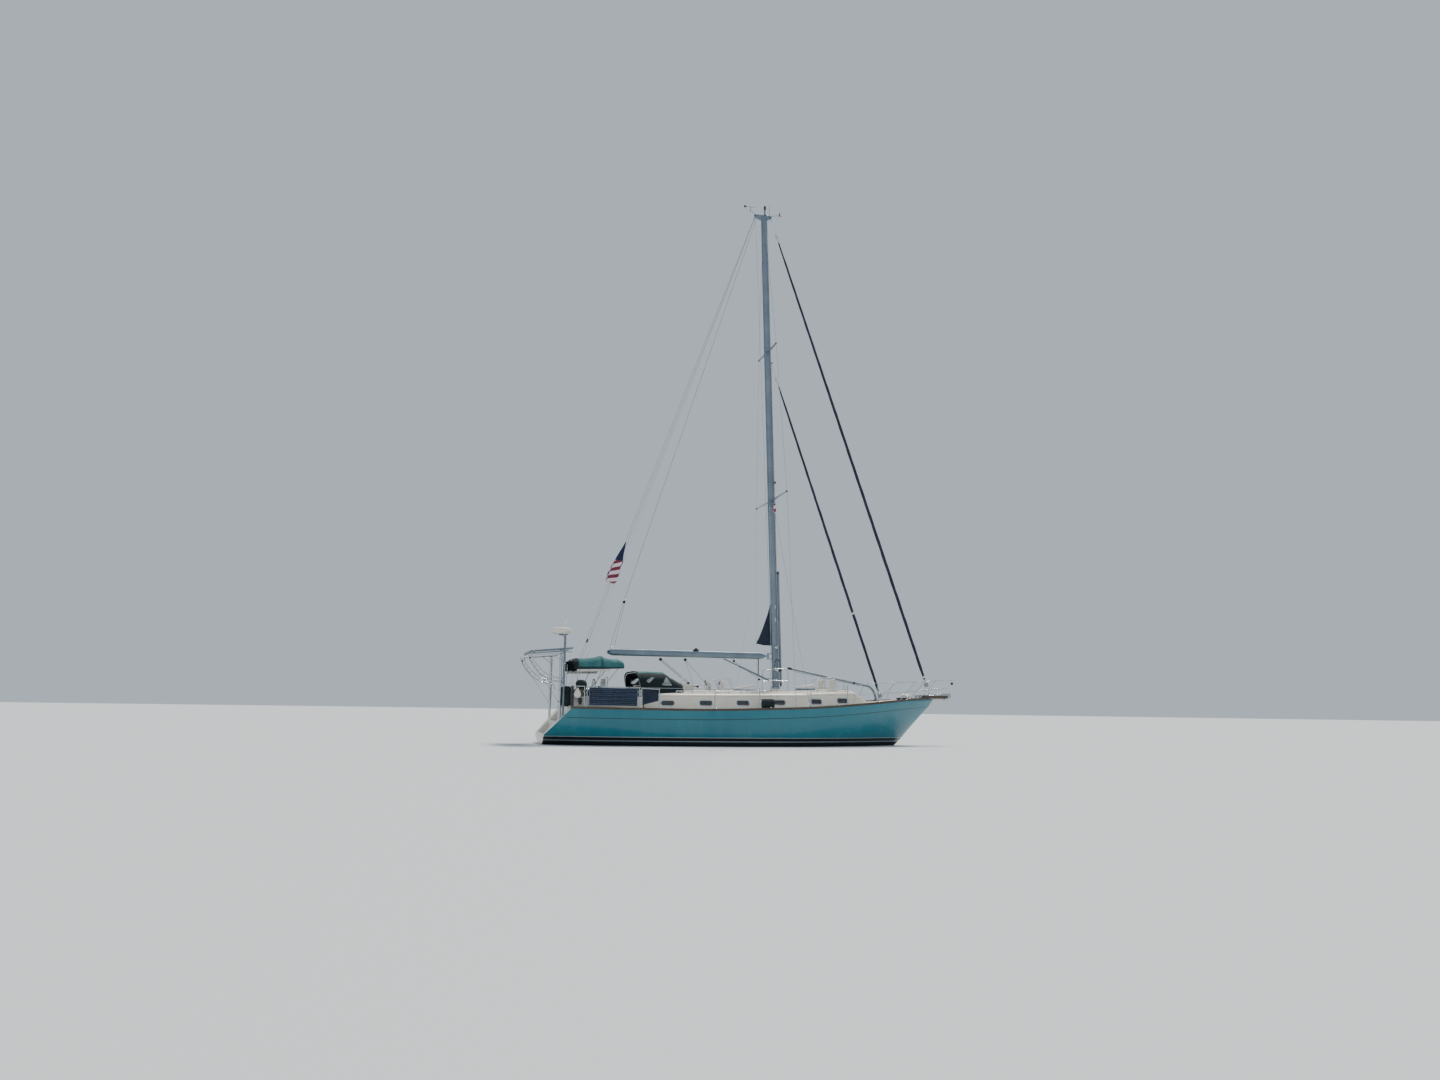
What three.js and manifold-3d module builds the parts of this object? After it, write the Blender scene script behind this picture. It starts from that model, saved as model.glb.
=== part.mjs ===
// A cruising cutter yacht with a full keel, 11.4 m on the waterline.
// Millimetres, +X to the bow, +Y to port, +Z up.
// Origin: on the waterline, on the centreline, midway along the waterline.
import * as THREE from 'three';
import { mergeVertices } from 'three/addons/utils/BufferGeometryUtils.js';
import Module from 'manifold-3d';

const wasm = await Module();
wasm.setup();

// Driving dimensions
const gap = 0.3;                    // left between pieces that touch
const wireRadius = 6;               // stays and shrouds
const tubeRadius = 13;              // rails and canvas bows
const deckPlate = 40;               // thickness of the deck at its edge
const deckCamber = 60;              // height of the deck's crown over its edge
const keelFloor = -1520;            // flat bottom of the keel
const platformZ = 1500;             // underside of the bow platform
const railInset = 75;               // stanchions stand this far inside the sheer
const railHeight = 640;             // top lifeline above the sheer
const midRailHeight = 330;
const mastFoot = { x: 1700, z: 1735 };
const mastHead = { x: 1196, z: 17430 };
const mastFore = 110;               // half of the mast section, fore and aft
const mastSide = 75;                // half of the mast section, across
const gooseneck = { x: 1440, z: 2745 };
const boomEnd = -3680;
const boomDepth = 105;
const boomSide = 65;
const staysailPivot = 5080;
const rudderAxis = -4550;
const sides = { port: 1, starboard: -1 };

// Hull lines. Columns: x, half-breadth at the sheer, height of the sheer,
// bottom of the canoe body, fullness of the section from 0 for a V to 1 for a U.
const hullLines = [
  [-5750, 1480, 1040, -20, 0.88],
  [-4900, 1640, 1031, -150, 0.93],
  [-3900, 1860, 1019, -300, 0.97],
  [-2600, 2045, 1011, -460, 1.00],
  [-1000, 2150, 1013, -590, 1.00],
  [600, 2165, 1054, -635, 0.97],
  [2000, 2085, 1105, -620, 0.86],
  [3200, 1900, 1180, -545, 0.68],
  [4200, 1620, 1262, -430, 0.50],
  [5100, 1225, 1340, -235, 0.34],
  [5700, 890, 1392, 0, 0.24],
  [6350, 515, 1440, 655, 0.12],
  [7020, 110, 1480, 1330, 0.00],
];

// Cabin trunk in plan. Columns: x, half-width at the deck, height of the wall's top.
const trunkPlan = [
  [-2750, 1300, 1430],
  [-1400, 1420, 1440],
  [100, 1470, 1460],
  [1400, 1440, 1485],
  [2150, 1385, 1500],
  [2330, 1320, 1510],
  [2420, 1200, 1520],
  [2580, 1140, 1530],
  [3400, 1040, 1560],
  [4020, 900, 1575],
];
const trunkFrontFoot = { x: 4480, halfWidth: 760 };
const trunkLean = 60;               // the walls lean in by this much at their top
const wallThickness = 55;
const roofThickness = 60;
const roofCamber = 110;

// Portlights along one side. Columns: x, height of the centre.
const portlights = [
  [-2070, 1230], [-930, 1245], [200, 1262], [1350, 1292], [2640, 1340], [3560, 1380],
];
const portlight = { length: 380, height: 150 };

// Value of a table's column at x, on a smooth curve through its rows.
function along(table, x, column) {
  const last = table.length - 1;
  const above = table.findIndex((row) => row[0] > x);
  const i = above < 0 ? last - 1 : Math.max(above - 1, 0);
  const slope = (k) => {
    const a = table[Math.max(k - 1, 0)];
    const b = table[Math.min(k + 1, last)];
    return (b[column] - a[column]) / (b[0] - a[0]);
  };
  const [p, q] = [table[i], table[i + 1]];
  const h = q[0] - p[0];
  const t = (x - p[0]) / h;
  const blend = t * t * (3 - 2 * t);
  const rise = t * (1 - t) * (1 - t) * h * slope(i) - t * t * (1 - t) * h * slope(i + 1);
  return p[column] + (q[column] - p[column]) * blend + rise;
}

const sheerHalf = (x) => along(hullLines, x, 1);
const sheerHeight = (x) => along(hullLines, x, 2);

// Height of the deck's upper surface.
function deckTop(x, y) {
  const share = Math.min(Math.abs(y) / sheerHalf(x), 1);
  return sheerHeight(x) + deckCamber * (1 - share * share);
}

const point = (x, y, z) => new THREE.Vector3(x, y, z);

// Evenly spaced numbers from a to b, both ends included.
function spaced(a, b, count) {
  return Array.from({ length: count }, (_, i) => a + ((b - a) * i) / (count - 1));
}

// A closed three.js geometry as a solid for cutting and joining, turned outside out if it isn't.
function solidOf(geometry) {
  const bare = geometry.clone();
  bare.deleteAttribute('normal');
  bare.deleteAttribute('uv');
  const merged = mergeVertices(bare, 1e-3);
  const at = merged.attributes.position;
  const triangles = new Uint32Array(merged.index.array);
  const [a, b, c] = [point(0, 0, 0), point(0, 0, 0), point(0, 0, 0)];
  let volume = 0;
  for (let i = 0; i < triangles.length; i += 3) {
    a.fromBufferAttribute(at, triangles[i]);
    b.fromBufferAttribute(at, triangles[i + 1]);
    c.fromBufferAttribute(at, triangles[i + 2]);
    volume += a.dot(b.cross(c));
  }
  if (volume < 0) {
    for (let i = 0; i < triangles.length; i += 3) {
      [triangles[i], triangles[i + 1]] = [triangles[i + 1], triangles[i]];
    }
  }
  const vertProperties = new Float32Array(at.array);
  return new wasm.Manifold(new wasm.Mesh({ numProp: 3, vertProperties, triVerts: triangles }));
}

function geometryOf(solid) {
  const mesh = solid.getMesh();
  const geometry = new THREE.BufferGeometry();
  geometry.setAttribute('position', new THREE.BufferAttribute(new Float32Array(mesh.vertProperties), 3));
  geometry.setIndex(new THREE.BufferAttribute(new Uint32Array(mesh.triVerts), 1));
  return geometry;
}

const join = (...solids) => solids.flat().reduce((whole, next) => whole.add(next));
const cut = (solid, ...tools) => tools.flat().reduce((whole, next) => whole.subtract(next), solid);

// Solid through rings of points, each ring with the same count, both ends closed.
function loft(rings) {
  const count = rings[0].length;
  const index = [];
  for (let s = 0; s + 1 < rings.length; s++) {
    for (let i = 0; i < count; i++) {
      const a = s * count + i;
      const b = s * count + ((i + 1) % count);
      index.push(a, b, a + count, b, b + count, a + count);
    }
  }
  for (const end of [0, rings.length - 1]) {
    const ring = rings[end];
    const normal = point(0, 0, 0);
    ring.forEach((p, i) => normal.add(p.clone().cross(ring[(i + 1) % count])));
    const drop = ['x', 'y', 'z'].reduce((m, k) => (Math.abs(normal[k]) > Math.abs(normal[m]) ? k : m), 'x');
    const [u, v] = ['x', 'y', 'z'].filter((k) => k !== drop);
    const flat = ring.map((p) => new THREE.Vector2(p[u], p[v]));
    const contourSign = Math.sign(THREE.ShapeUtils.area(flat));
    for (const face of THREE.ShapeUtils.triangulateShape(flat, [])) {
      const sameWay = Math.sign(THREE.ShapeUtils.area(face.map((i) => flat[i]))) === contourSign;
      const wanted = end !== 0;
      const [i, j, k] = sameWay === wanted ? face : [face[0], face[2], face[1]];
      index.push(end * count + i, end * count + j, end * count + k);
    }
  }
  const geometry = new THREE.BufferGeometry().setFromPoints(rings.flat());
  geometry.setIndex(index);
  return solidOf(geometry);
}

function box(x0, x1, y0, y1, z0, z1) {
  const geometry = new THREE.BoxGeometry(x1 - x0, y1 - y0, z1 - z0);
  geometry.translate((x0 + x1) / 2, (y0 + y1) / 2, (z0 + z1) / 2);
  return solidOf(geometry);
}

// Outline given by x and z, pulled across from y0 to y1.
function acrossProfile(outline, y0, y1) {
  const ring = (y) => outline.map(([x, z]) => point(x, y, z));
  return loft([ring(y0), ring(y1)]);
}

// Outline given by x and y, pulled up from z0 to z1.
function uprightProfile(outline, z0, z1) {
  const ring = (z) => outline.map(([x, y]) => point(x, y, z));
  return loft([ring(z0), ring(z1)]);
}

// Round bar between two points, with a radius at each end.
function bar(from, to, radius, endRadius = radius, facets = 8) {
  const geometry = new THREE.CylinderGeometry(endRadius, radius, from.distanceTo(to), facets);
  const direction = to.clone().sub(from).normalize();
  geometry.applyQuaternion(new THREE.Quaternion().setFromUnitVectors(point(0, 1, 0), direction));
  const middle = from.clone().add(to).multiplyScalar(0.5);
  geometry.translate(middle.x, middle.y, middle.z);
  return solidOf(geometry);
}

// Round tube along a smooth curve through points.
function tube(points, radius, steps, facets = 8) {
  const section = new THREE.Shape(spaced(0, 2 * Math.PI, facets + 1).slice(0, facets).map(
    (angle) => new THREE.Vector2(radius * Math.cos(angle), radius * Math.sin(angle)),
  ));
  const path = new THREE.CatmullRomCurve3(points, false, 'centripetal');
  return solidOf(new THREE.ExtrudeGeometry(section, { steps, extrudePath: path, bevelEnabled: false }));
}

// Body turned about a line through a foot point. The profile lists radius and distance along the line.
function turned(foot, direction, profile, facets = 14) {
  const outline = profile.map(([radius, height]) => new THREE.Vector2(radius, height));
  const geometry = new THREE.LatheGeometry(outline, facets);
  const turn = new THREE.Quaternion().setFromUnitVectors(point(0, 1, 0), direction.clone().normalize());
  geometry.applyQuaternion(turn);
  geometry.translate(foot.x, foot.y, foot.z);
  return solidOf(geometry);
}

const up = point(0, 0, 1);

const yacht = new THREE.Group();
const finishes = {
  gelcoat: new THREE.MeshStandardMaterial({ color: 0x46808a, roughness: 0.25, metalness: 0 }),
  bottom: new THREE.MeshStandardMaterial({ color: 0x14303c, roughness: 0.8, metalness: 0 }),
  moulding: new THREE.MeshStandardMaterial({ color: 0xe6e2d6, roughness: 0.45, metalness: 0 }),
  teak: new THREE.MeshStandardMaterial({ color: 0x5b4636, roughness: 0.7, metalness: 0 }),
  alloy: new THREE.MeshStandardMaterial({ color: 0x8fa0aa, roughness: 0.4, metalness: 0.8 }),
  steel: new THREE.MeshStandardMaterial({ color: 0xc4ccd0, roughness: 0.2, metalness: 1 }),
  bronze: new THREE.MeshStandardMaterial({ color: 0x8d6a35, roughness: 0.4, metalness: 1 }),
  canvas: new THREE.MeshStandardMaterial({ color: 0x1f5a56, roughness: 0.9, metalness: 0 }),
  navy: new THREE.MeshStandardMaterial({ color: 0x10233f, roughness: 0.9, metalness: 0 }),
  cells: new THREE.MeshStandardMaterial({ color: 0x111a2e, roughness: 0.2, metalness: 0 }),
  engine: new THREE.MeshStandardMaterial({ color: 0x5c6468, roughness: 0.6, metalness: 0.5 }),
};

function addNode(name, solid, finish) {
  const mesh = new THREE.Mesh(geometryOf(solid), finishes[finish]);
  mesh.name = name;
  yacht.add(mesh);
}

// Hull: half-section as a cubic curve from the keel line out to the sheer.
function halfSection(x, points) {
  const half = sheerHalf(x);
  const top = sheerHeight(x) - deckPlate;
  const bottom = along(hullLines, x, 3);
  const fullness = along(hullLines, x, 4);
  const height = top - bottom;
  const curve = new THREE.CubicBezierCurve(
    new THREE.Vector2(0, bottom),
    new THREE.Vector2(half * (0.26 + 0.56 * fullness), bottom + height * (0.22 - 0.18 * fullness)),
    new THREE.Vector2(half * (0.66 + 0.38 * fullness), bottom + height * (0.72 - 0.37 * fullness)),
    new THREE.Vector2(half, top),
  );
  return curve.getPoints(points);
}

function hullRing(x) {
  const half = halfSection(x, 8).reverse();
  const starboard = half.map((p) => point(x, -p.x, p.y));
  const port = half.slice(0, -1).reverse().map((p) => point(x, p.x, p.y));
  return [...starboard, ...port];
}

const stations = [...spaced(-5750, 5700, 23), 6350, 7020];
const canoeBody = loft(stations.map(hullRing));
const behindTransom = acrossProfile([
  [-5560, -200], [-5630, 200], [-5620, 300], [-4930, 1030], [-4600, 1390], [-6300, 1390], [-6300, -200],
], -2500, 2500);

// Boarding steps moulded into the transom: the recess, then the stair that lines it.
const stepsHalf = 900;
const stepsRecess = acrossProfile([
  [-5800, 290], [-5240, 290], [-5240, 640], [-4890, 640], [-4890, 1400], [-5800, 1400],
], -stepsHalf, stepsHalf);
const stair = acrossProfile([
  [-5622, 290 + gap], [-5240 - gap, 290 + gap], [-5240 - gap, 640 + gap], [-4890 - gap, 640 + gap],
  [-4890 - gap, 1080], [-4930, 1080], [-4930, 680], [-5280, 680], [-5280, 330], [-5622, 330],
], -stepsHalf + gap, stepsHalf - gap);

// Cockpit well and cabin well, sunk into the hull.
const well = { aft: -4430, fore: -2900, half: 420, sole: 600 };
const cockpitWell = box(well.aft, well.fore, -well.half, well.half, well.sole, 1500);
const cabinSole = -120;
const cabinWell = uprightProfile([
  [-2640, -1050], [2100, -1050], [3900, -560], [3900, 560], [2100, 1050], [-2640, 1050],
], cabinSole, 1500);
const stockRadius = 32;
const stockBore = bar(point(rudderAxis, 0, -600), point(rudderAxis, 0, 250), stockRadius + 6, stockRadius + 6, 16);
addNode('hull', cut(canoeBody, behindTransom, stepsRecess, cockpitWell, cabinWell, stockBore), 'gelcoat');
const transomClearance = cut(canoeBody, behindTransom.translate([0, 0, gap]));
addNode('boarding_steps', stair, 'moulding');
addNode('engine', box(-2560, -1580, -270, 270, cabinSole + gap, cabinSole + 640), 'engine');

// Deck: a cambered plate, open over the cabin and the cockpit well.
function deckRing(x, lift) {
  const half = sheerHalf(x);
  const under = sheerHeight(x) - deckPlate + gap + lift;
  const crown = [1, 0.75, 0.4, 0, -0.4, -0.75, -1].map((s) => point(x, s * half, deckTop(x, s * half) + lift));
  return [point(x, -half, under), point(x, half, under), ...crown];
}
const deckPlateSolid = loft(stations.map((x) => deckRing(x, 0)));
const deckClearance = loft(stations.map((x) => deckRing(x, gap)));

// Trunk outline with the direction square to it at each row.
function trunkOutline() {
  return trunkPlan.map(([x, half, top], i) => {
    const before = trunkPlan[Math.max(i - 1, 0)];
    const after = trunkPlan[Math.min(i + 1, trunkPlan.length - 1)];
    const inward = new THREE.Vector2(after[1] - before[1], -(after[0] - before[0])).normalize();
    return { x, half, top, inward };
  });
}
const trunk = trunkOutline();

// Corner of the wall at a row: offset inward from the outside face, at a height.
function wallPoint(row, side, offset, z) {
  return point(row.x + row.inward.x * offset, side * (row.half + row.inward.y * offset), z);
}
const trunkInside = trunk.map((row) => wallPoint(row, 1, wallThickness + 5, 0));
const trunkOpening = uprightProfile([
  ...trunkInside.map((p) => [Math.min(p.x, 3960), p.y]),
  ...trunkInside.map((p) => [Math.min(p.x, 3960), -p.y]).reverse(),
], 500, 2500);
const chainplates = [
  // x, distance in from the sheer
  [1680, 120], [2130, 120], [890, 120],
].flatMap(([x, inset]) => Object.values(sides).map((side) => {
  const y = side * (sheerHalf(x) - inset);
  return box(x - 30, x + 30, y - 7, y + 7, sheerHeight(x) - 10, sheerHeight(x) + 90);
}));
const innerStayFoot = point(5270, 0, 1470);
const innerStayPlate = box(5240, 5300, -8, 8, 1350, 1455);
const backstayFoot = point(-4780, 0, 1180);
const backstayPlate = box(-4815, -4755, -8, 8, 1040, 1165);
const openDeck = cut(deckPlateSolid, behindTransom, stepsRecess, cockpitWell, trunkOpening);
const pivotBase = bar(point(staysailPivot, 0, 1360), point(staysailPivot, 0, 1400), 85, 70, 12);
addNode('deck', join(openDeck, chainplates, innerStayPlate, backstayPlate, pivotBase), 'moulding');

// Toe rails along both sheers, let in under the bow platform.
const toeRail = { width: 45, height: 70 };
const underPlatform = box(6590, 7100, -205, 205, platformZ - gap, platformZ + 200);
for (const [name, side] of Object.entries(sides)) {
  const rings = [-4925, ...stations.slice(2, -1), 6930].map((x) => {
    const outer = side * sheerHalf(x);
    const inner = side * (sheerHalf(x) - toeRail.width);
    const foot = sheerHeight(x) - 10;
    const head = sheerHeight(x) + toeRail.height;
    return [point(x, outer, foot), point(x, inner, foot), point(x, inner, head), point(x, outer, head)];
  });
  addNode(`toe_rail_${name}`, cut(loft(rings), deckClearance, underPlatform), 'teak');
}

// Keel: flat floor, rising forefoot, open behind for the propeller, with a heel under the rudder.
// Columns: x, bottom, half-thickness low down, half-thickness at the hull.
const keelTable = [
  [4750, -480, 22, 40],
  [4150, -820, 45, 90],
  [3400, -1140, 75, 150],
  [2500, -1400, 110, 220],
  [1500, -1519, 140, 280],
  [1400, keelFloor, 142, 285],
  [-400, keelFloor, 165, 330],
  [-2200, keelFloor, 140, 270],
  [-3300, keelFloor, 85, 150],
  [-3850, keelFloor, 40, 60],
];
const keelHead = -150;
const keelBody = loft(keelTable.map(([x, bottom, low, high]) => {
  const waist = bottom + 0.32 * (keelHead - bottom);
  return [
    point(x, -low, bottom), point(x, low, bottom), point(x, (low + high) / 2, waist),
    point(x, high, keelHead), point(x, -high, keelHead), point(x, -(low + high) / 2, waist),
  ];
}));
const heel = uprightProfile([[-3700, -45], [-3700, 45], [-4680, 32], [-4680, -32]], keelFloor, keelFloor + 80);
const shaftLine = { z: -830, radius: 22 };
const shaftBore = bar(
  point(-4100, 0, shaftLine.z), point(-3500, 0, shaftLine.z), shaftLine.radius + 6, shaftLine.radius + 6, 12,
);
const keelSolid = cut(join(keelBody, heel), canoeBody.translate([0, 0, -gap]), shaftBore);
addNode('keel', keelSolid, 'bottom');

// Rudder: foil blade with its stock in the hull and its toe over the keel's heel.
const rudderFoil = (z, chord) => [
  [70, 0], [50, 38], [0, 52], [-150, 50], [-chord * 0.6, 28], [-chord, 6],
  [-chord, -6], [-chord * 0.6, -28], [-150, -50], [0, -52], [50, -38],
].map(([x, y]) => point(rudderAxis + x, y, z));
const rudderBlade = loft([rudderFoil(-1425, 700), rudderFoil(-1000, 770), rudderFoil(-310, 620)]);
const rudderStock = bar(
  point(rudderAxis, 0, -400), point(rudderAxis, 0, 200), stockRadius, stockRadius, 16,
);
addNode('rudder', join(rudderBlade, rudderStock), 'bottom');

// Propeller: hub, three pitched blades and the shaft that runs into the keel.
const hubCentre = -4110;
const propellerBlades = spaced(0, (4 / 3) * Math.PI, 3).map((angle) => {
  const blade = new THREE.BoxGeometry(16, 125, 205);
  blade.translate(0, 0, 128);
  blade.rotateZ(0.6);
  blade.rotateX(angle);
  blade.translate(hubCentre, 0, shaftLine.z);
  return solidOf(blade);
});
const hub = turned(point(hubCentre - 110, 0, shaftLine.z), point(1, 0, 0),
  [[0, 0], [30, 20], [48, 70], [48, 170], [30, 200], [shaftLine.radius, 210], [shaftLine.radius, 560], [0, 560]]);
addNode('propeller', join(hub, propellerBlades), 'bronze');

// Cabin roof: cambered plate with a rounded-down rim, its hatch frames, boxes and hood.
function roofRing(row, lift) {
  const half = row.half - trunkLean + 14;
  const edge = row.top + gap + lift;
  const shares = [1, 0.94, 0.6, 0, -0.6, -0.94, -1];
  const top = shares.map((s) => point(
    row.x, s * half, edge + (Math.abs(s) === 1 ? 0.45 : 1) * roofThickness + roofCamber * (1 - s * s),
  ));
  const under = [-1, -0.6, 0, 0.6, 1].map((s) => point(row.x, s * half, edge + roofCamber * (1 - s * s)));
  return [...top, ...under];
}
const roofEnds = [{ ...trunk[0], x: -2790 }, ...trunk.slice(1)];
const roofPlate = loft(roofEnds.map((row) => roofRing(row, 0)));
const overRoofUnderside = loft(roofEnds.map((row) => {
  const under = roofRing(row, -gap).slice(7);
  return [...under, point(row.x, 2000, 2500), point(row.x, -2000, 2500)];
}));
const roofTopAt = (x) => along(trunkPlan, x, 2) + roofThickness + roofCamber;

// Hatches on the centreline. Columns: aft edge x, length, width, opening angle as stored.
const hatchTable = {
  hatch_midship: [370, 620, 620, 10],
  hatch_forward: [2430, 500, 520, 12],
};
const hatchFrameHeight = 40;
const hatchFrames = [];
const hatchHoles = [];
for (const [x, length, width] of Object.values(hatchTable)) {
  const floor = Math.max(roofTopAt(x), roofTopAt(x + length));
  hatchFrames.push(box(x, x + length, -width / 2, width / 2, floor - 90, floor + hatchFrameHeight));
  hatchHoles.push(box(x + 45, x + length - 45, 45 - width / 2, width / 2 - 45, 1000, 2100));
}

// Companionway: opening in the roof, side runners, and a hood that the hatch slides under.
const companion = { aft: -2790, fore: -2030, half: 330 };
const hood = { aft: -2030, fore: -1180, half: 450, top: 1805, floor: 1700 };
const companionHole = box(companion.aft - 60, companion.fore, -companion.half, companion.half, 1000, 2100);
const hoodShell = cut(
  acrossProfile([
    [hood.aft, 1560], [hood.fore + 190, 1560], [hood.fore + 190, 1660], [hood.fore + 90, hood.top], [hood.aft, hood.top],
  ], -hood.half, hood.half),
  box(hood.aft - 50, hood.fore - 50, 50 - hood.half, hood.half - 50, hood.floor, hood.top - 35),
);
const runners = Object.values(sides).map((side) => {
  const [a, b] = [side * 342, side * 385].sort((p, q) => p - q);
  return box(-2770, hood.aft + 20, a, b, 1560, hood.floor + 12);
});

// Small lid on the hood: its coaming.
const lid = { x: -1420, length: 280, width: 300, angle: 48, floor: hood.top + 20 };
const lidCoaming = box(lid.x, lid.x + lid.length, -lid.width / 2, lid.width / 2, hood.top - 10, lid.floor);

// Ventilator boxes with cowls. Columns: x, y, direction that the cowl faces (1 fore, -1 aft).
const ventTable = [
  [-180, -800, -1], [-180, 800, -1], [3310, -500, 1], [3310, 500, 1],
];
const vents = ventTable.map(([x, y, facing]) => {
  const floor = roofTopAt(x) - roofCamber * (y / along(trunkPlan, x, 1)) ** 2;
  const boxBody = box(x - 190, x + 190, y - 105, y + 105, floor - 70, floor + 130);
  const neckX = x + facing * 60;
  const neck = bar(point(neckX, y, floor + 100), point(neckX, y, floor + 250), 50, 50, 8);
  const mouth = bar(
    point(neckX - facing * 55, y, floor + 265), point(neckX + facing * 105, y, floor + 285), 66, 96, 10,
  );
  const throat = bar(
    point(neckX - facing * 15, y, floor + 270), point(neckX + facing * 110, y, floor + 286), 45, 84, 10,
  );
  return cut(join(boxBody, neck, mouth), throat);
});
const mastStep = box(mastFoot.x - 200, mastFoot.x + 200, -160, 160, 1560, mastFoot.z - gap);

const interior = uprightProfile([
  [-2650, -1150], [2150, -1200], [2150, 1200], [-2650, 1150],
], 1000, 1440);
const roofWithForms = cut(
  join(roofPlate, hatchFrames, hoodShell, runners, lidCoaming, vents, mastStep),
  hatchHoles, companionHole, interior,
);
addNode('cabin_roof', roofWithForms, 'moulding');

// Cabin sides, each a leaning wall with its portlights cut.
const portlightHoles = portlights.map(([x, z]) => box(
  x - portlight.length / 2, x + portlight.length / 2, -2500, 2500, z - portlight.height / 2, z + portlight.height / 2,
));
for (const [name, side] of Object.entries(sides)) {
  const rings = trunk.map((row) => [
    wallPoint(row, side, 0, sheerHeight(row.x) - 10),
    wallPoint(row, side, trunkLean, row.top + 30),
    wallPoint(row, side, trunkLean + wallThickness, row.top + 60),
    wallPoint(row, side, wallThickness, sheerHeight(row.x) - 10),
  ]);
  const wall = cut(loft(rings), deckClearance, overRoofUnderside, portlightHoles);
  const endPlanes = [
    box(-3200, -2750, -2500, 2500, 0, 3000), box(4020, 4700, -2500, 2500, 0, 3000),
  ];
  addNode(`cabin_side_${name}`, cut(wall, endPlanes), 'moulding');
}

// Sloping cabin front: a hollow wedge open to the cabin.
const frontTop = trunk[trunk.length - 1];
const frontRing = (x, half, foot, top, camber) => [
  point(x, -half, foot), point(x, half, foot), point(x, half - trunkLean, top),
  point(x, 0, top + camber), point(x, -half + trunkLean, top),
];
const frontFootZ = sheerHeight(4480);
const frontOuter = loft([
  frontRing(4020 + gap, frontTop.half, sheerHeight(4020) - 10, frontTop.top + 30, roofCamber + 25),
  frontRing(trunkFrontFoot.x, trunkFrontFoot.halfWidth, frontFootZ - 10, frontFootZ + 70, 30),
]);
const frontInner = loft([
  frontRing(3950, frontTop.half - 40, 900, frontTop.top - 25, roofCamber),
  frontRing(4370, trunkFrontFoot.halfWidth - 60, 900, frontFootZ + 40, 30),
]);
addNode('cabin_front', cut(frontOuter, frontInner, deckClearance), 'moulding');

// Cabin's aft bulkhead, with the companionway cut.
const bulkhead = { aft: -2745, fore: -2690 };
const bulkheadPanel = loft([bulkhead.aft, bulkhead.fore].map((x) => {
  const low = along(trunkPlan, x, 1) - wallThickness - 8;
  const high = low - trunkLean;
  return [
    point(x, -low, 1000), point(x, low, 1000), point(x, high, trunkPlan[0][2] + 60), point(x, high, 1700),
    point(x, -high, 1700), point(x, -high, trunkPlan[0][2] + 60),
  ];
}));
const bulkheadSill = 1110;
addNode('cabin_aft_bulkhead', cut(
  bulkheadPanel, deckClearance, overRoofUnderside,
  box(-2850, -2600, -companion.half, companion.half, bulkheadSill, 2000),
), 'moulding');

// Sliding companionway hatch, one slab on the runners.
const slidingHatch = { aft: -2800, fore: -2040, half: 390, under: hood.floor + 18, over: hood.floor + 55 };
addNode('companionway_hatch', box(
  slidingHatch.aft, slidingHatch.fore, -slidingHatch.half, slidingHatch.half, slidingHatch.under, slidingHatch.over,
), 'moulding');

// Hatch lids, hinged on their aft edge.
for (const [name, [x, length, width, angle]] of Object.entries(hatchTable)) {
  const floor = Math.max(roofTopAt(x), roofTopAt(x + length)) + hatchFrameHeight;
  const geometry = new THREE.BoxGeometry(length, width, 36);
  geometry.translate(length / 2, 0, 18 + 5);
  geometry.rotateY(-THREE.MathUtils.degToRad(angle));
  geometry.translate(x, 0, floor);
  addNode(name, solidOf(geometry), 'moulding');
}
const lidPlate = new THREE.BoxGeometry(lid.length, lid.width, 24);
lidPlate.translate(lid.length / 2, 0, 12 + 5);
lidPlate.rotateY(-THREE.MathUtils.degToRad(lid.angle));
lidPlate.translate(lid.x, 0, lid.floor);
addNode('hood_lid', solidOf(lidPlate), 'moulding');

// Cockpit coaming: two sides, a low back on each side, and the winches that stand on it.
const coaming = { inner: 1100, outer: 1310, top: 1400, aft: -4850, fore: -2800 };
const coamingFoot = 1010;
const winchTable = [[-3560, 90, 190], [-4530, 70, 150]];   // x, radius, height
for (const [name, side] of Object.entries(sides)) {
  const wall = loft([
    [coaming.aft, coaming.top - 60], [coaming.aft + 500, coaming.top], [coaming.fore, coaming.top],
  ].map(([x, top]) => [
    point(x, side * (coaming.inner - 30), coamingFoot), point(x, side * (coaming.outer + 30), coamingFoot),
    point(x, side * coaming.outer, top), point(x, side * coaming.inner, top),
  ]));
  const [backFrom, backTo] = [side * 330, side * coaming.outer].sort((p, q) => p - q);
  const back = box(coaming.aft, coaming.aft + 110, backFrom, backTo, coamingFoot, 1210);
  const winches = winchTable.map(([x, radius, height]) => turned(
    point(x, side * 1205, coaming.top - 20), up,
    [[0, 0], [radius, 0], [radius, 60], [radius * 0.7, 90], [radius * 0.7, height - 30],
      [radius * 0.85, height - 10], [radius * 0.85, height], [0, height]], 12,
  ));
  addNode(`cockpit_coaming_${name}`, cut(join(wall, back, winches), deckClearance, stepsRecess), 'moulding');
}

// Steering pedestal with its box of instruments.
const pedestal = { x: -3840 };
addNode('steering_pedestal', join(
  turned(point(pedestal.x, 0, well.sole + gap), up,
    [[0, 0], [120, 0], [95, 60], [75, 400], [75, 860], [0, 860]]),
  box(pedestal.x - 110, pedestal.x + 120, -170, 170, 1430, 1640),
  box(pedestal.x + 10, pedestal.x + 90, -200, 200, 1640, 1930),
  bar(point(pedestal.x - 170, 0, 1480), point(pedestal.x - 50, 0, 1480), 22, 22, 12),
), 'moulding');

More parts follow.
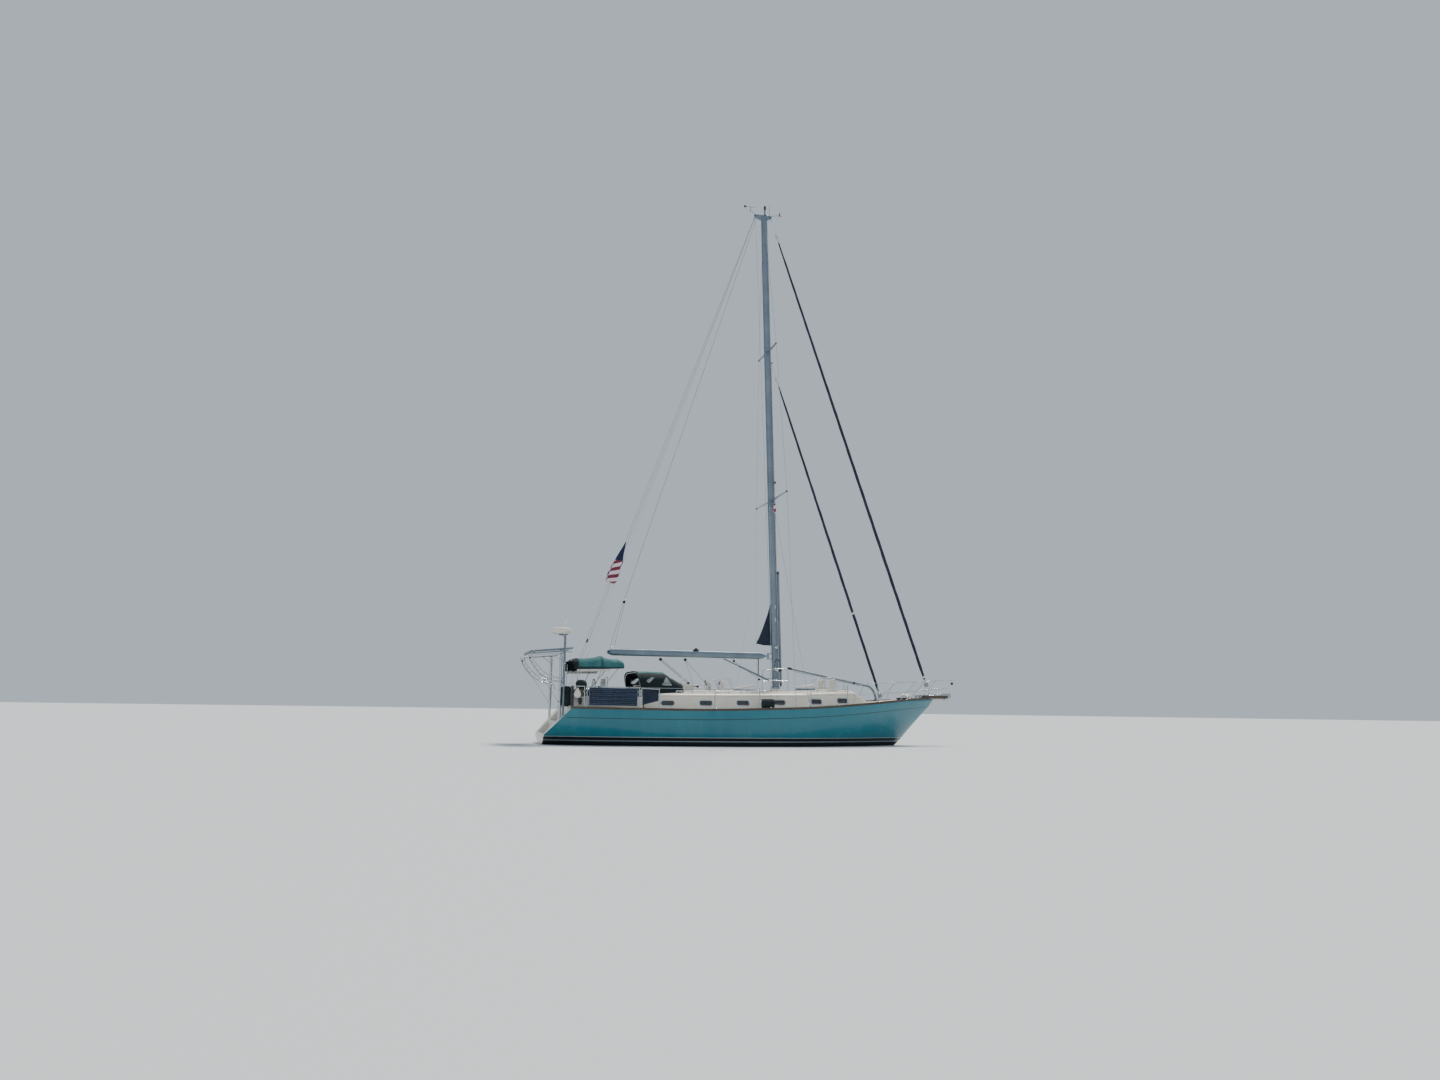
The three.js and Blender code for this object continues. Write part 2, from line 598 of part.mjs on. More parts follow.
// Steering wheel on an axis that runs fore and aft.
const wheel = { x: -4060, z: 1480, radius: 430 };
const rim = new THREE.TorusGeometry(wheel.radius, 15, 5, 28);
rim.rotateY(Math.PI / 2);
rim.translate(wheel.x, 0, wheel.z);
const spokes = spaced(0, (5 / 3) * Math.PI, 6).map((angle) => bar(
  point(wheel.x, 0, wheel.z),
  point(wheel.x, wheel.radius * Math.sin(angle), wheel.z + wheel.radius * Math.cos(angle)), 8, 8, 5,
));
const wheelHub = bar(point(wheel.x - 30, 0, wheel.z), point(wheel.x + 45, 0, wheel.z), 55, 45, 12);
addNode('steering_wheel', join(solidOf(rim), spokes, wheelHub), 'steel');

// Mast: raked oval section with spreaders, crane and brackets.
const mastAt = (z) => {
  const share = (z - mastFoot.z) / (mastHead.z - mastFoot.z);
  return mastFoot.x + (mastHead.x - mastFoot.x) * share;
};
const mastRing = (z, scale) => spaced(0, 2 * Math.PI, 17).slice(0, 16).map((angle) => point(
  mastAt(z) + mastFore * scale * Math.cos(angle), mastSide * scale * Math.sin(angle), z,
));
const mastTube = loft([mastRing(mastFoot.z, 1), mastRing(15000, 1), mastRing(mastHead.z, 0.9)]);
const spreaderTable = [[7720, 1590], [12690, 930]];    // height, distance of the tip from the centreline
const spreaders = spreaderTable.flatMap(([z, tip]) => Object.values(sides).map((side) => loft([
  [20, 62, 17], [tip, 34, 12],
].map(([y, half, thick]) => [
  [half, 0], [half * 0.5, thick], [-half * 0.5, thick], [-half, 0], [-half * 0.5, -thick], [half * 0.5, -thick],
].map(([dx, dz]) => point(mastAt(z) + dx, side * y, z + dz + y * 0.02))))));
const crane = acrossProfile([
  [860, 17370], [860, 17470], [1460, 17470], [1460, 17380], [1290, 17290], [1060, 17290],
], -32, 32);
const capTang = box(mastAt(17290) - 25, mastAt(17290) + 25, -95, 95, 17270, 17300);
const lowerTang = box(mastAt(7560) - 90, mastAt(7560) + 90, -110, 110, 7540, 7575);
const innerTang = box(mastAt(12340), mastAt(12340) + 175, -12, 12, 12325, 12385);
const gooseneckLugs = [70, -100].map((dz) => box(
  gooseneck.x - 38, mastAt(gooseneck.z), -34, 34, gooseneck.z + dz, gooseneck.z + dz + 26,
));
const vangPivot = { x: gooseneck.x + 0.0321 * 745, z: 2000 };
const vangLugs = [45, -60].map((dz) => box(
  vangPivot.x - 30, mastAt(vangPivot.z), -26, 26, vangPivot.z + dz, vangPivot.z + dz + 16,
));
addNode('mast', join(
  mastTube, spreaders, crane, capTang, lowerTang, innerTang, gooseneckLugs, vangLugs,
), 'alloy');

// Stays and shrouds, each a wire with a thicker turnbuckle at its foot.
function stay(points, turnbuckle = 380) {
  const [foot, next] = points;
  const along = next.clone().sub(foot).normalize().multiplyScalar(turnbuckle).add(foot);
  const wires = points.slice(1).map((p, i) => bar(points[i], p, wireRadius, wireRadius, 6));
  const knees = points.slice(1, -1).map((p) => {
    const knee = new THREE.OctahedronGeometry(wireRadius + 4, 0);
    knee.translate(p.x, p.y, p.z);
    return solidOf(knee);
  });
  return join(wires, knees, bar(foot, along, 13, 13, 6));
}
for (const [name, side] of Object.entries(sides)) {
  const plateTop = (x) => point(x, side * (sheerHalf(x) - 120), sheerHeight(x) + 90 + gap + 4);
  const tip = ([z, y]) => point(mastAt(z), side * (y + 10), z + y * 0.02);
  addNode(`cap_shroud_${name}`, stay([
    plateTop(1680), tip(spreaderTable[0]), tip(spreaderTable[1]), point(mastAt(17290), side * 84, 17260),
  ]), 'steel');
  addNode(`forward_lower_${name}`, stay([plateTop(2130), point(mastAt(7560) + 72, side * 98, 7530)]), 'steel');
  addNode(`aft_lower_${name}`, stay([plateTop(890), point(mastAt(7560) - 72, side * 98, 7530)]), 'steel');
}
const backstayHead = point(885, 0, 17350);
addNode('backstay', stay([backstayFoot, backstayHead], 500), 'steel');

// Furlers: a line from the deck to the mast, the sail rolled on its foil, a drum below and a swivel above.
// Columns of the roll: height, radius.
function furler(foot, head, drumZ, roll, swivelZ) {
  const direction = head.clone().sub(foot).normalize();
  const reach = (z) => (z - foot.z) / direction.z;
  const drum = reach(drumZ);
  const profile = [
    [0, drum - 75], [70, drum - 75], [92, drum - 62], [92, drum - 50], [60, drum - 44], [60, drum + 40],
    [92, drum + 46], [92, drum + 58], [30, drum + 80],
    ...roll.map(([z, radius]) => [radius, reach(z)]),
    [20, reach(swivelZ) - 75], [44, reach(swivelZ) - 70], [44, reach(swivelZ) + 60], [14, reach(swivelZ) + 75],
    [0, reach(swivelZ) + 75],
  ];
  const below = bar(foot, foot.clone().addScaledVector(direction, drum - 76), 12, 12, 8);
  const above = bar(foot.clone().addScaledVector(direction, reach(swivelZ) + 76), head, wireRadius, wireRadius, 6);
  return { body: turned(foot, direction, profile, 12), below, above };
}
const genoa = furler(
  point(6990, 0, 1630), point(1440, 0, 17362), 1960,
  [[2120, 34], [2500, 52], [6000, 56], [11000, 50], [15500, 38], [16560, 24]], 16760,
);
const staysail = furler(
  innerStayFoot, point(1492, 0, 12315), 1580,
  [[1720, 34], [2050, 48], [6000, 50], [10500, 38], [11560, 24]], 11800,
);
addNode('genoa_furler', genoa.body, 'navy');
addNode('staysail_furler', staysail.body, 'navy');
addNode('forestay_head', genoa.above, 'steel');
addNode('inner_stay_head', staysail.above, 'steel');
addNode('inner_stay_foot', staysail.below, 'steel');

// Bow platform: plank over the stem, with cheeks and rollers at its tip.
const platformPlank = uprightProfile([
  [6600, -200], [7350, -190], [7560, -150], [7640, -70], [7640, 70], [7560, 150], [7350, 190], [6600, 200],
], platformZ, platformZ + 110);
const cheeks = [-110, -10, 90].map((y) => acrossProfile([
  [7180, platformZ + 60], [7180, platformZ + 150], [7600, platformZ + 190], [7700, platformZ + 150],
  [7700, platformZ - 20], [7560, platformZ - 90], [7480, platformZ + 20],
], y, y + 18));
const roller = bar(point(7600, -110, platformZ - 5), point(7600, 108, platformZ - 5), 52, 52, 14);
const stemFitting = box(6950, 7030, -14, 14, 1560, 1665);
addNode('bow_platform', cut(
  join(platformPlank, cheeks, roller, stemFitting, genoa.below), deckClearance,
), 'moulding');

// Windlass under its rounded cover, and the chain locker's bitt.
addNode('windlass', cut(join(
  turned(point(6120, 0, 1410), up, [[0, 0], [170, 0], [165, 90], [120, 180], [60, 225], [0, 235]], 16),
  box(5960, 6280, -120, 120, 1410, 1500),
), deckClearance), 'moulding');
addNode('mooring_bitt', cut(join(
  bar(point(6520, -90, 1440), point(6520, -90, 1620), 26, 22, 12),
  bar(point(6520, 90, 1440), point(6520, 90, 1620), 26, 22, 12),
  bar(point(6520, -190, 1575), point(6520, 190, 1575), 16, 16, 10),
  box(6450, 6590, -140, 140, 1440, 1525),
), deckClearance), 'steel');

// Bow pulpit: top rail, middle rail and raked legs, down to the deck on both sides.
// Columns of the rails: x, y, z.
const pulpitTop = [
  [4850, 1190, 1312], [5060, 1165, 1690], [5240, 1140, 1960], [5600, 1010, 1985], [6300, 700, 2020],
  [7000, 400, 2070], [7600, 240, 2105], [7880, 120, 2110],
];
const pulpitMid = [[4975, 1168, 1600], [5600, 960, 1660], [6500, 560, 1740], [7560, 200, 1850]];
const pulpitLegs = [
  [[5450, 900, 1348], [6160, 765, 2015]],
  [[6380, 345, 1428], [7050, 385, 2075]],
];
const mirrored = (rows) => [...rows, ...rows.map(([x, y, z]) => [x, -y, z]).reverse()];
const vectors = (rows) => rows.map(([x, y, z]) => point(x, y, z));
const pulpitRails = [
  tube(vectors(mirrored(pulpitTop)), tubeRadius, 32, 6),
  ...Object.values(sides).map((side) => tube(vectors(pulpitMid.map(([x, y, z]) => [x, side * y, z])), 10, 6, 5)),
  ...pulpitLegs.flatMap(([low, high]) => Object.values(sides).map((side) => bar(
    point(low[0], side * low[1], low[2]), point(high[0], side * high[1], high[2]), 12, 12, 6,
  ))),
  bar(point(7560, -200, 1850), point(7560, 200, 1850), 10, 10, 5),
];
addNode('bow_pulpit', cut(join(pulpitRails), deckClearance), 'steel');

// Lifelines: stanchions inside the sheer, two wires, and a stiff rail that carries the side panel.
const panelRail = { aft: -4490, fore: -3030 };
const stanchions = [-4490, -3030, -2460, -830, 520, 2150, 3400, 4560];
const railPoint = (x, side, height) => point(x, side * (sheerHalf(x) - railInset), sheerHeight(x) + height);
for (const [name, side] of Object.entries(sides)) {
  const posts = stanchions.map((x) => (
    bar(railPoint(x, side, -5), railPoint(x, side, railHeight), tubeRadius + 3, tubeRadius, 5)
  ));
  const wires = [railHeight - 4, midRailHeight].flatMap((height) => stanchions.slice(1).map((x, i) => bar(
    railPoint(stanchions[i], side, height), railPoint(x, side, height), 5, 5, 4,
  )));
  const stiffRail = bar(
    railPoint(panelRail.aft, side, railHeight - 4), railPoint(panelRail.fore, side, railHeight - 4), 12.5, 12.5, 10,
  );
  addNode(`lifelines_${name}`, cut(join(posts, wires, stiffRail), deckClearance), 'steel');
}

// Side solar panels, hung from the stiff rail by two clamps each.
for (const [name, side] of Object.entries(sides)) {
  const from = railPoint(panelRail.aft, side, railHeight - 4);
  const to = railPoint(panelRail.fore, side, railHeight - 4);
  const run = to.clone().sub(from).normalize();
  const outward = point(-run.y, run.x, 0).multiplyScalar(side);
  const place = (s, out, rise) => from.clone().addScaledVector(run, s).addScaledVector(outward, out)
    .add(point(0, 0, rise));
  const slab = loft([60, 1440].map((s) => [
    place(s, 26, -20), place(s, 26, -530), place(s, 58, -530), place(s, 58, -20),
  ]));
  const clamps = [300, 1180].map((s) => cut(
    join(
      bar(place(s, 0, 0), place(s + 40, 0, 0), 25, 25, 10),
      loft([s, s + 40].map((t) => [place(t, 18, 8), place(t, 18, -60), place(t, 34, -60), place(t, 34, 8)])),
    ),
    bar(place(s - 10, 0, 0), place(s + 50, 0, 0), 17, 17, 10),
  ));
  addNode(`side_panel_${name}`, join(slab, clamps), 'cells');
}

// Stern rails: top and middle rail round each quarter.
for (const [name, side] of Object.entries(sides)) {
  const rail = (height) => [
    railPoint(-4560, side, height), railPoint(-4760, side, height),
    point(-4860, side * 1480, sheerHeight(-4860) + height), point(-4880, side * 1300, sheerHeight(-4880) + height),
    point(-4880, side * 1000, sheerHeight(-4880) + height),
  ];
  const legs = [rail(0)[0], rail(0)[2], rail(0)[4]].map((p) => bar(
    point(p.x, p.y, 1000), point(p.x, p.y, p.z + railHeight), tubeRadius, tubeRadius, 6,
  ));
  addNode(`pushpit_${name}`, cut(join(
    tube(rail(railHeight), tubeRadius, 10, 6), tube(rail(midRailHeight), 10, 10, 5), legs,
  ), deckClearance), 'steel');
}

// Stern arch: a leg and a trussed davit arm on each side, joined by cross tubes.
const davit = { y: 1230, legX: -5210, legFoot: 700, top: 2570, tip: -6170, radius: 26 };
// Columns: x, z along the arm's lower chord.
const lowerChord = [[-6160, 2540], [-6080, 2330], [-5930, 2120], [-5700, 1930], [-5440, 1820], [-5150, 1790]];
const archParts = Object.values(sides).flatMap((side) => {
  const at = ([x, z]) => point(x, side * davit.y, z);
  const chord = lowerChord.map(at);
  const inner = lowerChord.slice(1).map(([x, z]) => at([x + 70, z + 95]));
  return [
    bar(at([davit.legX, davit.legFoot]), at([davit.legX, davit.top + 40]), 42, 42, 8),
    bar(at([davit.tip, davit.top - 30]), at([-4900, davit.top + 100]), davit.radius, davit.radius, 6),
    tube(chord, 20, 10, 6),
    tube([at([-6040, 2560]), ...inner], 14, 10, 5),
    ...chord.slice(1, -1).map((p, i) => bar(p, inner[i], 9, 9, 4)),
    bar(at([-5150, 1790]), at([-5060, 1600]), 16, 16, 5),
  ];
});
const archCross = [[davit.tip + 40, davit.top - 28], [davit.legX, davit.top], [-4960, davit.top + 95]].map(
  ([x, z]) => bar(point(x, -davit.y, z), point(x, davit.y, z), 20, 20, 6),
);
const whip = bar(point(-5950, -1140, 2560), point(-6330, -1140, 3880), 9, 5, 5);
const whipFoot = bar(point(-5955, -1240, 2566), point(-5955, -1110, 2566), 18, 18, 6);
addNode('stern_arch', cut(join(archParts, archCross, whip, whipFoot), transomClearance), 'alloy');

// Solar panel on the arch.
addNode('arch_solar_panel', loft([-1050, 1050].map((y) => [
  point(-6090, y, 2640), point(-4840, y, 2764), point(-4840, y, 2804), point(-6090, y, 2680),
])), 'cells');

// Radar mast beside the starboard leg, and the flat dome on its head.
const radar = { x: -5120, y: -1345, foot: 700, head: 3150 };
addNode('radar_mast', cut(join(
  bar(point(radar.x, radar.y, radar.foot), point(radar.x, radar.y, radar.head), 30, 26, 10),
  box(radar.x - 190, radar.x + 60, radar.y - 60, radar.y + 160, radar.head - 12, radar.head),
), transomClearance), 'alloy');
addNode('radome', join(
  turned(point(-5230, -1260, radar.head + gap), up,
    [[0, 0], [190, 0], [285, 60], [300, 115], [285, 160], [150, 195], [0, 205]], 20),
  bar(point(-5120, -1260, radar.head + 150), point(-5120, -1260, radar.head + 470), 11, 9, 8),
  bar(point(-5120, -1260, radar.head + 330), point(-5120, -1260, radar.head + 400), 40, 30, 10),
), 'moulding');

// Round-shouldered arch in the plane of x, from one foot over to the other.
function archRow(x, half, foot, crown, square, count) {
  return spaced(0, Math.PI, count).map((angle) => point(
    x,
    half * Math.sign(Math.cos(angle)) * Math.abs(Math.cos(angle)) ** square,
    foot + (crown - foot) * Math.sin(angle) ** square,
  ));
}

// Canvas shell through arches, open at both ends, with its own thickness.
function canvasShell(rows, thickness, count) {
  return loft(rows.map(([x, half, foot, crown, square]) => [
    ...archRow(x, half, foot, crown, square, count),
    ...archRow(x, half - thickness, foot, crown - thickness, square, count).reverse(),
  ]));
}

// Bimini over the helm. Columns: x, half-width, edge height, crown height, squareness.
const biminiRows = [
  [-4820, 1190, 2170, 2445, 0.42],
  [-4720, 1220, 2170, 2500, 0.40],
  [-4010, 1260, 2190, 2580, 0.42],
  [-3520, 1250, 2205, 2500, 0.42],
  [-3360, 1200, 2220, 2400, 0.45],
];
const staySlot = box(-4560, -4220, -100, 50, 2200, 2800);
addNode('bimini_canopy', cut(canvasShell(biminiRows, 12, 13), staySlot), 'canvas');

// Bow under a row of the canvas, down to a foot on each side.
const bowInset = 36;
function canvasBow([x, half, foot, crown, square], footPoint, knee, steps) {
  const arch = archRow(x, half - bowInset, foot, crown - bowInset, square, 9);
  const starboardSide = [knee, footPoint].map(([a, y, z]) => point(a, -y, z));
  return tube([point(...footPoint), point(...knee), ...arch, ...starboardSide], 12, steps, 5);
}
const biminiBows = [
  // row of the canvas, foot x
  [1, -4740], [2, -4320], [3, -4200],
].map(([row, footX]) => {
  const headX = biminiRows[row][0];
  return canvasBow(
    biminiRows[row], [footX, 1225, coaming.top + 14], [(footX + headX) / 2, 1222, 1800], 24,
  );
});
const biminiSideBars = Object.values(sides).map((side) => bar(
  point(-4720, side * 1184, 2185), point(-3520, side * 1214, 2225), 10, 10, 5,
));
addNode('bimini_frame', join(biminiBows, biminiSideBars), 'steel');

// Spray dodger over the companionway. Columns as for the bimini.
const dodgerRows = [
  [-2950, 1205, coaming.top + 4, 2165, 0.44],
  [-2560, 1215, coaming.top + 4, 2190, 0.46],
  [-2100, 1150, coaming.top + 4, 2160, 0.48],
  [-1540, 1030, coaming.top + 4, 1840, 0.55],
];
const trunkTopClear = loft(roofEnds.map((row) => {
  const ring = roofRing(row, 6).slice(0, 7);
  return [...ring, point(row.x, -1500, 900), point(row.x, 1500, 900)];
}));
// The aft edge of each side leans: its foot is further forward than the top.
const leaningEdge = acrossProfile([[-3000, 1300], [-2770, 1300], [-2950, 2100], [-3000, 2100]], -1400, 1400);
const sideWindows = [
  [[-2720, 1850], [-2600, 1800], [-2390, 1990], [-2520, 2000]],
  [[-2220, 1740], [-1860, 1740], [-2060, 2020]],
].map((outline) => acrossProfile(outline, -1400, 1400));
const frontWindows = [[-760, -300], [-240, 240], [300, 760]].map(
  ([y0, y1]) => box(-1980, -1640, y0, y1, 1700, 2300),
);
const dodgerShell = cut(
  canvasShell(dodgerRows, 12, 13), trunkTopClear, leaningEdge, sideWindows, frontWindows,
  box(hood.aft, hood.fore + 200, -hood.half - 8, hood.half + 8, 1300, hood.top + 8),
);
addNode('dodger_canopy', dodgerShell, 'canvas');
const dodgerKneeZ = 1640;
const dodgerBowTable = [
  // row of the canvas, x at the crown, x at the knee
  [0, -2915, -2850], [2, -2110, -2240],
];
const dodgerKnees = dodgerBowTable.map(([row, , kneeX]) => [kneeX, dodgerRows[row][1] - bowInset - 4]);
const dodgerBows = dodgerBowTable.map(([row, headX, kneeX], i) => {
  const [, half, foot, crown, square] = dodgerRows[row];
  const arch = archRow(headX, half - bowInset, foot, crown - bowInset, square, 9).slice(1, -1);
  const leaning = arch.map((p) => point(kneeX + (headX - kneeX) * Math.min((p.z - dodgerKneeZ) / 400, 1), p.y, p.z));
  const sideY = dodgerKnees[i][1];
  return tube([point(kneeX, sideY, dodgerKneeZ), ...leaning, point(kneeX, -sideY, dodgerKneeZ)], 11, 16, 5);
});
const dodgerSideBars = Object.values(sides).flatMap((side) => {
  const [aft, fore] = dodgerKnees.map(([x, y]) => point(x, side * y, dodgerKneeZ));
  return [bar(aft, fore, 10, 10, 5), bar(point(aft.x, aft.y, coaming.top + 2), aft, 11, 11, 6)];
});
addNode('dodger_frame', join(dodgerBows, dodgerSideBars), 'steel');

// Main boom with the toggle at its gooseneck, the rigid vang below, and the sheet's car on top.
const boomRing = (x, scale) => spaced(0, 2 * Math.PI, 13).slice(0, 12).map((angle) => point(
  x, boomSide * Math.cos(angle), gooseneck.z + scale * boomDepth * Math.sin(angle),
));
const boomTube = loft([[boomEnd, 0.5], [boomEnd + 220, 1], [1180, 1], [1330, 0.45]].map(([x, s]) => boomRing(x, s)));
const toggle = bar(
  point(gooseneck.x, 0, gooseneck.z - 72), point(gooseneck.x, 0, gooseneck.z + 68), 26, 26, 12,
);
const toggleArm = box(1290, gooseneck.x, -20, 20, gooseneck.z - 24, gooseneck.z + 24);
const vangHead = point(-80, 0, gooseneck.z - boomDepth + 15);
const vangFoot = point(vangPivot.x, 0, vangPivot.z - 8);
const vang = [
  bar(vangFoot.clone().lerp(vangHead, 0.02), vangFoot.clone().lerp(vangHead, 0.62), 30, 30, 10),
  bar(vangFoot.clone().lerp(vangHead, 0.6), vangHead, 20, 20, 8),
  bar(point(vangPivot.x, 0, vangPivot.z - 42), point(vangPivot.x, 0, vangPivot.z + 43), 20, 20, 12),
];
const outhaulCar = box(-990, -820, -48, 48, gooseneck.z + boomDepth - 20, gooseneck.z + boomDepth + 50);
addNode('main_boom', join(boomTube, toggle, toggleArm, vang, outhaulCar), 'alloy');

// Staysail boom: a bent tube that turns on its foot in the deck.
const staysailBoom = tube([
  point(staysailPivot, 0, 1410), point(staysailPivot, 0, 1520), point(5000, 0, 1720), point(4860, 0, 1850),
  point(4650, 0, 1905), point(4300, 0, 1970),
], 38, 12, 8);
const staysailSpar = bar(point(4330, 0, 1964.5), point(2087, 0, 2387), 38, 34, 8);
addNode('staysail_boom', join(staysailBoom, staysailSpar), 'alloy');

// Tack and clew of the rolled mainsail, where it leaves the mast.
addNode('mainsail_clew', acrossProfile([
  [mastAt(4350) - mastFore - 3, 4350], [1035, 3180], [1010, 3120], [1060, 3085],
  [mastAt(3080) - mastFore - 3, 3075],
], -14, 14), 'navy');

// Whisker pole, stowed upright on the fore side of the mast.
const poleX = (z) => mastAt(z) + mastFore + 62;
addNode('whisker_pole', join(
  bar(point(poleX(1900), 0, 1900), point(poleX(5450), 0, 5450), 38, 38, 10),
  bar(point(poleX(1800), 0, 1800), point(poleX(1900), 0, 1900), 20, 30, 8),
  box(mastAt(5380) + mastFore + 1, poleX(5380), -18, 18, 5350, 5410),
  box(mastAt(2300) + mastFore + 1, poleX(2300), -18, 18, 2270, 2330),
), 'alloy');

// Outboard motor stowed on the starboard stern rail under its cover.
addNode('outboard', join(
  turned(point(-4650, -1430, 1560), point(0.12, 0, 1), [[0, 0], [95, 0], [155, 80], [165, 190], [130, 270], [0, 300]], 12),
  box(-4720, -4580, -1500, -1360, 1150, 1600),
), 'canvas');

// Flag halyard beside the backstay, and the ensign hung limp along it.
const halyard = { foot: point(-4790, -70, 1690), head: point(868, -26, 17345) };
addNode('flag_halyard', bar(halyard.foot, halyard.head, 4, 4, 5), 'alloy');
// Columns: height, half-width fore and aft, half-thickness across.
const ensignRows = [[4840, 110, 30], [4950, 175, 62], [5150, 178, 66], [5500, 145, 60], [5900, 55, 40], [6120, 14, 12]];
addNode('ensign', loft(ensignRows.map(([z, half, thick]) => {
  const onHalyard = halyard.foot.clone().lerp(halyard.head, (z - halyard.foot.z) / (halyard.head.z - halyard.foot.z));
  const y = onHalyard.y - 14 - thick;
  return spaced(0, 2 * Math.PI, 9).slice(0, 8).map((angle) => point(
    onHalyard.x + 20 + half * Math.cos(angle), y + thick * Math.sin(angle), z,
  ));
})), 'navy');

export default yacht;
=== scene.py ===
# A cruising cutter yacht afloat: metres, +X to the bow, +Y to port, +Z up from the waterline.
import math

import bmesh
import bpy
import numpy as np
from mathutils import Matrix, Vector


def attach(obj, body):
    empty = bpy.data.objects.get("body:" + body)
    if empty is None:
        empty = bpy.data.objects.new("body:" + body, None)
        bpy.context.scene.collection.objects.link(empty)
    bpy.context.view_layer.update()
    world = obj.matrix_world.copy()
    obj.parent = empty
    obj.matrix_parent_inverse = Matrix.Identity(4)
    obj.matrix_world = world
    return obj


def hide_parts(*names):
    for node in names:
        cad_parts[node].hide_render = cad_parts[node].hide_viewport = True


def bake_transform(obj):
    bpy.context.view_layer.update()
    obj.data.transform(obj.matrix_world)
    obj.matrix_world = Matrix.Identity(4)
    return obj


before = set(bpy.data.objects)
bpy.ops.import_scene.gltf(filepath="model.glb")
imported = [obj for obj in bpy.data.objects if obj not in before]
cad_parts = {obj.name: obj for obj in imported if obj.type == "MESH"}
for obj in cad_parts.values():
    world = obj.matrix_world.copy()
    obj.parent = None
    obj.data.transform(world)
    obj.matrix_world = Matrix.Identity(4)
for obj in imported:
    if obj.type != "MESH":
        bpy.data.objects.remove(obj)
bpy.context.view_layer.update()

# Camera. It stands low over the water off the starboard quarter, 34 m away, tipped up
# by 9 degrees, so that the masthead and the waterline are both in the frame.
def up(rise):
    return Vector((0, 0, rise))


def placed(name, data):
    """A new object with its data, in the scene."""
    thing = bpy.data.objects.new(name, data)
    bpy.context.collection.objects.link(thing)
    return thing


camera_at = Vector((-9.05, -32.67, 1.065))
camera_pitch = math.radians(8.9)
camera_roll = 0.0133
sensor_width, focal_length = 36.0, 27.05
ahead = Vector((0.262, 0.965, 0)).normalized()
abeam = Vector((0.965, -0.262, 0)).normalized()
forward = ahead * math.cos(camera_pitch) + up(math.sin(camera_pitch))
upward = -ahead * math.sin(camera_pitch) + up(math.cos(camera_pitch))
camera_right = (abeam + upward * camera_roll).normalized()
camera_up = (upward - abeam * camera_roll).normalized()
camera_data = bpy.data.cameras.new("photo_camera")
camera_data.lens, camera_data.sensor_width = focal_length, sensor_width
camera_data.clip_end = 2000
camera = placed("photo_camera", camera_data)
camera.matrix_world = Matrix((
    (camera_right.x, camera_up.x, -forward.x, camera_at.x),
    (camera_right.y, camera_up.y, -forward.y, camera_at.y),
    (camera_right.z, camera_up.z, -forward.z, camera_at.z), (0, 0, 0, 1),
))
bpy.context.scene.camera = camera


# Floor. A plain pale disc at the waterline, wide enough to reach the horizon of the view,
# with a barely uneven matt surface.
def put(tree, kind, links=(), **settings):
    """Adds a node to a tree. Links are pairs of an input and a value or another node's socket."""
    node = tree.nodes.new(kind)
    for key, value in settings.items():
        setattr(node, key, value)
    for key, value in links:
        if isinstance(value, bpy.types.NodeSocket):
            tree.links.new(value, node.inputs[key])
        else:
            node.inputs[key].default_value = value
    return node


def paint(red, green, blue):
    """A colour given as on a screen, 0 to 255, in the linear values that a shader takes."""
    return tuple(
        c / 12.92 if c <= 0.04045 else ((c + 0.055) / 1.055) ** 2.4
        for c in (red / 255, green / 255, blue / 255)
    ) + (1.0,)


def surface(name, colour, roughness, metallic=0.0, **fixed):
    """A material with its shader. Fixed are sockets that stay the same all over it."""
    made = bpy.data.materials.new(name)
    made.use_nodes = True
    shader = made.node_tree.nodes["Principled BSDF"]
    shader.inputs["Base Color"].default_value = paint(*colour)
    shader.inputs["Roughness"].default_value = roughness
    shader.inputs["Metallic"].default_value = metallic
    for key, value in fixed.items():
        shader.inputs[key.replace("_", " ")].default_value = value
    return made, made.node_tree, shader


def blend_colours(tree, share, first, second):
    """The colour socket of a mix of two colours or sockets."""
    node = put(tree, "ShaderNodeMix", data_type="RGBA", links=[("Factor", share)])
    for place, value in ((6, first), (7, second)):
        if isinstance(value, bpy.types.NodeSocket):
            tree.links.new(value, node.inputs[place])
        else:
            node.inputs[place].default_value = value
    return node.outputs[2]


def sums(tree, operation, *values):
    """The socket of a piece of arithmetic on numbers or sockets."""
    return put(tree, "ShaderNodeMath", links=list(enumerate(values)), operation=operation).outputs[0]


def between(tree, value, low, high, to_low=0.0, to_high=1.0):
    """A value stretched from one range to another and held within it."""
    node = put(tree, "ShaderNodeMapRange", links=[
        ("Value", value), ("From Min", low), ("From Max", high), ("To Min", to_low), ("To Max", to_high),
    ])
    return node.outputs[0]


def turns(count):
    """Angles evenly round a full circle."""
    return np.linspace(0, 2 * math.pi, count + 1)[:-1]


floor_matt, tree, shader = surface("floor_matt", (208, 212, 216), 0.85)
uneven = put(tree, "ShaderNodeTexNoise", links=[("Scale", 0.35), ("Detail", 3.0)])
floor_tone = blend_colours(tree, uneven.outputs["Fac"], paint(203, 208, 212), paint(212, 216, 219))
tree.links.new(floor_tone, shader.inputs["Base Color"])
floor_radius, floor_sides = 600, 96
floor_mesh = bpy.data.meshes.new("water_level_floor")
floor_mesh.from_pydata(
    [(floor_radius * math.cos(a), floor_radius * math.sin(a), 0) for a in turns(floor_sides)],
    [], [range(floor_sides)],
)
floor_mesh.materials.append(floor_matt)
placed("water_level_floor", floor_mesh)

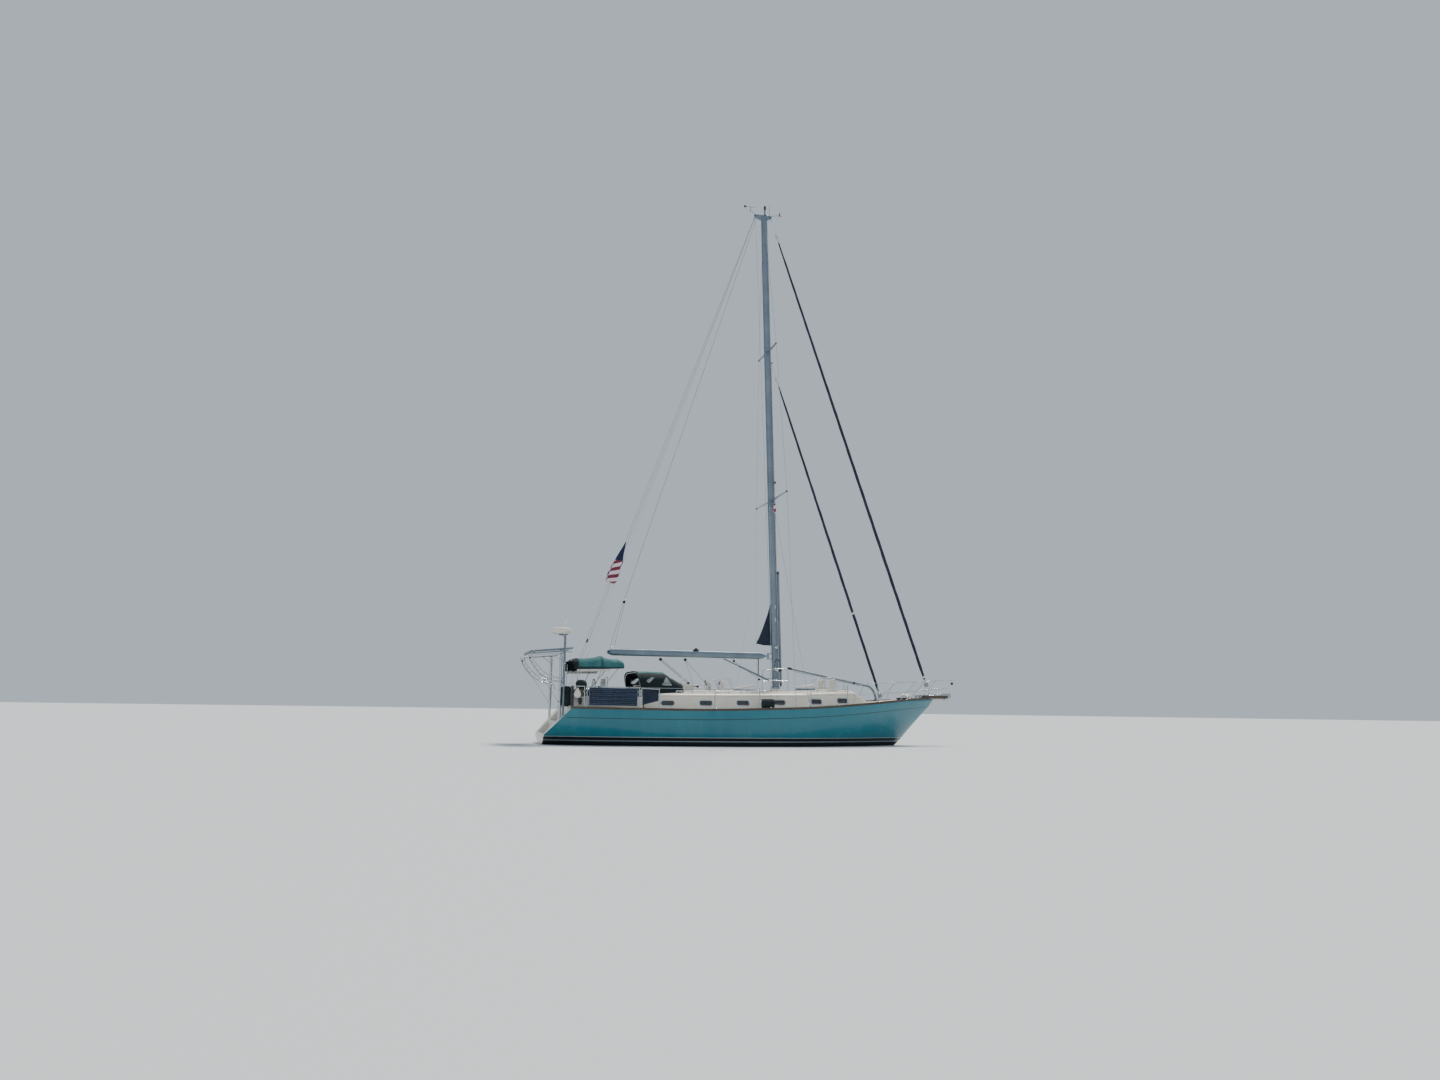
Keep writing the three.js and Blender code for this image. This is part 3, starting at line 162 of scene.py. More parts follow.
# Studio light. A pale sky all round, a broad high key from behind the port bow, which leaves the
# near side in soft shade as the sun does, and a wide weak fill from the camera's side.
world = bpy.data.worlds.new("studio_sky")
world.use_nodes = True
sky = world.node_tree.nodes["Background"]
sky.inputs["Color"].default_value = paint(214, 226, 238)
sky.inputs["Strength"].default_value = 0.72
bpy.context.scene.world = world
for name, strength, spread, colour, pointing in (
    ("key_light", 3.8, 14, (255, 249, 238), (-0.35, -0.42, -1.0)),
    ("fill_light", 0.22, 70, (236, 243, 252), (0.25, 1.0, -0.35)),
):
    lamp_data = bpy.data.lights.new(name, "SUN")
    lamp_data.energy, lamp_data.angle = strength, math.radians(spread)
    lamp_data.color = paint(*colour)[:3]
    placed(name, lamp_data).rotation_euler = Vector(pointing).to_track_quat("-Z", "Y").to_euler()


# Hull. A glass-fibre moulding with full bilges, a raked stem and a sloping transom, sprayed sea green
# over a black boot top with two pale lines. A dark cove stripe runs below the sheer.
# Columns: x, half-breadth at the sheer, height of the sheer, bottom, fullness of the section.
hull_lines = [
    (-5.75, 1.480, 1.040, -0.020, 0.88), (-4.90, 1.640, 1.031, -0.150, 0.93),
    (-3.90, 1.860, 1.019, -0.300, 0.97), (-2.60, 2.045, 1.011, -0.460, 1.00),
    (-1.00, 2.150, 1.013, -0.590, 1.00), (0.60, 2.165, 1.054, -0.635, 0.97),
    (2.00, 2.085, 1.105, -0.620, 0.86), (3.20, 1.900, 1.180, -0.545, 0.68),
    (4.20, 1.620, 1.262, -0.430, 0.50), (5.10, 1.225, 1.340, -0.235, 0.34),
    (5.70, 0.890, 1.392, 0.000, 0.24), (6.35, 0.515, 1.440, 0.655, 0.12), (7.02, 0.110, 1.480, 1.330, 0.00),
]
deck_plate = 0.04
deck_camber = 0.06
sheer_lip = 0.004


def along(table, x, column):
    """A column's value at x, on a smooth curve through the table's rows."""
    last = len(table) - 1
    i = next((k - 1 for k, row in enumerate(table) if row[0] > x), last - 1)
    i = max(i, 0)

    def slope(k):
        a, b = table[max(k - 1, 0)], table[min(k + 1, last)]
        return (b[column] - a[column]) / (b[0] - a[0])

    p, q = table[i], table[i + 1]
    h = q[0] - p[0]
    t = (x - p[0]) / h
    rise = t * (1 - t) ** 2 * h * slope(i) - t * t * (1 - t) * h * slope(i + 1)
    return p[column] + (q[column] - p[column]) * t * t * (3 - 2 * t) + rise


def sheer_half(x):
    return along(hull_lines, x, 1)


def sheer_height(x):
    return along(hull_lines, x, 2)


def deck_top(x, y):
    share = min(abs(y) / sheer_half(x), 1)
    return sheer_height(x) + deck_camber * (1 - share * share)


class Shape:
    """Points and faces gathered for one piece, each face with its place in the piece's materials."""

    def __init__(self):
        self.points, self.faces, self.finishes = [], [], []

    def add(self, points, faces, finish=0):
        first = len(self.points)
        self.points += [tuple(p) for p in points]
        self.faces += [tuple(first + i for i in face) for face in faces]
        self.finishes += [finish] * len(faces)


def skin(shape, rings, finish=0, closed=True, ends=True):
    """Faces between rings of points with the same count, as a closed body unless told otherwise."""
    count = len(rings[0])
    wide = count if closed else count - 1
    faces = [
        (s * count + i, s * count + (i + 1) % count, (s + 1) * count + (i + 1) % count, (s + 1) * count + i)
        for s in range(len(rings) - 1) for i in range(wide)
    ]
    if closed and ends:
        last = (len(rings) - 1) * count
        faces += [tuple(reversed(range(count))), tuple(range(last, last + count))]
    shape.add([p for ring in rings for p in ring], faces, finish)


def smoothed(mesh, crease):
    """The mesh, smooth but for its edges sharper than the crease, in degrees."""
    mesh.shade_smooth()
    mesh.set_sharp_from_angle(angle=math.radians(crease))
    return mesh


def build(shape, crease=38):
    """The mesh of a gathered shape, faces outward, smooth between its creases."""
    mesh = bpy.data.meshes.new("form")
    mesh.from_pydata(shape.points, [], shape.faces)
    mesh.polygons.foreach_set("material_index", shape.finishes)
    turner = bmesh.new()
    turner.from_mesh(mesh)
    bmesh.ops.remove_doubles(turner, verts=turner.verts, dist=0.00001)
    bmesh.ops.recalc_face_normals(turner, faces=turner.faces)
    turner.to_mesh(mesh)
    turner.free()
    return smoothed(mesh, crease)


def dressed(mesh, finishes):
    """Gives a mesh its list of finishes, each face keeping its place in the list."""
    finish_of = [face.material_index for face in mesh.polygons]
    mesh.materials.clear()
    for one in finishes:
        mesh.materials.append(one)
    mesh.polygons.foreach_set("material_index", finish_of)


def fit(mesh, name, finishes, body="yacht", stands_for=()):
    """Makes a mesh a finished piece that rides on a body."""
    piece = placed(name, mesh)
    mesh.name = name
    dressed(mesh, finishes)
    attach(piece, body)
    if stands_for:
        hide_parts(*stands_for)
    return piece


def carved(mesh, cutters, crease=38):
    """The mesh with each closed cutter taken out of it. A cutter's faces keep their own finish."""
    body = placed("uncut", mesh)
    tools = [placed("cutter", build(shape)) for shape in cutters]
    for tool in tools:
        modifier = body.modifiers.new("Carve", "BOOLEAN")
        modifier.operation, modifier.solver, modifier.object = "DIFFERENCE", "EXACT", tool
    result = bpy.data.meshes.new_from_object(body.evaluated_get(bpy.context.evaluated_depsgraph_get()))
    for gone in (body, *tools):
        bpy.data.objects.remove(gone)
    return smoothed(result, crease)


def across(outline, half, finish=0):
    """A closed body from an outline of x and z, as wide as twice the half-width."""
    shape = Shape()
    skin(shape, [[(x, y, z) for x, z in outline] for y in (-half, half)], finish)
    return shape


def upright(outline, low, high, finish=0):
    """A closed body from an outline of x and y, between two heights."""
    shape = Shape()
    skin(shape, [[(x, y, z) for x, y in outline] for z in (low, high)], finish)
    return shape


def half_section(x, count):
    """Points from the keel line out to the sheer: distance from the centreline, and height."""
    half, top = sheer_half(x), sheer_height(x) - deck_plate
    bottom, full = along(hull_lines, x, 3), along(hull_lines, x, 4)
    rise = top - bottom
    corners = [
        (0, bottom), (half * (0.26 + 0.56 * full), bottom + rise * (0.22 - 0.18 * full)),
        (half * (0.66 + 0.38 * full), bottom + rise * (0.72 - 0.37 * full)), (half, top),
    ]
    points = []
    for t in np.linspace(0, 1, count):
        weights = ((1 - t) ** 3, 3 * t * (1 - t) ** 2, 3 * t * t * (1 - t), t ** 3)
        points.append(tuple(sum(w * c[k] for w, c in zip(weights, corners)) for k in (0, 1)))
    return points


def hull_ring(x):
    sheer = sheer_height(x)
    side = half_section(x, 26)
    half = side[-1][0]
    side[-1] = (half + sheer_lip, sheer - deck_plate)
    side += [
        (half + sheer_lip, sheer + 0.003), (half - 0.012, sheer + 0.003),
        (half - 0.012, sheer - deck_plate),
    ]
    port = [(x, y, z) for y, z in side]
    return port + [(x, -y, z) for y, z in reversed(side[1:])]


# A group used by most finishes: broad patches, runs of rain and dirt down a side, and fine specks.
weather = bpy.data.node_groups.new("weather", "ShaderNodeTree")
for label, start in (("Patch Size", 1.5), ("Run Size", 5.0)):
    weather.interface.new_socket(label, in_out="INPUT", socket_type="NodeSocketFloat").default_value = start
for label in ("Patches", "Runs", "Specks"):
    weather.interface.new_socket(label, in_out="OUTPUT", socket_type="NodeSocketFloat")
entry = put(weather, "NodeGroupInput")
place = put(weather, "ShaderNodeTexCoord").outputs["Object"]
patches = put(weather, "ShaderNodeTexNoise", links=[
    ("Vector", place), ("Scale", entry.outputs["Patch Size"]), ("Detail", 6.0), ("Roughness", 0.62),
])
drawn_down = put(weather, "ShaderNodeMapping", links=[("Vector", place), ("Scale", (1.0, 1.0, 0.07))])
runs = put(weather, "ShaderNodeTexNoise", links=[
    ("Vector", drawn_down.outputs[0]), ("Scale", entry.outputs["Run Size"]), ("Detail", 4.0),
])
specks = put(weather, "ShaderNodeTexNoise", links=[("Vector", place), ("Scale", 90.0), ("Detail", 2.0)])
put(weather, "NodeGroupOutput", links=[
    ("Patches", between(weather, patches.outputs["Fac"], 0.36, 0.66)),
    ("Runs", between(weather, runs.outputs["Fac"], 0.48, 0.72)),
    ("Specks", between(weather, specks.outputs["Fac"], 0.4, 0.6)),
])


def weathered(tree, patch_size, run_size):
    """The marks of the weather group, as its outputs by name."""
    node = put(tree, "ShaderNodeGroup", node_tree=weather)
    node.inputs["Patch Size"].default_value = patch_size
    node.inputs["Run Size"].default_value = run_size
    return node.outputs


def stained(tree, ground, mark, share, *shade):
    """The ground's colour with a share of a shade over it wherever the mark is."""
    return blend_colours(tree, between(tree, mark, 0, 1, 0, share), ground, paint(*shade))


def roughened(tree, shader, mark, low, high):
    """Lets a finish's roughness drift between two values with the mark."""
    tree.links.new(between(tree, mark, 0, 1, low, high), shader.inputs["Roughness"])


def bump(tree, shader, height, distance, strength):
    """Gives a finish its fine relief from a socket of heights."""
    relief = put(tree, "ShaderNodeBump", links=[
        ("Height", height), ("Distance", distance), ("Strength", strength),
    ])
    tree.links.new(relief.outputs["Normal"], shader.inputs["Normal"])


hull_gelcoat, tree, shader = surface(
    "hull_gelcoat", (42, 116, 130), 0.24, Coat_Weight=0.12, Coat_Roughness=0.12, Specular_IOR_Level=0.35,
)
height = put(tree, "ShaderNodeSeparateXYZ", links=[
    ("Vector", put(tree, "ShaderNodeTexCoord").outputs["Object"])
])
marks = weathered(tree, 0.8, 3.0)
sprayed = blend_colours(tree, marks["Patches"], paint(36, 112, 127), paint(45, 121, 134))
sprayed = stained(tree, sprayed, marks["Runs"], 0.10, 90, 140, 148)
band_low, band_high = -0.8, 1.6
boot_foot, topsides_foot = 0.125, 0.262
bands = put(tree, "ShaderNodeValToRGB", links=[
    ("Fac", between(tree, height.outputs["Z"], band_low, band_high)),
])
bands.color_ramp.interpolation = "CONSTANT"
# Heights from which each band starts: antifouling, pale line, boot top, pale line, topsides.
for index, (start, shade) in enumerate((
    (band_low, (17, 29, 40)), (boot_foot, (150, 162, 164)), (0.148, (12, 17, 24)),
    (0.236, (156, 168, 168)), (topsides_foot, (0, 0, 0)),
)):
    stop = bands.color_ramp.elements[0] if index == 0 else bands.color_ramp.elements.new(0.5)
    stop.position = (start - band_low) / (band_high - band_low)
    stop.color = paint(*shade)
bands.color_ramp.elements.remove(bands.color_ramp.elements[-1])
topsides = sums(tree, "GREATER_THAN", height.outputs["Z"], topsides_foot)
striped = blend_colours(tree, topsides, bands.outputs["Color"], sprayed)
drop = put(tree, "ShaderNodeAttribute", attribute_name="sheer_drop").outputs["Fac"]
cove_depth, cove_half = 0.245, 0.011
on_cove = sums(tree, "COMPARE", drop, cove_depth, cove_half)
on_cove = sums(tree, "MULTIPLY", on_cove, sums(tree, "GREATER_THAN", height.outputs["X"], -5.05))
on_cove = sums(tree, "MULTIPLY", on_cove, sums(tree, "LESS_THAN", height.outputs["X"], 6.86))
striped = blend_colours(tree, on_cove, striped, paint(22, 62, 66))
tree.links.new(striped, shader.inputs["Base Color"])
dull = between(tree, marks["Patches"], 0, 1, 0.17, 0.30)
under = sums(tree, "LESS_THAN", height.outputs["Z"], boot_foot)
tree.links.new(sums(tree, "ADD", dull, sums(tree, "MULTIPLY", under, 0.45)), shader.inputs["Roughness"])
swell = put(tree, "ShaderNodeTexNoise", links=[("Scale", 1.3), ("Detail", 1.0)])
bump(tree, shader, swell.outputs["Fac"], 0.004, 0.35)

moulding, tree, shader = surface(
    "deck_moulding", (226, 221, 208), 0.34, Coat_Weight=0.25, Coat_Roughness=0.15,
)
marks = weathered(tree, 2.2, 7.0)
aged = blend_colours(tree, marks["Patches"], paint(221, 216, 204), paint(233, 229, 218))
aged = stained(tree, aged, marks["Runs"], 0.22, 186, 178, 160)
aged = stained(tree, aged, marks["Specks"], 0.05, 150, 140, 122)
tree.links.new(aged, shader.inputs["Base Color"])
roughened(tree, shader, marks["Patches"], 0.28, 0.42)
bump(tree, shader, marks["Specks"], 0.0004, 0.3)

steps_half = 0.90
behind_transom = [
    (-5.56, -0.30), (-5.63, 0.20), (-5.62, 0.30), (-4.93, 1.03), (-4.60, 1.39), (-6.30, 1.39), (-6.30, -0.30),
]
steps_recess = [(-5.80, 0.29), (-5.24, 0.29), (-5.24, 0.64), (-4.89, 0.64), (-4.89, 1.40), (-5.80, 1.40)]
cockpit_well = [(-4.43, -0.42), (-2.90, -0.42), (-2.90, 0.42), (-4.43, 0.42)]
cabin_well = [(-2.64, -1.05), (2.10, -1.05), (3.90, -0.56), (3.90, 0.56), (2.10, 1.05), (-2.64, 1.05)]
hull_stations = [*np.linspace(-5.75, 5.7, 90), *np.linspace(5.82, 7.02, 12)]
canoe_body = Shape()
skin(canoe_body, [hull_ring(x) for x in hull_stations])
hull_mesh = carved(build(canoe_body), [
    across(behind_transom, 2.5, 1), across(steps_recess, steps_half, 1),
    upright(cockpit_well, 0.60, 1.5, 1), upright(cabin_well, -0.12, 1.5, 1),
], 30)
sheer_drop = hull_mesh.attributes.new("sheer_drop", "FLOAT", "POINT")
sheer_drop.data.foreach_set("value", [sheer_height(v.co.x) - v.co.z for v in hull_mesh.vertices])
fit(hull_mesh, "moulded_hull", [hull_gelcoat, moulding], stands_for=["hull"])

# Below the water. A long encapsulated keel with a raised forefoot, a foil rudder hung on a stock and
# a heel, and a three-bladed bronze propeller in the aperture between them; keel and rudder are under
# antifouling paint.
def box(shape, low, high, finish=0):
    """A plain block from its lowest to its highest corner. Its edges are eased when it is built."""
    (x0, y0, z0), (x1, y1, z1) = low, high
    skin(shape, [
        [(x, y0, z0), (x, y1, z0), (x, y1, z1), (x, y0, z1)] for x in (x0, x1)
    ], finish)


def turned(shape, foot, direction, profile, finish=0, sides=28):
    """A body turned about a line from a foot point. The profile lists radius and distance along it."""
    axis = Vector(direction).normalized()
    side = axis.orthogonal().normalized()
    other = axis.cross(side)
    angles = turns(sides)

    def ring(radius, reach):
        middle = Vector(foot) + axis * reach
        return [middle + (side * math.cos(a) + other * math.sin(a)) * radius for a in angles]

    rings = [ring(r, h) for r, h in profile if r > 0]
    points = [p for one in rings for p in one]
    last = (len(rings) - 1) * sides
    faces = [
        (s * sides + i, s * sides + (i + 1) % sides, (s + 1) * sides + (i + 1) % sides, (s + 1) * sides + i)
        for s in range(len(rings) - 1) for i in range(sides)
    ]
    for (radius, reach), start, order in ((profile[0], 0, -1), (profile[-1], last, 1)):
        if radius > 0:
            faces.append(tuple(range(start, start + sides))[::order])
        else:
            points.append(Vector(foot) + axis * reach)
            tip = len(points) - 1
            faces += [(start + i, start + (i + 1) % sides, tip)[::order] for i in range(sides)]
    shape.add(points, faces, finish)


def tube(shape, points, radius, finish=0, sides=10, loop=False):
    """A round bar along points. The radius is one number, or one for each point."""
    path = [Vector(p) for p in points]
    count = len(path)
    radii = radius if isinstance(radius, (list, tuple, np.ndarray)) else [radius] * count
    heading = (path[1] - path[0]).normalized()
    side = heading.orthogonal().normalized()
    rings = []
    for i, point in enumerate(path):
        before = path[i - 1] if i or loop else path[0]
        after = path[(i + 1) % count] if i + 1 < count or loop else path[-1]
        heading = (after - before).normalized()
        side = (side - heading * side.dot(heading)).normalized()
        other = heading.cross(side)
        rings.append([
            point + (side * math.cos(a) + other * math.sin(a)) * radii[i]
            for a in turns(sides)
        ])
    if loop:
        rings.append(rings[0])
    skin(shape, rings, finish, ends=not loop)


def eased(points, steps=6):
    """Points on a smooth curve through the given ones."""
    row = [Vector(p) for p in points]
    row = [row[0] * 2 - row[1], *row, row[-1] * 2 - row[-2]]
    smooth = []
    for i in range(1, len(row) - 2):
        a, b, c, d = row[i - 1:i + 3]
        for t in np.linspace(0, 1, steps + 1)[:-1]:
            point = b * 2 + (c - a) * t + (a * 2 - b * 5 + c * 4 - d) * t * t
            smooth.append((point + (b * 3 - a - c * 3 + d) * t ** 3) / 2)
    return [*smooth, row[-2]]


def softened(mesh, width, corner=30, segments=2):
    """The mesh with its sharp edges rounded by a width."""
    shaper = bmesh.new()
    shaper.from_mesh(mesh)
    bmesh.ops.remove_doubles(shaper, verts=shaper.verts, dist=1e-5)
    sharp = [
        e for e in shaper.edges
        if len(e.link_faces) == 2 and e.calc_face_angle(0) > math.radians(corner)
    ]
    bmesh.ops.bevel(
        shaper, geom=sharp, offset=width, segments=segments, profile=0.5, affect="EDGES", clamp_overlap=True,
    )
    shaper.to_mesh(mesh)
    shaper.free()
    return smoothed(mesh, 50)


def drifting(first, second, sizes, *look, **fixed):
    """A finish, as surface makes it, that drifts in patches between two shades. Sizes are of the marks."""
    made, tree, shader = surface(*look, **fixed)
    marks = weathered(tree, *sizes)
    drift = blend_colours(tree, marks["Patches"], paint(*first), paint(*second))
    tree.links.new(drift, shader.inputs["Base Color"])
    return made, tree, shader, marks


antifouling, tree, shader = surface("bottom_paint", (24, 38, 52), 0.78)
marks = weathered(tree, 1.2, 2.0)
growth = put(tree, "ShaderNodeTexNoise", links=[("Scale", 11.0), ("Detail", 6.0), ("Roughness", 0.7)])
painted = blend_colours(tree, marks["Patches"], paint(20, 33, 47), paint(33, 49, 62))
painted = blend_colours(
    tree, between(tree, growth.outputs["Fac"], 0.55, 0.75, 0, 0.5), painted, paint(58, 66, 54),
)
tree.links.new(painted, shader.inputs["Base Color"])
bump(tree, shader, growth.outputs["Fac"], 0.002, 0.5)
bronze, tree, shader, marks = drifting(
    (120, 84, 44), (156, 122, 70), (9.0, 12.0), "bronze", (141, 106, 58), 0.38, 1.0,
)
roughened(tree, shader, marks["Specks"], 0.3, 0.5)

# Columns: x, bottom, half-thickness low down, half-thickness at the hull.
keel_table = [
    (4.75, -0.48, 0.022, 0.040), (4.15, -0.82, 0.045, 0.090), (3.40, -1.14, 0.075, 0.150),
    (2.50, -1.40, 0.110, 0.220), (1.50, -1.519, 0.140, 0.280), (1.40, -1.52, 0.142, 0.285),
    (-0.40, -1.52, 0.165, 0.330), (-2.20, -1.52, 0.140, 0.270), (-3.30, -1.52, 0.085, 0.150),
    (-3.85, -1.52, 0.040, 0.060),
]
keel_head, keel_floor = -0.15, -1.52
keel_lookup = keel_table[::-1]


def keel_ring(x):
    low, high = along(keel_lookup, x, 2), along(keel_lookup, x, 3)
    bottom = max(along(keel_lookup, x, 1), keel_floor)
    side = [(low * 0.6, bottom), (low, bottom + 0.03)]
    side += [
        (low + (high - low) * share ** 1.4, bottom + 0.03 + (keel_head - bottom - 0.03) * share)
        for share in np.linspace(0.15, 1, 8)
    ]
    return [(x, y, z) for y, z in side] + [(x, -y, z) for y, z in reversed(side)]


keel = Shape()
skin(keel, [keel_ring(x) for x in np.linspace(4.75, -3.85, 48)])
box(keel, (-4.68, -0.032, keel_floor), (-3.70, 0.032, keel_floor + 0.08))
fit(softened(build(keel), 0.008), "long_keel", [antifouling], stands_for=["keel"])

rudder_axis = -4.55
rudder = Shape()
# Columns: height, chord behind the axis, scale of the thickness.
rudder_rows = [
    (-1.425, 0.700, 0.80), (-1.38, 0.735, 1.0), (-1.0, 0.770, 1.0), (-0.60, 0.700, 1.0),
    (-0.31, 0.620, 1.0),
]
rudder_rings = []
for z, chord, thick in rudder_rows:
    outline = []
    for turn in turns(32):
        share = (1 - math.cos(turn)) / 2
        foil = 0.052 * thick * (2.6 * math.sqrt(share) * (1 - share) + 0.12 * share)
        outline.append((rudder_axis + 0.07 - (chord + 0.07) * share, math.copysign(foil, math.pi - turn), z))
    rudder_rings.append(outline)
skin(rudder, rudder_rings)
turned(rudder, (rudder_axis, 0, -0.42), (0, 0, 1), [(0.032, 0), (0.032, 0.62)], sides=20)
fit(build(rudder), "foil_rudder", [antifouling], "rudder", ["rudder"])

shaft_z, hub_x = -0.83, -4.11
screw = Shape()
turned(screw, (hub_x - 0.11, 0, shaft_z), (1, 0, 0), [
    (0, 0), (0.018, 0.004), (0.032, 0.025), (0.046, 0.070), (0.049, 0.120), (0.046, 0.170), (0.032, 0.200),
    (0.022, 0.210), (0.022, 0.56), (0, 0.56),
], 0, 24)
blade_pitch, blade_root, blade_tip = 0.30, 0.040, 0.227
for blade_turn in turns(3):
    rings = []
    for share in np.linspace(0, 1, 12):
        reach = blade_root + (blade_tip - blade_root) * share
        chord = 0.030 + 0.072 * math.sin(math.pi * min(share * 0.78 + 0.18, 1)) ** 0.8
        slant = math.atan2(blade_pitch, 2 * math.pi * reach)
        ring = []
        for turn in turns(12):
            lead, thick = chord * math.cos(turn), (0.008 - 0.005 * share) * math.sin(turn)
            x = lead * math.sin(slant) + thick * math.cos(slant)
            swing = (lead * math.cos(slant) - thick * math.sin(slant)) / reach
            ring.append((
                hub_x + x, reach * math.sin(blade_turn + swing),
                shaft_z + reach * math.cos(blade_turn + swing),
            ))
        rings.append(ring)
    skin(screw, rings)
fit(build(screw), "three_blade_propeller", [bronze], "prop", ["propeller"])

engine_paint = drifting((44, 54, 64), (60, 70, 80), (6.0, 8.0), "engine_paint", (46, 56, 66), 0.5, 0.2)[0]
dressed(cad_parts["engine"].data, [engine_paint])


# Deck. One cambered moulding inside the sheer, smooth along its edges and round the fittings, with
# panels of fine raised diamonds to walk on, and plates for the shrouds let through it.
def non_skid(name, smooth_shade, tread_shade):
    """A moulded finish that turns to raised diamonds where the attribute called tread is over a half."""
    made, tree, shader = surface(name, smooth_shade, 0.4)
    marks = weathered(tree, 1.8, 4.0)
    tread = put(tree, "ShaderNodeAttribute", attribute_name="tread").outputs["Fac"]
    on_tread = between(tree, tread, 0.48, 0.52)
    facing = put(tree, "ShaderNodeSeparateXYZ", links=[
        ("Vector", put(tree, "ShaderNodeNewGeometry").outputs["Normal"]),
    ])
    on_tread = sums(tree, "MULTIPLY", on_tread, sums(tree, "GREATER_THAN", facing.outputs["Z"], 0.8))
    turn = put(tree, "ShaderNodeMapping", links=[
        ("Vector", put(tree, "ShaderNodeTexCoord").outputs["Object"]), ("Rotation", (0, 0, math.radians(45))),
    ])
    rows = [
        put(tree, "ShaderNodeTexWave", links=[
            ("Vector", turn.outputs[0]), ("Scale", 42.0),
        ], bands_direction=way)
        for way in ("X", "Y")
    ]
    studs = sums(tree, "MULTIPLY", rows[0].outputs["Fac"], rows[1].outputs["Fac"])
    moulded = blend_colours(
        tree, marks["Patches"], paint(*smooth_shade), paint(*(c + 8 for c in smooth_shade)),
    )
    gritty = blend_colours(tree, marks["Patches"], paint(*tread_shade), paint(*(c + 12 for c in tread_shade)))
    gritty = blend_colours(
        tree, sums(tree, "MULTIPLY", studs, 0.35), gritty, paint(*(c - 40 for c in tread_shade)),
    )
    both = blend_colours(tree, on_tread, moulded, gritty)
    both = stained(tree, both, marks["Runs"], 0.18, 150, 144, 128)
    tree.links.new(both, shader.inputs["Base Color"])
    tree.links.new(between(tree, on_tread, 0, 1, 0.34, 0.8), shader.inputs["Roughness"])
    bump(tree, shader, sums(tree, "MULTIPLY", studs, on_tread), 0.0012, 0.8)
    return made


deck_finish = non_skid("deck_non_skid", (222, 217, 204), (196, 191, 176))

# Cabin trunk in plan. Columns: x, half-width at the deck, height of the wall's top.
trunk_aft, trunk_fore = -2.75, 4.02
trunk_plan = [
    (trunk_aft, 1.300, 1.430), (-1.40, 1.420, 1.440), (0.10, 1.470, 1.460), (1.40, 1.440, 1.485),
    (2.15, 1.385, 1.500), (2.33, 1.320, 1.510), (2.42, 1.200, 1.520), (2.58, 1.140, 1.530),
    (3.40, 1.040, 1.560), (trunk_fore, 0.900, 1.575),
]
front_foot_x, front_foot_half = 4.48, 0.76
trunk_lean, wall_thickness = 0.060, 0.055


def trunk_at(x):
    """Outside of the trunk at x: half-width, top of the wall, and the direction square to it, inward."""
    half, step = along(trunk_plan, x, 1), 0.02
    turn = Vector((along(trunk_plan, x + step, 1) - along(trunk_plan, x - step, 1), -2 * step)).normalized()
    return half, along(trunk_plan, x, 2), turn


def wall_point(x, side, offset, z):
    half, _, inward = trunk_at(x)
    return x + inward.x * offset, side * (half + inward.y * offset), z


def deck_ring(x):
    half = sheer_half(x)
    under = sheer_height(x) - deck_plate + 0.0003
    top = [(x, s * half, deck_top(x, s * half)) for s in np.linspace(1, -1, 29)]
    return [(x, -half, under), (x, half, under), *top]


deck_shape = Shape()
skin(deck_shape, [deck_ring(x) for x in hull_stations])
inside_trunk = [wall_point(x, 1, wall_thickness + 0.005, 0)[:2] for x in np.linspace(-2.70, 4.0, 60)]
inside_trunk = [(min(x, 3.96), y) for x, y in inside_trunk]
trunk_opening = upright([*inside_trunk, *[(x, -y) for x, y in reversed(inside_trunk)]], 0.5, 2.5)
deck_mesh = carved(build(deck_shape), [
    across(behind_transom, 2.5), across(steps_recess, steps_half), upright(cockpit_well, 0.6, 1.5),
    trunk_opening,
])
break_pitch, break_half = 1.62, 0.035


def deck_tread(x, y):
    """1 inside a walking panel, 0 on the smooth moulding, changing over 20 mm at the panel's edge."""
    inset = sheer_half(x) - abs(y) - 0.165
    if -4.6 < x < 4.55:
        beside = along(trunk_plan, min(max(x, trunk_aft), trunk_fore), 1) if x > trunk_aft else 1.40
        inset = min(inset, abs(y) - beside - 0.05)
    inset = min(inset, 6.45 - x, x + 4.70)
    nearest = (x + 0.3) % break_pitch
    inset = min(inset, min(nearest, break_pitch - nearest) - break_half)
    return min(max(0.5 + inset / 0.02, 0), 1)


def tread_attribute(mesh, rule):
    mesh.attributes.new("tread", "FLOAT", "POINT").data.foreach_set(
        "value", [rule(v.co.x, v.co.y) for v in mesh.vertices],
    )


def finer(mesh, edge, low=-9.0):
    """The mesh with its long upward faces cut smaller, so that a pattern's edge stays crisp."""
    cutter = bmesh.new()
    cutter.from_mesh(mesh)
    bmesh.ops.triangulate(cutter, faces=[f for f in cutter.faces if len(f.verts) > 4])
    for _ in range(3):
        long = {
            e for f in cutter.faces if f.normal.z > 0.8 and f.calc_center_median().z > low
            for e in f.edges if e.calc_length() > edge
        }
        bmesh.ops.subdivide_edges(cutter, edges=list(long), cuts=1, use_grid_fill=True)
    cutter.to_mesh(mesh)
    cutter.free()
    return smoothed(mesh, 38)


finer(deck_mesh, 0.07)
tread_attribute(deck_mesh, deck_tread)
fit(deck_mesh, "moulded_deck", [deck_finish], stands_for=["deck"])

stainless, tree, shader, marks = drifting(
    (184, 191, 196), (198, 204, 207), (14.0, 20.0), "stainless_steel", (188, 195, 199), 0.2, 1.0,
)
roughened(tree, shader, marks["Patches"], 0.17, 0.24)


def flange(shape, foot, direction, radius, edge, neck, height, finish=0, sides=28):
    """A round base plate that narrows from its edge to a neck."""
    turned(shape, foot, direction, [(radius, 0), (radius, edge), (neck, height), (0, height)], finish, sides)


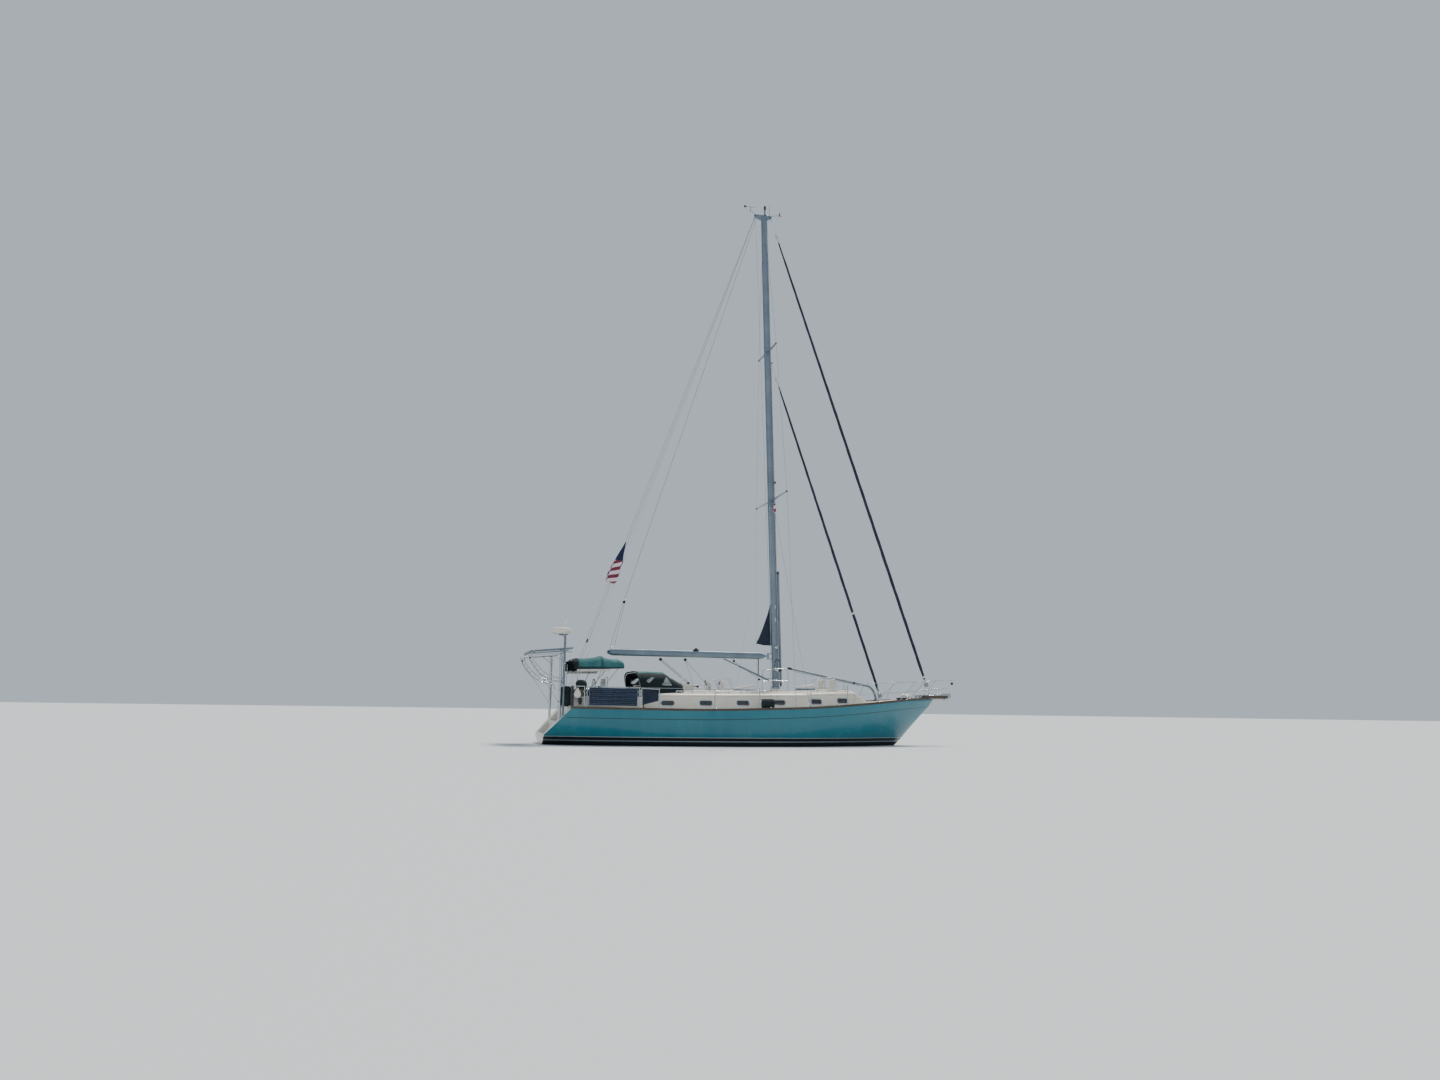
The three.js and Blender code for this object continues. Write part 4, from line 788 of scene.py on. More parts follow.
chainplates = Shape()
for x in (1.68, 2.13, 0.89):
    for side in (1, -1):
        y, z = side * (sheer_half(x) - 0.12), sheer_height(x)
        box(chainplates, (x - 0.03, y - 0.007, z + 0.01), (x + 0.03, y + 0.007, z + 0.09))
        box(chainplates, (x - 0.055, y - 0.035, z + 0.002), (x + 0.055, y + 0.035, z + 0.016))
box(chainplates, (5.24, -0.008, 1.38), (5.30, 0.008, 1.455))
box(chainplates, (5.20, -0.05, 1.385), (5.34, 0.05, 1.405))
box(chainplates, (-4.815, -0.008, 1.06), (-4.755, 0.008, 1.165))
box(chainplates, (-4.86, -0.05, 1.085), (-4.72, 0.05, 1.098))
flange(chainplates, (5.08, 0, 1.37), (0, 0, 1), 0.085, 0.012, 0.070, 0.030)
fit(softened(build(chainplates), 0.003), "chainplates", [stainless])


# Boarding steps. A moulded stair let into the transom and bonded there, with teak slats screwed down
# across each tread.
teak, tree, shader = surface("teak", (96, 72, 52), 0.66)
place = put(tree, "ShaderNodeTexCoord").outputs["Object"]
drawn_out = put(tree, "ShaderNodeMapping", links=[("Vector", place), ("Scale", (0.6, 9.0, 9.0))])
grain = put(tree, "ShaderNodeTexNoise", links=[
    ("Vector", drawn_out.outputs[0]), ("Scale", 16.0), ("Detail", 8.0), ("Distortion", 0.4),
])
marks = weathered(tree, 2.4, 9.0)
timber = blend_colours(
    tree, between(tree, grain.outputs["Fac"], 0.35, 0.65), paint(50, 38, 30), paint(88, 70, 54),
)
timber = stained(tree, timber, marks["Patches"], 0.5, 98, 94, 88)
tree.links.new(timber, shader.inputs["Base Color"])
bump(tree, shader, grain.outputs["Fac"], 0.001, 0.5)
stair = [
    (-5.622, 0.2903), (-5.2403, 0.2903), (-5.2403, 0.6403), (-4.8903, 0.6403), (-4.8903, 1.08), (-4.93, 1.08),
    (-4.93, 0.68), (-5.28, 0.68), (-5.28, 0.33), (-5.622, 0.33),
]
stair_shape = across(stair, steps_half - 0.0003)
for tread_z, fore, aft, count in ((0.33, -5.30, -5.60, 5), (0.68, -4.95, -5.27, 5)):
    for x in np.linspace(aft, fore, count + 1)[:-1]:
        box(
            stair_shape, (x, -0.78, tread_z - 0.004),
            (x + (fore - aft) / count - 0.012, 0.78, tread_z + 0.012), 1,
        )
fit(
    softened(build(stair_shape), 0.004), "moulded_steps", [moulding, teak],
    stands_for=["boarding_steps"],
)

# Toe rails. Long scarfed lengths of teak with a rounded top, bolted down along both sheers from the
# quarter to the bow platform, with a row of bolt heads let in.
toe_width, toe_height, platform_z = 0.045, 0.070, 1.50


def path_mesh(name, runs, out=None):
    """Lines of points as loose edges, for a node tree to follow. Out is a direction for each line."""
    mesh = bpy.data.meshes.new(name)
    points, edges, outward = [], [], []
    for index, run_points in enumerate(runs):
        first = len(points)
        points += [tuple(p) for p in run_points]
        edges += [(first + i, first + i + 1) for i in range(len(run_points) - 1)]
        outward += [out[index] if out else (0, 0, 1)] * len(run_points)
    mesh.from_pydata(points, edges, [])
    away = mesh.attributes.new("outward", "FLOAT_VECTOR", "POINT")
    away.data.foreach_set("vector", [c for direction in outward for c in direction])
    return mesh


def new_tree(name, inputs):
    """An empty node tree for geometry, with named inputs of a kind and a starting value."""
    tree = bpy.data.node_groups.new(name, "GeometryNodeTree")
    tree.interface.new_socket("Geometry", in_out="INPUT", socket_type="NodeSocketGeometry")
    for label, kind, start in inputs:
        socket = tree.interface.new_socket(label, in_out="INPUT", socket_type="NodeSocket" + kind)
        if start is not None:
            socket.default_value = start
    tree.interface.new_socket("Geometry", in_out="OUTPUT", socket_type="NodeSocketGeometry")
    return tree, put(tree, "NodeGroupInput").outputs


def last_nodes(tree, geometry, finish):
    """Every tree ends the same way: real meshes, with one finish."""
    real = put(tree, "GeometryNodeRealizeInstances", links=[("Geometry", geometry)])
    set_finish = put(tree, "GeometryNodeSetMaterial", links=[
        ("Geometry", real.outputs[0]), ("Material", finish),
    ])
    put(tree, "NodeGroupOutput", links=[("Geometry", set_finish.outputs[0])])


def grown(tree, path, values, crease=40):
    """The mesh that a tree makes from a path, with its inputs set by name."""
    host = placed("host", path)
    modifier = host.modifiers.new("Grow", "NODES")
    modifier.node_group = tree
    sockets = {s.name: s.identifier for s in tree.interface.items_tree if s.in_out == "INPUT"}
    for label, value in values.items():
        modifier[sockets[label]] = value
    made = bpy.data.meshes.new_from_object(host.evaluated_get(bpy.context.evaluated_depsgraph_get()))
    bpy.data.objects.remove(host)
    turner = bmesh.new()
    turner.from_mesh(made)
    bmesh.ops.recalc_face_normals(turner, faces=turner.faces)
    turner.to_mesh(made)
    turner.free()
    made.materials.clear()
    made.materials.append(values["Finish"])
    return smoothed(made, crease)


row_tree, given = new_tree("row_of_fittings", [
    ("Form", "Object", None), ("Spacing", "Float", 0.1), ("Finish", "Material", None),
])
line = put(row_tree, "GeometryNodeMeshToCurve", links=[("Mesh", given["Geometry"])])
spaced_out = put(row_tree, "GeometryNodeResampleCurve", links=[
    ("Curve", line.outputs[0]), ("Length", given["Spacing"]),
], mode="LENGTH")
away = put(row_tree, "GeometryNodeInputNamedAttribute", links=[("Name", "outward")], data_type="FLOAT_VECTOR")
facing_out = put(row_tree, "FunctionNodeAlignRotationToVector", links=[
    ("Vector", away.outputs["Attribute"]),
], axis="Z")
lined_up = put(row_tree, "FunctionNodeAlignRotationToVector", links=[
    ("Rotation", facing_out.outputs[0]), ("Vector", put(row_tree, "GeometryNodeInputTangent").outputs[0]),
], axis="X", pivot_axis="Z")
form = put(row_tree, "GeometryNodeObjectInfo", links=[("Object", given["Form"])])
copies = put(row_tree, "GeometryNodeInstanceOnPoints", links=[
    ("Points", spaced_out.outputs[0]), ("Instance", form.outputs["Geometry"]),
    ("Rotation", lined_up.outputs[0]),
])
last_nodes(row_tree, copies.outputs[0], given["Finish"])


def row_of(name, runs, form_shape, spacing, finish, out=None, crease=40):
    """A mesh of small fittings set out along lines."""
    pattern = placed("form", build(form_shape))
    made = grown(row_tree, path_mesh(name, runs, out), {
        "Form": pattern, "Spacing": spacing, "Finish": finish,
    }, crease)
    bpy.data.objects.remove(pattern)
    return made


both_sides = {"port": 1, "starboard": -1}
bolt_head = Shape()
turned(bolt_head, (0, 0, -0.002), (0, 0, 1), [
    (0.008, 0), (0.008, 0.003), (0.005, 0.0055), (0, 0.006),
], sides=8)
for name, side in both_sides.items():
    rail = Shape()
    rings = []
    top_line = []
    for x in [-4.925, *np.linspace(-4.86, 6.80, 96), 6.93]:
        outer = sheer_half(x)
        foot, head = sheer_height(x) - 0.002, sheer_height(x) + toe_height
        if outer < 0.205 + toe_width:
            head = min(head, platform_z - 0.001)
        ring = []
        for across_share, up_share in (
            (0, 0), (1, 0), (0.96, 0.55), (0.86, 0.86), (0.66, 1), (0.34, 1), (0.14, 0.86), (0.04, 0.55),
        ):
            ring.append((x, side * (outer - toe_width * across_share), foot + (head - foot) * up_share))
        rings.append(ring)
        if x < 6.5:
            top_line.append((x, side * (outer - toe_width / 2), head))
    skin(rail, rings)
    fit(build(rail), f"teak_toe_rail_{name}", [teak], stands_for=[f"toe_rail_{name}"])
    bolts = row_of("toe_bolts", [top_line], bolt_head, 0.24, stainless)
    fit(bolts, f"toe_rail_bolts_{name}", [stainless])

# Cabin sides. Two leaning walls of the deck moulding, each with six opening portlights of smoked glass
# in polished frames that are clamped round the holes from both sides.
portlights = [(-2.07, 1.230), (-0.93, 1.245), (0.20, 1.262), (1.35, 1.292), (2.64, 1.340), (3.56, 1.380)]
portlight_length, portlight_height, portlight_corner = 0.38, 0.15, 0.055


def rounded_outline(length, width, corner, steps=6):
    """A rectangle with round corners about the origin, anticlockwise."""
    outline = []
    for quarter, (side, end) in enumerate(((1, 1), (-1, 1), (-1, -1), (1, -1))):
        for turn in np.linspace(0, math.pi / 2, steps + 1) + quarter * math.pi / 2:
            outline.append((
                side * (length / 2 - corner) + corner * math.cos(turn),
                end * (width / 2 - corner) + corner * math.sin(turn),
            ))
    return outline


def on_wall(x, side, z, depth):
    """A point on the outside of the leaning wall, or a depth behind it."""
    half, top, _ = trunk_at(x)
    foot = sheer_height(x)
    return wall_point(x, side, trunk_lean * (z - foot) / (top + 0.03 - foot) + depth, z)


smoked, tree, shader, marks = drifting(
    (16, 22, 29), (34, 43, 52), (3.0, 9.0), "smoked_glass", (20, 27, 34), 0.07, Coat_Weight=0.6,
    Coat_Roughness=0.03,
)
roughened(tree, shader, marks["Specks"], 0.05, 0.12)

for name, side in both_sides.items():
    wall = Shape()
    rings = []
    for x in np.linspace(trunk_aft, trunk_fore, 90):
        half, top, _ = trunk_at(x)
        foot = deck_top(x, half) - 0.006
        rings.append([
            wall_point(x, side, 0, foot), wall_point(x, side, trunk_lean, top + 0.03),
            wall_point(x, side, trunk_lean + wall_thickness, top + 0.05),
            wall_point(x, side, wall_thickness, foot),
        ])
    skin(wall, rings)
    holes = []
    frames, panes = Shape(), Shape()
    for x, z in portlights:
        hole = rounded_outline(portlight_length, portlight_height, portlight_corner)
        holes.append(across([(x + u, z + v) for u, v in hole], 2.5))
        rim = []
        for grow, depth in (
            (0.024, 0.001), (0.021, -0.009), (0.004, -0.012), (-0.006, -0.006), (-0.006, 0.034),
            (0, 0.034),
        ):
            outline = rounded_outline(
                portlight_length + 2 * grow, portlight_height + 2 * grow, portlight_corner + grow,
            )
            rim.append([on_wall(x + u, side, z + v, depth) for u, v in outline])
        skin(frames, [*rim, rim[0]], ends=False)
        skin(panes, [[on_wall(x + u, side, z + v, depth) for u, v in hole] for depth in (0.014, 0.020)])
    fit(
        carved(build(wall), holes), f"cabin_side_wall_{name}", [moulding],
        stands_for=[f"cabin_side_{name}"],
    )
    fit(build(frames), f"portlight_frames_{name}", [stainless])
    fit(build(panes), f"portlight_panes_{name}", [smoked])

# Cabin roof. One cambered moulding over the walls with a rounded, overhanging rim and raised diamonds
# to walk on. It is cut for the companionway and for two hatches.
roof_rise, roof_camber, roof_overhang = 0.06, 0.11, 0.046
roof_aft, roof_fore = -2.79, trunk_fore


def roof_half(x):
    return along(trunk_plan, max(x, trunk_aft), 1) - roof_overhang


def roof_top(x, y=0.0):
    share = y / roof_half(x)
    return along(trunk_plan, max(x, trunk_aft), 2) + roof_rise + roof_camber * (1 - share * share)


def roof_outline(x):
    """Points over the roof from port to starboard, with the rounded rim at both ends."""
    half, edge = roof_half(x), along(trunk_plan, max(x, trunk_aft), 2)
    rim = []
    for turn in np.linspace(math.pi / 2, 0.15, 7):
        share = 0.94 + 0.066 * math.sin(turn)
        rim.append((share * half, edge + roof_rise * math.cos(turn) + roof_camber * (1 - min(share, 1) ** 2)))
    middle = [(s * half, roof_top(x, s * half)) for s in np.linspace(0.92, -0.92, 27)]
    return rim + middle + [(-y, z) for y, z in reversed(rim)]


def roof_ring(x):
    half, edge = roof_half(x), along(trunk_plan, max(x, trunk_aft), 2)
    under = [(s * half, edge + roof_camber * (1 - s * s)) for s in np.linspace(-0.98, 0.98, 15)]
    return [(x, y, z) for y, z in roof_outline(x) + under]


# Columns: aft edge x, length, width, angle as stored in degrees.
hatch_table = {"hatch_midship": (0.37, 0.62, 0.62, 10), "hatch_forward": (2.43, 0.50, 0.52, 12)}
hood_aft, hood_fore, hood_half, hood_top = -2.03, -1.18, 0.45, 1.805
companion_half = 0.33
frame_height = 0.04


def roof_tread(x, y):
    inset = min(roof_half(x) - abs(y) - 0.14, x - roof_aft - 0.09, 3.93 - x)
    inset = min(inset, max(hood_aft - 0.9 - x, x - hood_fore - 0.08, abs(y) - hood_half - 0.05))
    for aft, length, width, _ in hatch_table.values():
        inset = min(inset, max(aft - 0.06 - x, x - aft - length - 0.06, abs(y) - width / 2 - 0.06))
    inset = min(inset, max(abs(x - 1.70) - 0.27, abs(y) - 0.23))
    return min(max(0.5 + inset / 0.02, 0), 1)


roof = Shape()
skin(roof, [roof_ring(x) for x in np.linspace(roof_aft, roof_fore, 100)])
roof_holes = [upright([
    (aft + 0.04, 0.04 - width / 2), (aft + length - 0.04, 0.04 - width / 2),
    (aft + length - 0.04, width / 2 - 0.04), (aft + 0.04, width / 2 - 0.04),
], 1.0, 2.2) for aft, length, width, _ in hatch_table.values()]
roof_holes.append(upright([
    (-2.9, -companion_half), (hood_aft, -companion_half), (hood_aft, companion_half), (-2.9, companion_half),
], 1.0, 2.2))
roof_mesh = finer(carved(build(roof), roof_holes), 0.07, 1.5)
tread_attribute(roof_mesh, roof_tread)
fit(roof_mesh, "cambered_roof", [deck_finish], stands_for=["cabin_roof"])

# The sloping front of the cabin carries the roof's rounded shoulders down to the foredeck.
front = Shape()
rings = []
foot_height = sheer_height(front_foot_x)
roof_end = roof_outline(roof_fore)
for share in np.linspace(0, 1, 18):
    x = roof_fore + (front_foot_x - roof_fore) * share
    half = 0.90 + (front_foot_half - 0.90) * share
    narrowing = half / 0.90
    fall = share - 0.035 * math.sin(2 * math.pi * share)
    ring = [(x, half, deck_top(x, half) - 0.006)]
    for y, z in roof_end:
        low = foot_height + 0.07 + 0.03 * (1 - (y / 0.90) ** 2)
        ring.append((x, y * narrowing, z + (low - z) * fall))
    rings.append([*ring, (x, -half, deck_top(x, half) - 0.006)])
skin(front, rings)
fit(build(front, crease=45), "sloping_front", [moulding], stands_for=["cabin_front"])

# The aft end of the cabin is a flat bulkhead with teak trim round the way below.
bulkhead = Shape()
low_half = along(trunk_plan, trunk_aft, 1) - wall_thickness - 0.008
high_half = low_half - trunk_lean
skin(bulkhead, [[
    (x, -low_half, 1.02), (x, low_half, 1.02), (x, high_half, 1.43),
    *[(x, s * high_half, 1.43 + roof_camber * (1 - s * s)) for s in np.linspace(0.95, -0.95, 15)],
    (x, -high_half, 1.43),
] for x in (-2.745, -2.690)])
sill = 1.11
way_below = across([(-2.9, sill), (-2.5, sill), (-2.5, 2.0), (-2.9, 2.0)], companion_half)
fit(
    softened(carved(build(bulkhead), [way_below]), 0.004), "aft_bulkhead", [moulding],
    stands_for=["cabin_aft_bulkhead"],
)
trim = Shape()
for side in (1, -1):
    inner, outer = sorted((side * (companion_half - 0.004), side * (companion_half + 0.045)))
    box(trim, (-2.762, inner, sill), (-2.744, outer, 1.54))
box(trim, (-2.785, -companion_half - 0.045, sill - 0.03), (-2.685, companion_half + 0.045, sill + 0.004))
fit(softened(build(trim), 0.004), "companionway_trim", [teak])

# Companionway cover. A hood over the fore end of the roof opening, two runners, and a moulded slab
# with a teak grip that slides forward under the hood.
hood = across([
    (hood_aft, 1.56), (hood_fore + 0.19, 1.56), (hood_fore + 0.19, 1.66), (hood_fore + 0.09, hood_top),
    (hood_aft, hood_top),
], hood_half)
hood_hollow = Shape()
box(hood_hollow, (hood_aft - 0.05, -0.40, 1.70), (-1.23, 0.40, 1.77))
fit(softened(carved(build(hood), [hood_hollow]), 0.018, segments=3), "companionway_hood", [moulding])
runners = Shape()
for side in (1, -1):
    inner, outer = sorted((side * 0.342, side * 0.385))
    box(runners, (-2.77, inner, 1.53), (-2.01, outer, 1.712))
fit(softened(build(runners), 0.004), "hatch_runners", [teak])


def layered(shape, middle, size, corner, layers, finish=0, steps=6):
    """A body of rounded rectangles one over another. Layers list the inset and height of each."""
    skin(shape, [[
        (middle[0] + u, middle[1] + v, middle[2] + height) for u, v in rounded_outline(
            size[0] - 2 * inset, size[1] - 2 * inset, max(corner - inset, 0.003), steps,
        )
    ] for inset, height in layers], finish)


def framed(shape, middle, size, corner, section, finish=0):
    """A rounded rectangular frame. The section lists inset and height, going round."""
    rings = [[
        (middle[0] + u, middle[1] + v, middle[2] + height)
        for u, v in rounded_outline(size[0] - 2 * inset, size[1] - 2 * inset, max(corner - inset, 0.006))
    ] for inset, height in section]
    skin(shape, [*rings, rings[0]], finish, ends=False)


slab = Shape()
layered(slab, (-2.42, 0, 1.718), (0.76, 0.78), 0.05, [
    (0.004, 0), (0, 0.006), (0, 0.026), (0.006, 0.034), (0.03, 0.038), (0.12, 0.044), (0.30, 0.048),
])
box(slab, (-2.79, -0.20, 1.752), (-2.765, 0.20, 1.778), 1)
fit(
    build(slab), "sliding_hatch", [moulding, teak], "slider", ["companionway_hatch"],
)

# Deck hatches. Alloy frames bedded on the roof, and crowned white lids hinged on the aft edge, left a
# hand's width open as in the photo, with two hinges and two catches each.
spar_alloy, tree, shader = surface("spar_alloy", (138, 150, 160), 0.42, 0.75)
marks = weathered(tree, 1.6, 5.0)
brushed = put(tree, "ShaderNodeMapping", links=[
    ("Vector", put(tree, "ShaderNodeTexCoord").outputs["Object"]), ("Scale", (60.0, 60.0, 1.2)),
])
drawn_lines = put(tree, "ShaderNodeTexNoise", links=[
    ("Vector", brushed.outputs[0]), ("Scale", 4.0), ("Detail", 2.0),
])
tree.links.new(
    blend_colours(tree, marks["Patches"], paint(112, 126, 138), paint(129, 142, 153)),
    shader.inputs["Base Color"],
)
tree.links.new(between(tree, drawn_lines.outputs["Fac"], 0.3, 0.7, 0.36, 0.5), shader.inputs["Roughness"])
rubber = drifting((18, 20, 22), (40, 42, 43), (6.0, 8.0), "black_rubber", (22, 24, 26), 0.7)[0]


def raised(shape, hinge, angle):
    """Turns all points of a shape up about an athwartships hinge line on their aft side."""
    turn = math.radians(angle)
    x0, _, z0 = hinge
    shape.points = [(
        x0 + (x - x0) * math.cos(turn) - (z - z0) * math.sin(turn), y,
        z0 + (x - x0) * math.sin(turn) + (z - z0) * math.cos(turn),
    ) for x, y, z in shape.points]


for name, (aft, length, width, angle) in hatch_table.items():
    floor_height = max(roof_top(aft), roof_top(aft + length))
    middle = (aft + length / 2, 0, floor_height)
    rim = Shape()
    framed(rim, middle, (length, width), 0.05, [
        (0, -0.09), (0, 0.030), (0.008, frame_height), (0.036, frame_height), (0.044, 0.030), (0.044, -0.09),
    ])
    framed(rim, middle, (length + 0.06, width + 0.06), 0.06, [
        (0, -0.05), (0, -0.004), (0.004, 0), (0.03, 0), (0.03, -0.05),
    ])
    for y in (-width / 4, width / 4):
        tube(rim, [
            (aft - 0.012, y - 0.03, floor_height + 0.03), (aft - 0.012, y + 0.03, floor_height + 0.03),
        ], 0.012)
    fit(build(rim), f"{name}_rim", [spar_alloy])
    lid = Shape()
    lid_foot = floor_height + frame_height + 0.005
    layered(lid, (aft + length / 2, 0, lid_foot), (length, width), 0.06, [
        (0.002, 0), (0, 0.004), (0, 0.022), (0.006, 0.032), (0.025, 0.040), (0.10, 0.047), (0.22, 0.050),
    ])
    layered(
        lid, (aft + length / 2, 0, lid_foot), (length - 0.10, width - 0.10), 0.04,
        [(0, -0.004), (0, 0.002)], 1,
    )
    for y in (-width / 4, width / 4):
        box(lid, (aft + 0.003, y - 0.022, lid_foot - 0.004), (aft + 0.05, y + 0.022, lid_foot + 0.004), 2)
        turned(lid, (aft + length - 0.06, y, lid_foot + 0.042), (0, 0, 1), [
            (0.018, -0.01), (0.018, 0.006), (0, 0.009),
        ], 2, 16)
    raised(lid, (aft, 0, floor_height + frame_height), angle)
    fit(
        build(lid), f"{name}_lid", [moulding, rubber, stainless], name.replace("hatch", "lid"),
        [name],
    )

hood_lid = Shape()
lid_hinge = (-1.42, 0, 1.825)
layered(hood_lid, (-1.28, 0, 1.830), (0.28, 0.30), 0.04, [
    (0.002, 0), (0, 0.004), (0, 0.014), (0.005, 0.020), (0.02, 0.024), (0.09, 0.027),
])
layered(hood_lid, (-1.28, 0, 1.830), (0.22, 0.24), 0.03, [(0, -0.004), (0, 0.002)], 1)
raised(hood_lid, lid_hinge, 48)
fit(build(hood_lid), "hood_vent_lid", [moulding, rubber], "lid_hood", ["hood_lid"])
lid_frame = Shape()
framed(lid_frame, (-1.28, 0, hood_top), (0.28, 0.30), 0.035, [
    (0, -0.012), (0, 0.014), (0.005, 0.020), (0.022, 0.020), (0.027, 0.014), (0.027, -0.012),
])
fit(build(lid_frame), "hood_lid_frame", [spar_alloy])

# Ventilators. Water-trap boxes moulded on the roof, flared plastic cowls that plug into them, and a
# bent stainless guard over each, which keeps sheets from catching.
# Near black standing for the shaded hollows inside the cowls and the mast: painted shade.
painted_shade_inside = drifting((20, 19, 20), (38, 36, 35), (8.0, 9.0), "painted_shade_inside", (26, 24, 24), 0.85)[0]
boxes, cowls, guards = Shape(), Shape(), Shape()
for vent_x, vent_y, facing in ((-0.18, -0.80, -1), (-0.18, 0.80, -1), (3.31, -0.50, 1), (3.31, 0.50, 1)):
    base = roof_top(vent_x) - roof_camber * (vent_y / along(trunk_plan, vent_x, 1)) ** 2
    layered(boxes, (vent_x, vent_y, base), (0.38, 0.21), 0.05, [
        (-0.012, -0.06), (-0.012, -0.005), (0, 0.012), (0.004, 0.105), (0.012, 0.122), (0.03, 0.130),
    ])
    neck = vent_x + facing * 0.06
    line = eased([
        (neck, vent_y, base + 0.12), (neck, vent_y, base + 0.17),
        (neck - facing * 0.004, vent_y, base + 0.215), (neck + facing * 0.012, vent_y, base + 0.258),
        (neck + facing * 0.052, vent_y, base + 0.277), (neck + facing * 0.105, vent_y, base + 0.285),
    ], 3)
    girth = np.interp(np.linspace(0, 1, len(line)), [0, 0.2, 0.45, 0.7, 0.88, 1], [
        0.05, 0.05, 0.058, 0.072, 0.086, 0.098,
    ])
    tube(cowls, line, girth, 0, 24)
    tube(cowls, [line[-1], line[-1] + Vector((facing * 0.006, 0, 0.0005))], [0.099, 0.097], 0, 24)
    # A near-black disc closes each cowl's mouth: painted shade for its hollow inside.
    turned(cowls, line[-1] + Vector((facing * 0.0065, 0, 0)), (facing, 0, 0.15), [
        (0.086, -0.001), (0.086, 0.0005), (0.05, -0.0002), (0, -0.0005),
    ], 1, 24)
    for shift in (-0.115, 0.115):
        tube(guards, eased([(vent_x + out, vent_y + shift, base + rise) for out, rise in (
            (-0.20, -0.02), (-0.19, 0.24), (-0.10, 0.385), (0.10, 0.385), (0.19, 0.24), (0.20, -0.02),
        )], 5), 0.009, 0, 10)
    tube(guards, [
        (vent_x, vent_y - 0.115, base + 0.398), (vent_x, vent_y + 0.115, base + 0.398),
    ], 0.008, 0, 8)
fit(build(boxes), "ventilator_boxes", [moulding])
fit(build(cowls), "ventilator_cowls", [moulding, painted_shade_inside])
fit(build(guards), "ventilator_guards", [stainless])

# Handrails of polished tube along both edges of the roof, on short feet, bolted through.
rails = Shape()
for side in (1, -1):
    for feet, half_out in (
        ((-1.66, -1.29, -0.91, -0.54, -0.17, 0.20, 0.56, 0.93), 0.20), ((2.77, 3.11, 3.42, 3.74), 0.17),
    ):
        top_line = []
        for x in np.linspace(feet[0] - 0.10, feet[-1] + 0.10, 40):
            y = side * (roof_half(x) - half_out)
            top_line.append((x, y, roof_top(x, y) + 0.062))
        ends = [top_line[0], top_line[-1]]
        drop = [(p[0] + d, p[1], p[2] - 0.066) for p, d in zip(ends, (-0.035, 0.035))]
        tube(rails, [drop[0], *top_line, drop[1]], 0.0125, 0, 10)
        for x in feet:
            y = side * (roof_half(x) - half_out)
            turned(rails, (x, y, roof_top(x, y) - 0.006), (0, 0, 1), [
                (0.030, 0), (0.030, 0.010), (0.014, 0.018), (0.011, 0.06), (0, 0.062),
            ], 0, 16)
fit(build(rails), "roof_handrails", [stainless])

# Mainsheet traveller. An alloy track on two moulded stools across the roof ahead of the hood, with a
# car on rollers, and winches and rope clutches ahead of it.
traveller_x, traveller_half, track_height = -1.03, 0.80, 1.745
stools, track = Shape(), Shape()
for side in (1, -1):
    y = side * (traveller_half - 0.09)
    base = roof_top(traveller_x, y)
    layered(stools, (traveller_x, y, base), (0.26, 0.20), 0.05, [
        (-0.015, -0.03), (-0.012, 0), (0, 0.02), (0.012, track_height - base - 0.045),
        (0.03, track_height - base - 0.028),
    ])
box(
    track, (traveller_x - 0.03, -traveller_half, track_height - 0.030),
    (traveller_x + 0.03, traveller_half, track_height - 0.004),
)
box(
    track, (traveller_x - 0.016, -traveller_half, track_height - 0.004),
    (traveller_x + 0.016, traveller_half, track_height + 0.014),
)
for side in (1, -1):
    y = side * traveller_half
    box(
        track, (traveller_x - 0.034, y - 0.02, track_height - 0.034),
        (traveller_x + 0.034, y + 0.02, track_height + 0.020), 1,
    )
sheet_foot_y = 0.42
layered(track, (traveller_x, sheet_foot_y, track_height), (0.075, 0.17), 0.02, [
    (0.004, -0.002), (0, 0.004), (0, 0.028), (0.008, 0.036), (0.02, 0.038),
], 2)
fit(softened(build(stools), 0.003), "traveller_stools", [moulding])
fit(softened(build(track), 0.002), "mainsheet_traveller", [spar_alloy, rubber, stainless])


def winch(shape, base, radius, height, finish=0, jaws=1):
    """A self-tailing winch standing on a base point."""
    turned(shape, base, (0, 0, 1), [
        (radius, 0), (radius, 0.06 * height), (radius * 0.86, 0.14 * height), (radius * 0.74, 0.34 * height),
        (radius * 0.72, 0.52 * height), (radius * 0.80, 0.66 * height), (radius * 0.97, 0.74 * height),
        (radius * 0.97, 0.78 * height), (radius * 0.6, 0.81 * height), (radius * 0.6, 0.85 * height),
        (radius * 0.95, 0.88 * height), (radius * 0.93, 0.93 * height), (radius * 0.42, 0.96 * height),
        (radius * 0.30, height), (0, height),
    ], finish, 32)
    turned(shape, Vector(base) + up(0.785 * height), (0, 0, 1), [
        (radius * 0.92, 0), (radius * 0.92, 0.018 * height), (0, 0.018 * height),
    ], jaws, 32)


roof_winches, clutches = Shape(), Shape()
for side in (1, -1):
    winch(roof_winches, (-0.62, side * 0.60, roof_top(-0.62, 0.60) - 0.002), 0.062, 0.135)
    for step in range(4):
        clutch_y = side * (0.46 + 0.045 * step)
        base = roof_top(-0.20, clutch_y)
        layered(clutches, (-0.22, clutch_y, base), (0.17, 0.036), 0.012, [
            (0, -0.006), (0, 0.030), (0.006, 0.042),
        ])
        box(clutches, (-0.27, clutch_y - 0.010, base + 0.040), (-0.16, clutch_y + 0.010, base + 0.056), 1)
tube(roof_winches, [
    (-0.62, -0.60, 1.80), (-0.62, -0.60, 1.84), (-0.70, -0.66, 1.85), (-0.78, -0.71, 1.85),
], 0.011)
turned(roof_winches, (-0.78, -0.71, 1.845), (0, 0, 1), [
    (0.018, 0), (0.020, 0.05), (0.017, 0.09), (0, 0.098),
], 1, 16)
fit(build(roof_winches), "roof_winches", [stainless, rubber])
fit(softened(build(clutches), 0.002), "rope_clutches", [rubber, stainless])

